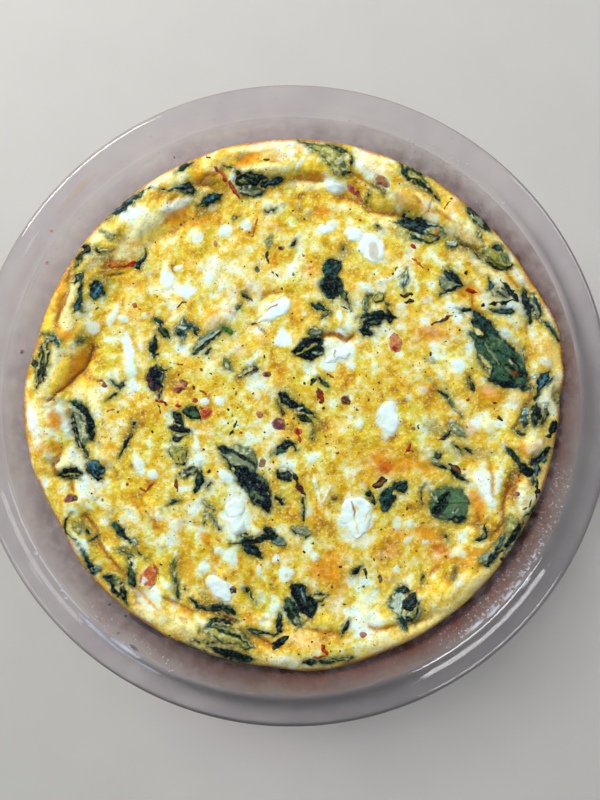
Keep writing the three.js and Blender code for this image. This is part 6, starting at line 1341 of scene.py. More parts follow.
    (66, -70, 76, -63, 0, 5, 0.3, 0.5, "cream"),
    (90, -42, 88.6, -45.6, 0, 2.4, 0, 0.8, "tan"),
    (-68, -54, -58.6, -57.6, 0.3, 4.4, 0, 0.75, "olive"),
    (-70, -57.4, -60, -68.6, 0.3, 1.2, -0.5, 0.9, "burnt"),
    (-60, -68.4, -50.4, -77.6, 0.2, 1.3, -0.4, 0.85, "orange"),
    (-41, -58, -39, -65, 0.3, 6, 0, 0.6, "ochre"),
    (-46.6, -80, -36, -86, 0.3, 7, 0.4, 0.7, "cream"),
    (-60, -76, -51, -82, 0, 5, 0.4, 0.7, "cream"),
    (-42, -77, -35, -78.4, -0.3, 1.6, -0.2, 0.8, "orange"),
    (-44, -79.5, -38.6, -81.2, 0, 1.2, 0, 0.7, "orange"),
    (-35, -71.5, -30, -74.6, 0, 3.6, 0, 0.7, "olive"),
    (-47, -73.4, -43.4, -77, 0, 3, 0, 0.5, "ochre"),
    (-28, -62, -25, -67, 0.3, 4, 0.3, 0.8, "yellow"),
    (-25.4, -64.6, -25.2, -67, 0, 1.3, 0, 0.8, "brown"),
    (-52.8, -43, -52, -47.6, 0.2, 1.6, -0.2, 0.85, "rust"),
    (-52.4, -41, -49.4, -43.4, 0, 3.4, 0.3, 0.7, "white"),
    (-49, -45.6, -47, -46.4, 0, 1.4, 0, 0.8, "orange"),
    (-37.6, -44.6, -34, -45.4, 0, 3, 0, 0.8, "ochre"),
    (-34.6, -48.6, -30.6, -52, 0, 4, 0, 0.8, "orange"),
    (-28.8, -51, -26.8, -51.2, 0, 1.4, 0, 0.9, "rust"),
    (-61, -70.6, -57, -72.6, 0, 3, 0, 0.35, "brown"),
    (-44, -55, -44.4, -59, 0, 1.2, 0.3, 0.9, "white"),
    (9.3, -57.8, 10, -58, 0, 1.1, 0, 0.7, "tan"),
    (-2, -64, -2, -65.4, 0, 1.2, 0, 0.7, "tan"),
    (-5.2, -60.4, -4.6, -59.6, 0, 1.8, 0, 0.6, "grey"),
    (6, -62, 18, -64, 0, 9, 0, 0.7, "orange"),
    (14, -54, 17, -72, 0, 9, 0, 0.45, "orange"),
    (9, -61, 13, -64, 0, 3, 0, 0.4, "rust"),
    (-7.4, -68, -3.6, -66.6, 0, 2.6, 0, 0.8, "yellow"),
    (4, -82, 16, -80.6, 0.3, 5, 0.3, 0.7, "yellow"),
    (6, -83.4, 16, -84, 0, 3, 0.2, 0.5, "lime"),
    (2, -84.8, 17.4, -87, 0.4, 1, -0.4, 0.85, "orange"),
    (9.8, -77.6, 1.2, -86, 0.4, 1.1, -0.4, 0.8, "burnt"),
    (-20, -86, -6, -91.6, 0.3, 1.2, -0.5, 0.9, "burnt"),
    (-17, -88.4, -9, -91.4, 0, 1.6, 0, 0.6, "orange"),
    (-14, -87.4, -7, -89.6, 0, 1.8, 0, 0.6, "orange"),
    (-2, -88.6, 12, -91, 0.4, 5, 0.4, 0.6, "peach"),
    (-12.4, -72, -10.8, -73, 0, 3, 0, 0.5, "grey"),
    (5.6, -69, 8.6, -69.8, 0, 3, 0, 0.7, "tan"),
    (50, -42.4, 51.6, -41.6, 0, 2.4, 0, 0.7, "ochre"),
    (37, -48, 45, -49.4, 0, 4, 0, 0.6, "orange"),
    (47, -47, 54, -49.4, 0, 4.6, 0, 0.7, "orange"),
    (56, -50, 58.6, -50.6, 0, 2.4, 0, 0.8, "rust"),
    (54, -54, 59.5, -55, 0, 4.6, 0, 0.7, "rust"),
    (56.4, -60.4, 52.4, -64.8, 0, 2, 0, 0.85, "rust"),
    (59, -57, 59, -58.2, 0, 1, 0, 0.8, "rust"),
    (38.8, -52.4, 38.8, -58.6, 0, 3.4, 0, 0.7, "tan"),
    (31.6, -56.6, 37, -57.6, 0, 3.6, 0, 0.5, "beige"),
    (35.4, -66.4, 41, -66.4, 0, 2.6, 0, 0.6, "beige"),
    (64.4, -61.4, 59, -69, -0.4, 1.8, -0.3, 0.8, "olive"),
    (60.6, -65.6, 59, -69, 0, 2.4, 0, 0.6, "rust"),
    (29.4, -83.4, 38.8, -83.8, -1, 1.1, -0.3, 0.9, "orange"),
    (46.6, -82.8, 53.4, -79.6, 0, 1.3, -0.3, 0.85, "orange"),
    (50, -72, 62, -70, 0.4, 9, 0.5, 0.6, "yellow"),
    (48, -84, 62, -74, -0.8, 5, 0.4, 0.6, "cream"),
    (16, -68, 20, -72, 0, 5, 0, 0.6, "ochre"),
    (16, -82, 19, -85, 0, 4, 0, 0.5, "lime"),
    (25, -72.6, 28.6, -79.6, 0.3, 4.6, 0.4, 0.8, "cream"),
    (31.4, -69.2, 35, -71.6, 0, 1.4, 0, 0.6, "grey"),
]


def ease(value):
    """A smooth step from 0 to 1."""
    t = np.clip(value, 0, 1)
    return t * t * (3 - 2 * t)


def linear(rgb):
    """An 8-bit sRGB colour as linear light."""
    c = np.asarray(rgb, float) / 255
    return np.where(c <= 0.04045, c / 12.92, ((c + 0.055) / 1.055) ** 2.4)


def seen(name):
    """One of the named tints as linear light."""
    return linear(TINTS[name])


def lattice(i, j, seed):
    """A repeatable random number from 0 to 1 for each whole i and j."""
    n = (i * 374761393 + j * 668265263 + seed * 974634777) & 0xFFFFFFFF
    n = ((n ^ (n >> 13)) * 1274126177) & 0xFFFFFFFF
    return ((n ^ (n >> 16)) & 0xFFFF) / 65535.0


def noise(x, y, size, seed):
    """Smooth random values from 0 to 1 that change over about size millimetres."""
    u = x / size + 1000
    v = y / size + 1000
    i = np.floor(u).astype(np.int64)
    j = np.floor(v).astype(np.int64)
    fu = ease(u - i)
    fv = ease(v - j)
    low = lattice(i, j, seed) * (1 - fu) + lattice(i + 1, j, seed) * fu
    high = lattice(i, j + 1, seed) * (1 - fu) + lattice(i + 1, j + 1, seed) * fu
    return low * (1 - fv) + high * fv


def rough(x, y, size, seed, octaves=3):
    """Noise of several sizes added up, from -1 to 1."""
    total = np.zeros_like(x)
    weight = 0.0
    for k in range(octaves):
        share = 0.55**k
        turn = 0.7 * k
        xr = x * math.cos(turn) - y * math.sin(turn)
        yr = x * math.sin(turn) + y * math.cos(turn)
        total += share * (2 * noise(xr, yr, size / 2**k, seed + 17 * k) - 1)
        weight += share
    return total / weight


def field(name, x, y):
    """One of the named noise fields, from -1 to 1."""
    return rough(x, y, *FIELDS[name])


def shaded(tone, stops):
    """The colour at each tone from a list of tones and their 8-bit colours."""
    at = [stop[0] for stop in stops]
    channels = np.array([linear(stop[1:]) for stop in stops])
    return np.stack([np.interp(tone, at, channels[:, k]) for k in range(3)], axis=-1)


def mix(a, b, share):
    """Colours from a towards b by a share each."""
    share = np.asarray(share)[..., None]
    return a * (1 - share) + b * share


# The shape of the egg


def edge_radius(angle):
    """The radius of the quiche's upper edge in a direction."""
    turns = np.array([row[0] for row in EDGE_TURNS], float)
    radii = np.array([row[1] for row in EDGE_TURNS], float)
    turn = np.clip(np.degrees(angle), -180, 180)
    after = np.clip(np.searchsorted(turns, turn), 1, len(turns) - 1)
    share = ease((turn - turns[after - 1]) / (turns[after] - turns[after - 1]))
    return radii[after - 1] + (radii[after] - radii[after - 1]) * share


LIP_CENTRE_HEIGHT = DISH_HEIGHT - FLANGE_RISE - LIP_ROLL
WALL_TOP_RADIUS = OPENING_RADIUS - LIP_ROLL * math.cos(LEAN)
WALL_TOP_HEIGHT = LIP_CENTRE_HEIGHT + LIP_ROLL * math.sin(LEAN)
BASE_ARC_CENTRE_HEIGHT = GLASS + BASE_FILLET
FLANGE_TOP = DISH_HEIGHT - 0.3 * FLANGE_RISE


def wall_radius(height):
    """The dish's inner radius at a height, on the straight stretch of its wall."""
    return WALL_TOP_RADIUS - (WALL_TOP_HEIGHT - height) * math.tan(LEAN)


BASE_ARC_CENTRE_RADIUS = wall_radius(GLASS) - BASE_FILLET * math.tan((math.pi / 2 - LEAN) / 2)


def cavity_radius(height):
    """The dish's inner radius at a height, the rounded foot of the wall included."""
    drop = BASE_ARC_CENTRE_HEIGHT - height
    if drop <= BASE_FILLET * math.sin(LEAN):
        return wall_radius(height)
    return BASE_ARC_CENTRE_RADIUS + math.sqrt(max(0, BASE_FILLET**2 - drop**2))


def edge_height(angle):
    """The height of the quiche's edge: where it touches the wall it has climbed it."""
    clear = edge_radius(angle) + SIDE_GAP / math.cos(LEAN)
    return np.maximum(EDGE_HEIGHT, WALL_TOP_HEIGHT - (WALL_TOP_RADIUS - clear) / math.tan(LEAN))


def section(share, edge):
    """The rounded section of the top, from the sunken middle over the puffed rim to the edge."""
    radius = share * EDGE_RADIUS
    middle = MIDDLE_HEIGHT + (TROUGH_HEIGHT - MIDDLE_HEIGHT) * ease(radius / TROUGH_RADIUS)
    rise = ease((radius - TROUGH_RADIUS) / (CREST_RADIUS - TROUGH_RADIUS))
    puff = TROUGH_HEIGHT + (CREST_HEIGHT - TROUGH_HEIGHT) * rise
    fall = np.clip((radius - CREST_RADIUS) / (EDGE_RADIUS - CREST_RADIUS), 0, 1)
    brow = edge + (CREST_HEIGHT - edge) * np.sqrt(1 - fall * fall)
    return np.where(radius < TROUGH_RADIUS, middle, np.where(radius < CREST_RADIUS, puff, brow))


def ellipse(x, y, place):
    """How far out of an ellipse each point is: 0 in its middle and 1 on its outline."""
    cx, cy, long, wide, turn = place
    a = math.radians(turn)
    u = ((x - cx) * math.cos(a) + (y - cy) * math.sin(a)) / long
    v = ((y - cy) * math.cos(a) - (x - cx) * math.sin(a)) / wide
    return np.sqrt(u * u + v * v)


def bump(x, y, place):
    """A soft round bump of height 1."""
    return np.exp(-(ellipse(x, y, place) ** 2))


def line_distance(x, y, bends):
    """How far each point is from a bent line."""
    nearest = np.full(x.shape, np.inf)
    for ax, ay, bx, by in zip(bends[0:-2:2], bends[1:-2:2], bends[2::2], bends[3::2]):
        dx = bx - ax
        dy = by - ay
        t = np.clip(((x - ax) * dx + (y - ay) * dy) / (dx * dx + dy * dy), 0, 1)
        nearest = np.minimum(nearest, np.hypot(x - ax - t * dx, y - ay - t * dy))
    return nearest


def creases(x, y):
    """How deep each point lies in a fine crease, from 0 up."""
    wobble = CREASE_WOBBLE * field("crease_wobble", x, y)
    total = np.zeros_like(x)
    for depth, *bends in CREASES:
        away = line_distance(x + wobble, y - wobble, bends)
        total = np.maximum(total, depth * np.exp(-((away / CREASE_HALF_WIDTH) ** 2)))
    return total


def form(x, y):
    """The egg's height as the solid has it."""
    angle = np.arctan2(y, x)
    z = section(np.hypot(x, y) / edge_radius(angle), edge_height(angle))
    for *place, rise in LOBES:
        z = z + rise * bump(x, y, place)
    for *place, drop in HOLLOWS:
        z = z - drop * bump(x, y, place)
    for depth, *bends in FOLDS:
        z = z - depth * np.exp(-((line_distance(x, y, bends) / FOLD_HALF_WIDTH) ** 2))
    return z


def rim_streaks(x, y, seed):
    """Noise drawn out along the puffed rim, and none in the middle."""
    radius = np.hypot(x, y)
    around = np.arctan2(y, x) * EDGE_RADIUS
    streaks = rough(around / STREAK_STRETCH, radius, STREAK_SIZE, seed, 3)
    return streaks * ease((radius - STREAK_START) / STREAK_FADE)


def height(x, y):
    """The egg's height with its bubbles, streaks, white spots, ridges and fine creases."""
    z = form(x, y)
    z = z + BUBBLE_HEIGHT * field("bubbles", x, y) + GRAIN_HEIGHT * field("grains", x, y)
    z = z + STREAK_HEIGHT * rim_streaks(x, y, STREAK_RELIEF_SEED)
    for *place, strength in WHITES:
        z = z + WHITE_SPOT_HEIGHT * strength * bump(x, y, place)
    for row in STROKES:
        width, rise = row[5:7]
        if rise:
            z = z + rise * ease(0.5 + stroke_inside(row, x, y) / width)
    return z - CREASE_SHARE * creases(x, y)


# The toppings, as fields that are above 0 inside and below 0 outside, in millimetres


def blade(row, x, y):
    """The signed depth inside a blade, and how far along and across it each point is."""
    x0, y0, x1, y1, bend, width, widest, blunt = row[:8]
    length = math.hypot(x1 - x0, y1 - y0)
    dx = (x1 - x0) / length
    dy = (y1 - y0) / length
    reach = ((x - x0) * dx + (y - y0) * dy) / length
    t = np.clip(reach, 0, 1)
    across = (y - y0) * dx - (x - x0) * dy - bend * 4 * t * (1 - t)
    power = math.log(0.5) / math.log(widest)
    half = width / 2 * np.sin(math.pi * t**power) ** blunt
    half = np.maximum(half, TIP_HALF_WIDTH)
    past = length * np.maximum(np.maximum(-reach, reach - 1), 0)
    return half - np.hypot(across, past), reach * length, across


def stroke_inside(row, x, y):
    """The signed depth inside a stroke."""
    return blade(row[:6] + STROKE_SHAPE, x, y)[0]


def outline_shift(x, y, seed):
    """How far noise moves an outline at each point."""
    return 0.8 * rough(x, y, 3.6, seed, 2) + 0.4 * rough(x, y, 1.3, seed + 2, 1)


def ragged(x, y, by=1.0):
    """Points shifted a little by noise, so that outlines drawn through them wander."""
    return x + by * outline_shift(x, y, 51), y + by * outline_shift(x, y, 67)


def leaf_depth(rows, x, y):
    """The signed depth inside the union of some blades, torn at the edges and filmed over by egg in spots."""
    xr, yr = ragged(x, y)
    depth = np.full(x.shape, -99.0)
    for row in rows:
        depth = np.maximum(depth, blade(row, xr, yr)[0])
    film = np.clip(field("egg_over_leaf", x, y) - EGG_FILM_THRESHOLD, 0, 1)
    return depth + LEAF_SPREAD + LEAF_TEAR * field("leaf_tear", x, y) - EGG_FILM_DEPTH * film


def is_blade(row):
    """Whether a row of a topping is a blade, and not an ellipse."""
    return len(row) == 9


def lump_inside(row, x, y):
    """The signed depth inside one lump, which is a blade or an ellipse."""
    if is_blade(row):
        return blade(row, x, y)[0]
    return (1 - ellipse(x, y, row[:5])) * min(row[2], row[3])


def lump_depth(rows, x, y):
    """The signed depth inside the union of some lumps."""
    xr, yr = ragged(x, y, 0.7)
    depth = np.maximum.reduce([lump_inside(row, xr, yr) for row in rows])
    return depth + 0.15 * field("lump_outline", x, y)


def leaf_lift(rows, x, y, depth):
    """How high a leaf's top is over the egg: sunk at its edge, wrinkled inside."""
    wrinkles = WRINKLE_HEIGHT * field("wrinkles", x, y)
    veins = 0.0
    for row in rows:
        inside, _, across = blade(row, x, y)
        veins = np.maximum(veins, np.exp(-((across / VEIN_HALF_WIDTH) ** 2)) * ease(inside / VEIN_FADE))
    return -LEAF_SUNK + (LEAF_PROUD + wrinkles - VEIN_DEPTH * veins) * ease(depth / LEAF_SHOULDER)


def lump_lift(rows, x, y, depth):
    """How high a lump's flat top is over the egg."""
    tall = CHEESE_PROUD if is_blade(rows[0]) else LUMP_TOP_SHARE * max(row[5] for row in rows)
    flat_top = np.sqrt(ease(depth / LUMP_SHOULDER))
    return -LUMP_SUNK + tall * flat_top + LUMP_WAVES * field("lump_waves", x, y) * flat_top


def leaf_paint(rows, x, y, depth):
    """Each point's colour: every blade painted over the ones before, streaked and mottled, with a painted
    sheen on dark leaves.
    """
    colour = None
    xr, yr = ragged(x, y)
    cloud = field("leaf_clouds", x, y)
    broad = field("leaf_areas", x, y)
    for row in rows:
        inside, along, across = blade(row, xr, yr)
        streaks = field("leaf_streaks", along, across * LEAF_STREAK_STRETCH)
        inner, edge = row[8]
        tint = mix(linear(PAINTS[edge]), linear(PAINTS[inner]), ease((inside - 0.2) / 1.0 + 0.5 * streaks))
        tint = tint * (1 + 0.5 * cloud[..., None])
        if inner in FIBROUS_PAINTS:
            tint = mix(tint, seen("leaf_fibre"), 0.9 * ease((streaks - 0.1) * 4))
        if inner in DARK_PAINTS:
            # Painted sheen: teal and green streaks on dark leaves stand partly for the wet leaf's highlights,
            # partly for its own tone
            light = mix(seen("leaf_teal_and_sheen"), seen("leaf_green_and_sheen"), ease(0.5 + 1.4 * broad))
            tint = mix(tint, light, 0.8 * ease((streaks + 0.9 * cloud - 0.22) * LEAF_CONTRAST))
            tint = mix(tint, seen("leaf_black"), 0.9 * ease((-streaks - 0.6 * cloud - 0.02) * LEAF_CONTRAST))
        if inner in PALE_PAINTS:
            tint = mix(tint, seen("leaf_olive"), 0.75 * ease((cloud + 0.4 * streaks - 0.1) * LEAF_CONTRAST))
            tint = mix(tint, seen("leaf_pale"), 0.6 * ease((-cloud - 0.5 * broad - 0.15) * LEAF_CONTRAST))
        colour = tint if colour is None else mix(colour, tint, ease(0.5 + inside / SOFT_EDGE))
    film = 0.7 * ease((0.55 - depth + 0.5 * field("leaf_rim", x, y)) / 0.7)
    around = egg_paint(x, y, height(x, y))
    return mix(np.clip(colour, 0, 1), mix(around, seen("green_egg"), 0.6), film)


def lump_paint(rows, x, y, depth):
    """The colour of a lump: each row's paint over the ones before, fading into the egg at the edge."""
    grain = field("lump_grain", x, y)
    xr, yr = ragged(x, y, 0.7)
    colour = np.zeros(x.shape + (3,))
    for row in rows:
        own = linear(PAINTS[row[-1][0]])
        share = ease(0.5 + lump_inside(row, xr, yr) / SOFT_EDGE) if row is not rows[0] else 1.0
        colour = mix(colour, np.broadcast_to(own, colour.shape), np.broadcast_to(share, x.shape))
    around = egg_paint(x, y, height(x, y))
    if rows[0][-1][0] == "w":
        hollow = ease(0.9 * field("cheese_hollows", x, y) - 0.1)
        colour = mix(colour, seen("cheese_hollow"), 0.55 * hollow)
        rim = ease((1.5 - depth) / 1.5 + 0.7 * field("cheese_rim", x, y))
        return mix(colour, mix(around, seen("cheese_rim"), 0.4), 0.85 * rim)
    colour = mix(colour, linear(PAINTS["p"]), 0.45 * ease(1.6 * grain - 0.1))
    colour = mix(colour, seen("tomato_pale"), 0.5 * ease(-1.6 * grain - 0.2))
    rim = ease((0.9 - depth) / 1.1 + 0.5 * field("tomato_rim", x, y))
    return mix(colour, around, 0.75 * rim)


# Colours of the egg


def nearby(rows, x, y, reach=30):
    """The rows whose first point is near some of the points."""
    left, right = x.min() - reach, x.max() + reach
    low, high = y.min() - reach, y.max() + reach
    return [row for row in rows if left < row[0] < right and low < row[1] < high]


def whiteness(x, y, wander):
    """How much of each point is a white spot of cheese."""
    share = np.zeros(x.shape)
    for *place, strength in nearby(WHITES, x, y):
        inside = SPOT_REACH - ellipse(x, y, place) * wander
        share = np.maximum(share, strength * ease(SPOT_SHARPNESS * inside))
    return share


def browned(x, y):
    """How much of each point is a browned, orange or ochre streak, the ochre partly painted shade, which has
    no pale specks.
    """
    share = np.zeros(x.shape)
    for row in nearby(STROKES, x, y):
        width, _, strength, paint = row[5:]
        if paint in BROWN_STROKES:
            inside = stroke_inside(row, x, y)
            share = np.maximum(share, strength * ease(0.5 + inside / (0.4 * width)))
    return share


def egg_paint(x, y, z):
    """Each point's colour on the egg's top."""
    angle = np.arctan2(y, x)
    radius = np.hypot(x, y) / edge_radius(angle)
    broad = field("egg_broad", x, y)
    middling = field("egg_middling", x, y)
    small = field("egg_small", x, y)
    fine = field("egg_fine", x, y)
    relief = z - section(radius, edge_height(angle))
    tone = TONE_MIDDLE + TONE_BROAD * broad + TONE_MIDDLING * middling + TONE_SMALL * small + TONE_FINE * fine
    # Painted shade and light: the relief's lower parts are toned darker and its raised parts paler
    tone = tone + PAINTED_RELIEF_SHADE * np.clip(relief, *PAINTED_RELIEF_SHADE_RANGE)
    tone = tone + TONE_STREAKS * rim_streaks(x, y, STREAK_COLOUR_SEED)
    warm = (field("warmth_broad", x, y) + 0.8 * field("warmth_small", x, y))[..., None]
    colour = shaded(tone, EGG_TONES) * (1 + WARMTH * warm)
    stain = ease(1.8 * field("stains", x, y) - 0.7)
    colour = mix(colour, seen("stain"), 0.6 * stain)
    wander = 1 + 0.45 * field("spot_outline", x, y) + 0.2 * fine
    for *place, strength, paint in nearby(PATCHES, x, y):
        share = strength * np.exp(-((ellipse(x, y, place) * wander) ** 2.4))
        colour = mix(colour, linear(PAINTS[paint]) * (1 + 0.3 * fine[..., None]), 0.8 * share)
    colour = mix(colour, seen("white_spot"), 0.97 * whiteness(x, y, wander))
    # The strokes paint browned streaks, and painted highlights on the lumps and painted shade in the folds
    for row in nearby(STROKES, x, y):
        width, _, strength, paint = row[5:]
        inside = stroke_inside(row, x + 0.5 * small, y - 0.5 * fine)
        share = strength * ease(0.5 + inside / max(0.6, 0.35 * width))
        colour = mix(colour, linear(STROKE_PAINTS[paint]) * (1 + 0.35 * fine[..., None]), share)
    # Painted light: the rim's edge is made pale and golden where it faces the lower right, as if lit there
    facing = 0.5 + 0.5 * np.cos(angle - RIM_LIGHT_DIRECTION)
    rim_light = ease((radius - RIM_LIGHT_START) / RIM_LIGHT_FADE) * facing**2
    colour = mix(colour, seen("painted_rim_light"), 0.55 * rim_light)
    # The creases are painted browner and darker: partly the skin's browning, partly painted shade
    groove = creases(x, y)
    colour = mix(colour, seen("crease_side"), 0.6 * ease(groove * 2.6))
    colour = mix(colour, seen("crease"), 0.85 * ease((groove - 0.3) * 2.4))
    baked = ease((radius - BAKED_EDGE_START + 0.01 * middling) / BAKED_EDGE_FADE)
    return mix(colour, seen("baked_edge"), 0.9 * baked)


def leaf_halo(x, y, colour):
    """The egg's colour with the green tint that leaves give it round their edges, and a painted shadow close
    beside them.
    """
    rows = [row for group in LEAVES.values() for row in group]
    rows = rows + [row for row in BITS if row[8][0] in GREEN_PAINTS]
    outside = np.minimum(leaf_depth(rows, x, y), 0)
    patchy = np.clip(0.75 + 0.9 * field("leaf_glow", x, y), 0, 1)
    colour = mix(colour, seen("leaf_glow"), 0.6 * patchy * np.exp(-((outside / GLOW_WIDTH) ** 2)))
    # Painted shadow: a dark olive ring close round each leaf's edge
    return mix(colour, seen("leaf_shade"), 0.75 * np.exp(-((outside / SHADE_WIDTH) ** 2)))


# Meshes


def piece(name, points, faces, material, colours=None):
    """A smooth-shaded mesh from points in millimetres, riding on the one body."""
    mesh = bpy.data.meshes.new(name)
    mesh.from_pydata((np.asarray(points) * MM).tolist(), [], [list(map(int, face)) for face in faces])
    mesh.shade_smooth()
    if colours is not None:
        tint = mesh.color_attributes.new("Tint", "FLOAT_COLOR", "POINT")
        channels = np.ones((len(points), 4))
        channels[:, : colours.shape[1]] = np.clip(colours, 0, 1)
        tint.data.foreach_set("color", channels.ravel())
    mesh.materials.append(material)
    made = bpy.data.objects.new(name, mesh)
    bpy.context.scene.collection.objects.link(made)
    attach(made, "root")
    return made


def patch(depth_of, lift_of, paint_of, rows, margin=1.2, sink=0.9):
    """Points, faces and colours of a thin piece that covers the places where depth_of is above 0."""
    if is_blade(rows[0]):
        reach = max(row[5] for row in rows) / 2 + max(abs(row[4]) for row in rows) + margin
        xs = [v for row in rows for v in (row[0], row[2])]
        ys = [v for row in rows for v in (row[1], row[3])]
    else:
        reach = max(max(row[2], row[3]) for row in rows) + margin
        xs = [row[0] for row in rows]
        ys = [row[1] for row in rows]
    across = np.arange(min(xs) - reach, max(xs) + reach, PATCH_STEP)
    up = np.arange(min(ys) - reach, max(ys) + reach, PATCH_STEP)
    x, y = np.meshgrid(across, up)
    edge = edge_radius(np.arctan2(y, x)) - np.hypot(x, y)
    depth = np.minimum(depth_of(rows, x, y), edge)
    corner = np.maximum.reduce([depth[:-1, :-1], depth[1:, :-1], depth[:-1, 1:], depth[1:, 1:]])
    kept = corner > 0
    slope_y, slope_x = np.gradient(depth, PATCH_STEP)
    steep = np.hypot(slope_x, slope_y) + 1e-6
    pull = np.clip(-depth / steep, 0, LONGEST_PULL) / steep
    x = x + pull * slope_x
    y = y + pull * slope_y
    depth = np.maximum(depth, 0)
    used = np.zeros(x.shape, bool)
    for di, dj in ((0, 0), (1, 0), (0, 1), (1, 1)):
        used[di : di + kept.shape[0], dj : dj + kept.shape[1]] |= kept
    number = np.cumsum(used.ravel()).reshape(used.shape) - 1
    count = int(used.sum())
    x = x[used]
    y = y[used]
    depth = depth[used]
    ground = height(x, y)
    top = np.column_stack([x, y, ground + lift_of(rows, x, y, depth)])
    base = np.column_stack([x, y, ground - sink])
    i, j = np.nonzero(kept)
    corners = np.column_stack([number[i, j], number[i, j + 1], number[i + 1, j + 1], number[i + 1, j]])
    faces = [corners, corners[:, ::-1] + count]
    padded = np.pad(kept, 1)
    for k, (di, dj) in enumerate(((-1, 0), (0, 1), (1, 0), (0, -1))):
        open_side = ~padded[i + 1 + di, j + 1 + dj]
        a = corners[open_side, k]
        b = corners[open_side, (k + 1) % 4]
        faces.append(np.column_stack([b, a, a + count, b + count]))
    colours = paint_of(rows, x, y, depth)
    return np.vstack([top, base]), np.vstack(faces), np.vstack([colours, colours])


def joined(parts):
    """Several patches as one list of points, faces and colours."""
    points, faces, colours = [], [], []
    start = 0
    for part_points, part_faces, part_colours in parts:
        points.append(part_points)
        faces.append(part_faces + start)
        colours.append(part_colours)
        start += len(part_points)
    return np.vstack(points), np.vstack(faces), np.vstack(colours)


def patched(name, parts, material):
    """A piece from the points, faces and colours of a patch."""
    points, faces, colours = parts
    return piece(name, points, faces, material, colours)


def disc_points(cells):
    """A square net of points drawn onto a disc of radius 1, all cells about equal in area."""
    a, b = np.meshgrid(np.linspace(-1, 1, cells + 1), np.linspace(-1, 1, cells + 1))
    wide = np.abs(a) > np.abs(b)
    safe_a = np.where(a == 0, 1, a)
    safe_b = np.where(b == 0, 1, b)
    radius = np.where(wide, a, b)
    angle = np.where(wide, math.pi / 4 * b / safe_a, math.pi / 2 - math.pi / 4 * a / safe_b)
    return radius * np.cos(angle), radius * np.sin(angle)


def side_radius(angle, rim_radius, level, down):
    """The radius of the egg's side at each level: it bulges a little, and lies in the dish's rounded foot."""
    if down == 1:
        return np.full(angle.shape, BASE_ARC_CENTRE_RADIUS)
    bulge = math.sin(math.pi * down)
    cavity = np.array([cavity_radius(h) for h in level]) - SIDE_GAP / math.cos(LEAN) - SIDE_GAP
    radius = np.minimum(cavity, rim_radius + SIDE_BULGE * bulge)
    return radius + SIDE_ROUGHNESS * field("side_relief", angle * SIDE_NOISE_RADIUS, level) * bulge


def side_paint(angle, level, down):
    """The colour of the egg's browned side, paler towards its foot."""
    patchy = ease(0.5 + 0.6 * field("side_patches", angle * SIDE_NOISE_RADIUS, level))
    brown = mix(seen("side_light"), seen("side_dark"), patchy)
    return mix(brown, seen("side_foot"), 0.5 * ease((down - 0.3) / 0.7))


def egg(material):
    """The whole baked egg: its top, its browned side and its flat base."""
    u, v = disc_points(EGG_CELLS)
    reach = edge_radius(np.arctan2(v, u))
    x = (u * reach).ravel()
    y = (v * reach).ravel()
    z = height(x, y)
    points = [np.column_stack([x, y, z])]
    speckle = 1 - np.maximum(whiteness(x, y, 1 + 0.4 * field("spot_outline", x, y)), 0.8 * browned(x, y))
    colours = [np.column_stack([leaf_halo(x, y, egg_paint(x, y, z)), speckle])]
    count = u.size
    index = np.arange(count).reshape(u.shape)
    corners = (index[:-1, :-1], index[:-1, 1:], index[1:, 1:], index[1:, :-1])
    faces = [np.column_stack([corner.ravel() for corner in corners])]
    above = np.concatenate([index[0, :-1], index[:-1, -1], index[-1, :0:-1], index[:0:-1, 0]])
    rim = points[0][above]
    rim_radius = np.hypot(rim[:, 0], rim[:, 1])
    angle = np.arctan2(rim[:, 1], rim[:, 0])
    for k in range(1, EGG_SIDE_ROWS + 1):
        down = k / EGG_SIDE_ROWS
        level = rim[:, 2] * (1 - down) + (GLASS + GAP) * down
        radius = side_radius(angle, rim_radius, level, down)
        points.append(np.column_stack([radius * np.cos(angle), radius * np.sin(angle), level]))
        colours.append(np.column_stack([side_paint(angle, level, down), np.ones(len(rim))]))
        below = np.arange(len(rim)) + count
        count += len(rim)
        faces.append(np.column_stack([above, below, np.roll(below, -1), np.roll(above, -1)]))
        above = below
    made = piece("quiche_egg", np.vstack(points), np.vstack(faces), material, np.vstack(colours))
    close_base(made, above)
    return made


def close_base(made, ring):
    """One flat face across the underside of the egg."""
    net = bmesh.new()
    net.from_mesh(made.data)
    net.verts.ensure_lookup_table()
    net.faces.new([net.verts[int(k)] for k in ring[::-1]])
    bmesh.ops.recalc_face_normals(net, faces=net.faces)
    net.to_mesh(made.data)
    net.free()


def arc(radius, level, size, start, stop, steps):
    """Points of the dish's profile on an arc, the angle measured from straight out."""
    turns = np.radians(np.linspace(start, stop, steps + 1))
    return [(radius + size * math.cos(a), level + size * math.sin(a)) for a in turns]


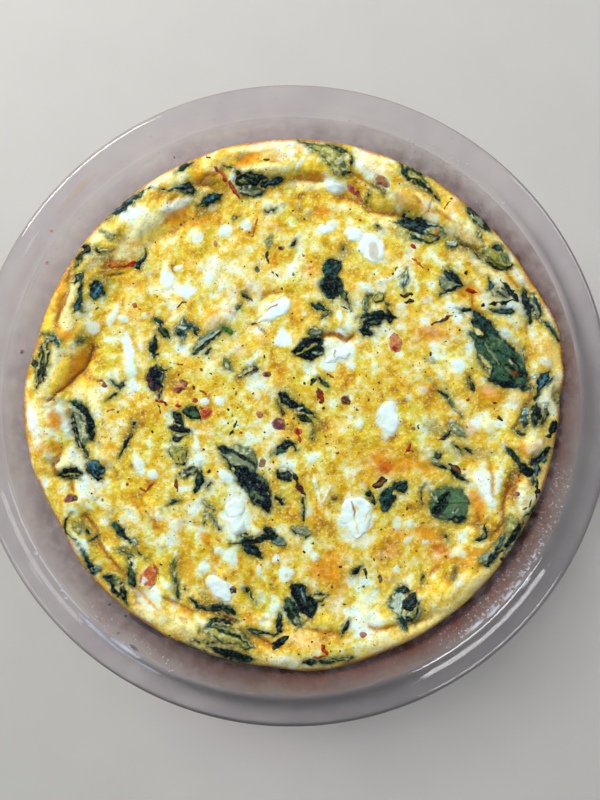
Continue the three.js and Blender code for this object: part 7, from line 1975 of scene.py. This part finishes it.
def dish(material):
    """The glass dish, turned from its profile."""
    half = FLANGE_EDGE / 2
    under = DISH_HEIGHT - FLANGE_EDGE
    wall = wall_radius(under) + GLASS / math.cos(LEAN)
    lean = math.degrees(LEAN)
    outer_arc = BASE_FILLET + GLASS
    profile = [
        (0, FOOT_RECESS),
        (FOOT_INNER_RADIUS - 2 * FOOT_RECESS, FOOT_RECESS),
        (FOOT_INNER_RADIUS, 0),
        *arc(BASE_ARC_CENTRE_RADIUS, BASE_ARC_CENTRE_HEIGHT, outer_arc, -90, -lean, 10),
        (wall - half * math.tan(LEAN), under - half),
        (wall + 0.3 * half, under - 0.35 * half),
        (wall + half, under),
        *arc(DISH_RADIUS - half, DISH_HEIGHT - half, half, -90, 90, 12),
        (DISH_RADIUS - 2 * half, FLANGE_TOP),
        *arc(OPENING_RADIUS, LIP_CENTRE_HEIGHT, LIP_ROLL, 90, 180 - lean, 6),
        *arc(BASE_ARC_CENTRE_RADIUS, BASE_ARC_CENTRE_HEIGHT, BASE_FILLET, -lean, -90, 10),
        (0, GLASS),
    ]
    turns = np.linspace(0, 2 * math.pi, DISH_SIDES, endpoint=False)
    points = []
    rings = []
    for radius, level in profile:
        if radius == 0:
            rings.append([len(points)] * DISH_SIDES)
            points.append((0, 0, level))
        else:
            rings.append(list(range(len(points), len(points) + DISH_SIDES)))
            points.extend((radius * math.cos(a), radius * math.sin(a), level) for a in turns)
    faces = []
    for low, high in zip(rings, rings[1:]):
        for k in range(DISH_SIDES):
            after = (k + 1) % DISH_SIDES
            corners = [low[k], low[after], high[after], high[k]]
            faces.append(list(dict.fromkeys(corners)))
    return piece("pie_dish", points, faces, material)


def glass_level(radius):
    """The height of the glass under a point beside the quiche: the wall, the rolled lip or the flange."""
    half = FLANGE_EDGE / 2
    lip = arc(OPENING_RADIUS, LIP_CENTRE_HEIGHT, LIP_ROLL, 90, 180 - math.degrees(LEAN), 8)[::-1]
    line = [(wall_radius(20), 20), *lip, (DISH_RADIUS - 2 * half, FLANGE_TOP)]
    return np.interp(radius, [point[0] for point in line], [point[1] for point in line])


def oil_and_shadow_film(material):
    """A thin brown film of fat and juices on the wall by the quiche, which also paints its shadow and
    reflection in the glass, thickest at the lower right.
    """
    turns = np.linspace(0, 2 * math.pi, FILM_SIDES, endpoint=False)
    lower_right = 0.5 + 0.5 * np.cos(turns - FILM_LOWER_RIGHT)
    upper_right = np.exp(-(((turns - FILM_UPPER_RIGHT) / FILM_UPPER_WIDTH) ** 2))
    share = 0.3 + 0.55 * lower_right**1.5 + 0.2 * upper_right
    points = []
    colours = []
    for level in np.linspace(FILM_FOOT, WALL_TOP_HEIGHT - 0.4, FILM_ROWS):
        radius = wall_radius(level) - FILM_CLEARANCE
        x = radius * np.cos(turns)
        y = radius * np.sin(turns)
        points.append(np.column_stack([x, y, np.full(FILM_SIDES, level)]))
        # Painted shadow and reflection: darkest brown by the quiche's edge, paler further up the wall
        away = ease((radius - edge_radius(turns) + 0.5 + 1.5 * field("film_edge", x, y)) / 8.5)
        brown = mix(seen("thick_oil_and_shadow"), seen("thin_oil_and_reflection"), away)
        thick = share * (1 - 0.75 * away) * (1 + 0.4 * field("film_patches", x, y))
        colours.append(np.column_stack([brown, np.clip(thick, 0, 1)]))
    faces = []
    for low in range(0, (FILM_ROWS - 1) * FILM_SIDES, FILM_SIDES):
        high = low + FILM_SIDES
        for k in range(FILM_SIDES):
            after = (k + 1) % FILM_SIDES
            faces.append((low + k, high + k, high + after, low + after))
    return piece("oil_and_shadow_film", np.concatenate(points), faces, material, np.concatenate(colours))


def scattered_drops():
    """The drops scattered over some stretches of the glass, in rows like those of GLASS_MARKS."""
    random = np.random.default_rng(11)
    drops = []
    for start, stop, near, far, count, largest in GLASS_DROPS:
        for _ in range(count):
            turn = math.radians(random.uniform(start, stop))
            radius = random.uniform(near, far)
            size = largest * random.uniform(0.35, 1)
            paint = random.choice(["pale", "pale", "rose"])
            place = (radius * math.cos(turn), radius * math.sin(turn))
            if radius > edge_radius(turn) + 1:
                drops.append((*place, size, size, 0.5 * size, DROP_OPACITY, paint))
    return drops


def glass_marks(material):
    """Drops, bubbles, smears and crumbs on the glass, with painted reflections and shadow, each a low dome
    that follows the dish.
    """
    highest = DISH_HEIGHT - MARK_LIFT
    points, faces, colours = [], [], []
    for x, y, long, wide, tall, opaque, paint in [*GLASS_MARKS, *scattered_drops()]:
        start = len(points)
        sides = SMALL_MARK_SIDES if long < SMALL_MARK else LARGE_MARK_SIDES
        turn = math.atan2(y, x)
        radius = math.hypot(x, y)
        tint = linear(GLASS_PAINTS[paint])
        for share in MARK_RINGS:
            for k in range(sides):
                a = 2 * math.pi * k / sides
                place = (np.array([x + k * 1.7]), np.array([y - k]))
                wave = 1 + MARK_WAVES * float(field("mark_outline", *place)[0])
                r = radius + share * wide * wave * math.sin(a)
                t = turn + share * long * math.cos(a) / radius
                lift = MARK_LIFT + tall * (1 - share * share)
                points.append((r * math.cos(t), r * math.sin(t), min(float(glass_level(r)) + lift, highest)))
                colours.append(np.append(tint, opaque * (1 - 0.6 * share)))
        points.append((x, y, min(float(glass_level(radius)) + MARK_LIFT + tall, highest)))
        colours.append(np.append(tint, opaque))
        for k in range(sides):
            a = start + k
            b = start + (k + 1) % sides
            faces.append((a, b, b + sides, a + sides))
            faces.append((a + sides, b + sides, start + 2 * sides))
    return piece("glass_marks", points, faces, material, np.array(colours))


def flecks(material):
    """Dark flecks of herb and a scatter of smaller ones, each a low-sided flake pressed into the egg."""
    random = np.random.default_rng(7)
    spots = [(x, y, FLECK_SIZE) for x, y in FLECKS]
    while len(spots) < len(FLECKS) + RANDOM_FLECKS:
        x, y = random.uniform(-EDGE_RADIUS, EDGE_RADIUS, 2)
        on_white = whiteness(np.array([x]), np.array([y]), 1.0)[0] > 0.2
        if math.hypot(x, y) < FLECK_REACH and not on_white:
            spots.append((x, y, random.uniform(*SMALL_FLECK_SIZES)))
    points, faces, colours = [], [], []
    paints = [linear(PAINTS[letter]) for letter in FLECK_PAINTS]
    for x, y, size in spots:
        ground = float(height(np.array([float(x)]), np.array([float(y)]))[0])
        turn = random.uniform(0, math.pi)
        long = size * random.uniform(0.9, 1.7)
        start = len(points)
        tint = paints[random.integers(len(paints))] * random.uniform(0.6, 1.2)
        points.append((x, y, ground + FLECK_HEIGHT))
        for k in range(FLECK_SIDES):
            a = 2 * math.pi * k / FLECK_SIDES
            r = random.uniform(0.45, 1.2)
            u = long * r * math.cos(a)
            v = size * r * math.sin(a)
            across = x + u * math.cos(turn) - v * math.sin(turn)
            up = y + u * math.sin(turn) + v * math.cos(turn)
            points.append((across, up, ground))
        points.append((x, y, ground - FLECK_SUNK))
        for k in range(FLECK_SIDES):
            a = start + 1 + k
            b = start + 1 + (k + 1) % FLECK_SIDES
            faces.append((start, a, b))
            faces.append((start + FLECK_SIDES + 1, b, a))
        colours.extend([tint] * (FLECK_SIDES + 2))
    return piece("herb_flecks", points, faces, material, np.array(colours))


# Materials


def fill(node, inputs):
    """Set or link some of a node's inputs, by name or by number."""
    for key, value in inputs.items():
        if isinstance(value, bpy.types.NodeSocket):
            node.id_data.links.new(value, node.inputs[key])
        else:
            node.inputs[key].default_value = value


def blank(name):
    """A new material with its shader, and a function that adds nodes to it."""
    material = bpy.data.materials.new(name)
    material.use_nodes = True
    nodes = material.node_tree.nodes

    def add(kind, inputs=None, **settings):
        node = nodes.new(kind)
        for key, value in settings.items():
            setattr(node, key, value)
        fill(node, inputs or {})
        return node

    return material, nodes["Principled BSDF"], add


def place_noise(add, scale, detail=3.0):
    """A noise fixed to the object, its scale in cells per metre."""
    place = add("ShaderNodeTexCoord").outputs["Object"]
    inputs = {"Vector": place, "Scale": scale, "Detail": detail, "Roughness": 0.55}
    return add("ShaderNodeTexNoise", inputs).outputs["Fac"]


def blend(add, a, b, share, mode="MIX"):
    """A colour mix of two sockets or colours."""
    return add("ShaderNodeMix", {0: share, 6: a, 7: b}, data_type="RGBA", blend_type=mode).outputs[2]


def ramp(add, source, low, high):
    """A smooth share from 0 to 1 between two values of a socket."""
    inputs = {"Value": source, "From Min": low, "From Max": high}
    return add("ShaderNodeMapRange", inputs, interpolation_type="SMOOTHSTEP").outputs["Result"]


def spread(add, share, low, high):
    """A value from low to high as a share goes from 0 to 1."""
    return add("ShaderNodeMapRange", {"Value": share, "To Min": low, "To Max": high}).outputs["Result"]


def times(add, a, b):
    """The product of two numbers from other nodes."""
    return add("ShaderNodeMath", {0: a, 1: b}, operation="MULTIPLY").outputs[0]


def uneven(add, hills, strength, distance):
    """The direction that a surface with small hills faces, the distance in metres."""
    inputs = {"Height": hills, "Strength": strength, "Distance": distance}
    return add("ShaderNodeBump", inputs).outputs["Normal"]


def rgba(name):
    """One of the named tints as a node colour."""
    return (*[float(v) for v in seen(name)], 1.0)


def egg_material():
    """Baked egg: painted by its points' colours, with specks, a moist skin, and bumps with pale tops and
    brown hollows that are partly painted highlight and shade.
    """
    material, shader, add = blank("baked_egg")
    painted = add("ShaderNodeVertexColor", layer_name="Tint")
    colour = painted.outputs["Color"]
    small = place_noise(add, 1000)
    # The pale tops and brown hollows follow the bumps' own noise: partly the egg's colour, partly painted
    # highlight and painted shade
    mottling = (
        (ramp(add, small, 0.5, 0.68), "pale_bubble_and_highlight", 0.42),
        (ramp(add, small, 0.47, 0.32), "brown_hollow_and_shade", 0.45),
        (ramp(add, place_noise(add, 800, 1), 0.7, 0.76), "orange_speck", 0.75),
    )
    for share, tint, strength in mottling:
        share = times(add, share, painted.outputs["Alpha"])
        colour = blend(add, colour, blend(add, colour, rgba(tint), strength), share)
    hills = add("ShaderNodeMath", {0: small, 1: place_noise(add, 2600, 2)}, operation="ADD").outputs[0]
    looks = {
        "Base Color": colour,
        "Normal": uneven(add, hills, 0.4, 0.0006),
        "Roughness": spread(add, ramp(add, place_noise(add, 420), 0.3, 0.7), 0.34, 0.55),
        "Subsurface Weight": 0.2,
        "Subsurface Radius": (1.0, 0.7, 0.25),
        "Subsurface Scale": 0.0015,
        "Specular IOR Level": 0.16,
    }
    fill(shader, looks)
    return material


def topping_material(name, roughness, subsurface, strength, scale=1500, gloss=0.4, mottle=0.6, frost=0):
    """A moist topping painted by its points' colours, with pale flakes, darker spots and a rough skin."""
    material, shader, add = blank(name)
    tint = add("ShaderNodeVertexColor", layer_name="Tint").outputs["Color"]
    if frost:
        flakes = ramp(add, place_noise(add, 1300), 0.5, 0.68)
        tint = blend(add, tint, rgba("leaf_frost"), times(add, flakes, frost))
    grain = place_noise(add, scale, 4)
    dim = blend(add, tint, (0.45, 0.45, 0.45, 1), 1.0, "MULTIPLY")
    spotted = blend(add, dim, tint, ramp(add, grain, 0.35, 0.7))
    looks = {
        "Base Color": blend(add, tint, spotted, mottle),
        "Normal": uneven(add, grain, strength, 0.0006),
        "Roughness": roughness,
        "Subsurface Weight": subsurface,
        "Subsurface Radius": (1.0, 0.8, 0.6),
        "Subsurface Scale": 0.002,
        "Specular IOR Level": gloss,
    }
    fill(shader, looks)
    return material


def glass_material():
    """Clear glass with a faint grey-purple tint and slight waves, which lets light through to its shadow."""
    material, shader, add = blank("clear_glass")
    waves = place_noise(add, 60, 2)
    looks = {
        "Base Color": blend(add, rgba("cool_glass"), rgba("warm_glass"), ramp(add, waves, 0.3, 0.7)),
        "Normal": uneven(add, waves, 0.1, 0.0008),
        "Roughness": 0.02,
        "IOR": 1.47,
        "Transmission Weight": 1.0,
    }
    fill(shader, looks)
    shadow = add("ShaderNodeLightPath").outputs["Is Shadow Ray"]
    clear = add("ShaderNodeBsdfTransparent", {"Color": (0.86, 0.84, 0.86, 1)}).outputs[0]
    both = add("ShaderNodeMixShader", {0: shadow, 1: shader.outputs[0], 2: clear}).outputs[0]
    fill(material.node_tree.nodes["Material Output"], {"Surface": both})
    return material


def film_material(name, roughness):
    """Fat and juices on the glass, with painted shadow and reflections: coloured and thinned by the points'
    colours, a little patchy.
    """
    material, shader, add = blank(name)
    painted = add("ShaderNodeVertexColor", layer_name="Tint")
    patchy = ramp(add, place_noise(add, 300), 0.25, 0.6)
    looks = {
        "Base Color": blend(add, painted.outputs["Color"], rgba("dried_fat"), times(add, patchy, 0.05)),
        "Alpha": times(add, painted.outputs["Alpha"], spread(add, patchy, 0.7, 1.0)),
        "Roughness": roughness,
    }
    fill(shader, looks)
    return material


def floor_material():
    """A plain pale floor."""
    material, shader, add = blank("floor")
    colour = blend(add, rgba("floor"), rgba("pale_floor"), place_noise(add, 40, 2))
    fill(shader, {"Base Color": colour, "Roughness": 0.8})
    return material


# The stage


CAMERA_PLACE = Vector((3.35, 2.24, 452))
CAMERA_LENS = 50
CAMERA_SENSOR = 36
CAMERA_NEAR = 10
FLOOR_REACH = 3000
SKY_COLOUR = (0.86, 0.97, 1.0, 1)
SKY_STRENGTH = 0.3

# The lights: name, place, size, power in watts, colour. All aim at the middle of the quiche.
LIGHT_TARGET = (0, 0, 20)
LIGHTS = (
    ("window", (-560, 620, 620), 460, 12.6, (0.96, 1, 0.97)),
    ("side_window", (700, 420, 640), 420, 3, (0.92, 0.96, 1)),
)


def camera():
    """The camera looks straight down, as in the photograph."""
    data = bpy.data.cameras.new("camera")
    data.lens = CAMERA_LENS
    data.sensor_width = CAMERA_SENSOR
    data.clip_start = CAMERA_NEAR * MM
    eye = bpy.data.objects.new("camera", data)
    eye.location = CAMERA_PLACE * MM
    bpy.context.scene.collection.objects.link(eye)
    bpy.context.scene.camera = eye


def lamp(name, place, size, power, colour):
    """A square soft light at a place in millimetres, aimed at the quiche."""
    data = bpy.data.lights.new(name, "AREA")
    data.shape = "SQUARE"
    data.size = size * MM
    data.energy = power
    data.color = colour
    made = bpy.data.objects.new(name, data)
    made.location = Vector(place) * MM
    made.rotation_euler = (Vector(LIGHT_TARGET) - Vector(place)).to_track_quat("-Z", "Y").to_euler()
    bpy.context.scene.collection.objects.link(made)


def stage():
    """The floor, the lights and the pale surroundings."""
    far = FLOOR_REACH * MM
    corners = [(-far, -far, 0), (far, -far, 0), (far, far, 0), (-far, far, 0)]
    mesh = bpy.data.meshes.new("floor")
    mesh.from_pydata(corners, [], [(0, 1, 2, 3)])
    mesh.materials.append(floor_material())
    floor = bpy.data.objects.new("floor", mesh)
    bpy.context.scene.collection.objects.link(floor)
    for row in LIGHTS:
        lamp(*row)
    world = bpy.data.worlds.new("surroundings")
    world.use_nodes = True
    fill(world.node_tree.nodes["Background"], {"Color": SKY_COLOUR, "Strength": SKY_STRENGTH})
    bpy.context.scene.world = world
    bpy.context.scene.view_settings.view_transform = "Standard"


def toppings():
    """Every loose topping, each in place of its solid, and the small bits that are one with the egg."""
    leaf = topping_material("wet_spinach", 0.26, 0.0, 0.5, gloss=0.12, frost=0.22)
    cheese = topping_material("melted_cheese", 0.4, 0.2, 0.1, 500, mottle=0.12)
    tomato = topping_material("cooked_tomato", 0.3, 0.25, 0.4)
    kinds = (
        (LEAVES, leaf_depth, leaf_lift, leaf_paint, leaf, "leaf"),
        (STRIPS, leaf_depth, leaf_lift, leaf_paint, tomato, "tomato_and_ham"),
        (CHEESE, lump_depth, lump_lift, lump_paint, cheese, "cheese"),
        (TOMATO, lump_depth, lump_lift, lump_paint, tomato, "tomato_and_ham"),
    )
    for table, depth_of, lift_of, paint_of, material, slot in kinds:
        for name, rows in table.items():
            made = patched("fine_" + name, patch(depth_of, lift_of, paint_of, rows), material)
            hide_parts(name)
    bits = [patch(leaf_depth, leaf_lift, leaf_paint, [row]) for row in BITS]
    crumbs = [patch(lump_depth, lump_lift, lump_paint, [row]) for row in CRUMBS]
    made = patched("baked_in_bits", joined(bits + crumbs), leaf)


camera()
stage()
glass = dish(glass_material())
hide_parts("glass_dish")
body = egg(egg_material())
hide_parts("egg_body")
toppings()
herbs = flecks(topping_material("dried_herb", 0.6, 0.0, 0.4))
# The film of oil and painted shadow on the dish's wall
film = oil_and_shadow_film(film_material("oil_and_shadow_film", 0.3))
# Drops and crumbs on the glass, with painted reflections and shadow
marks = glass_marks(film_material("fat_drops_and_painted_light", 0.12))
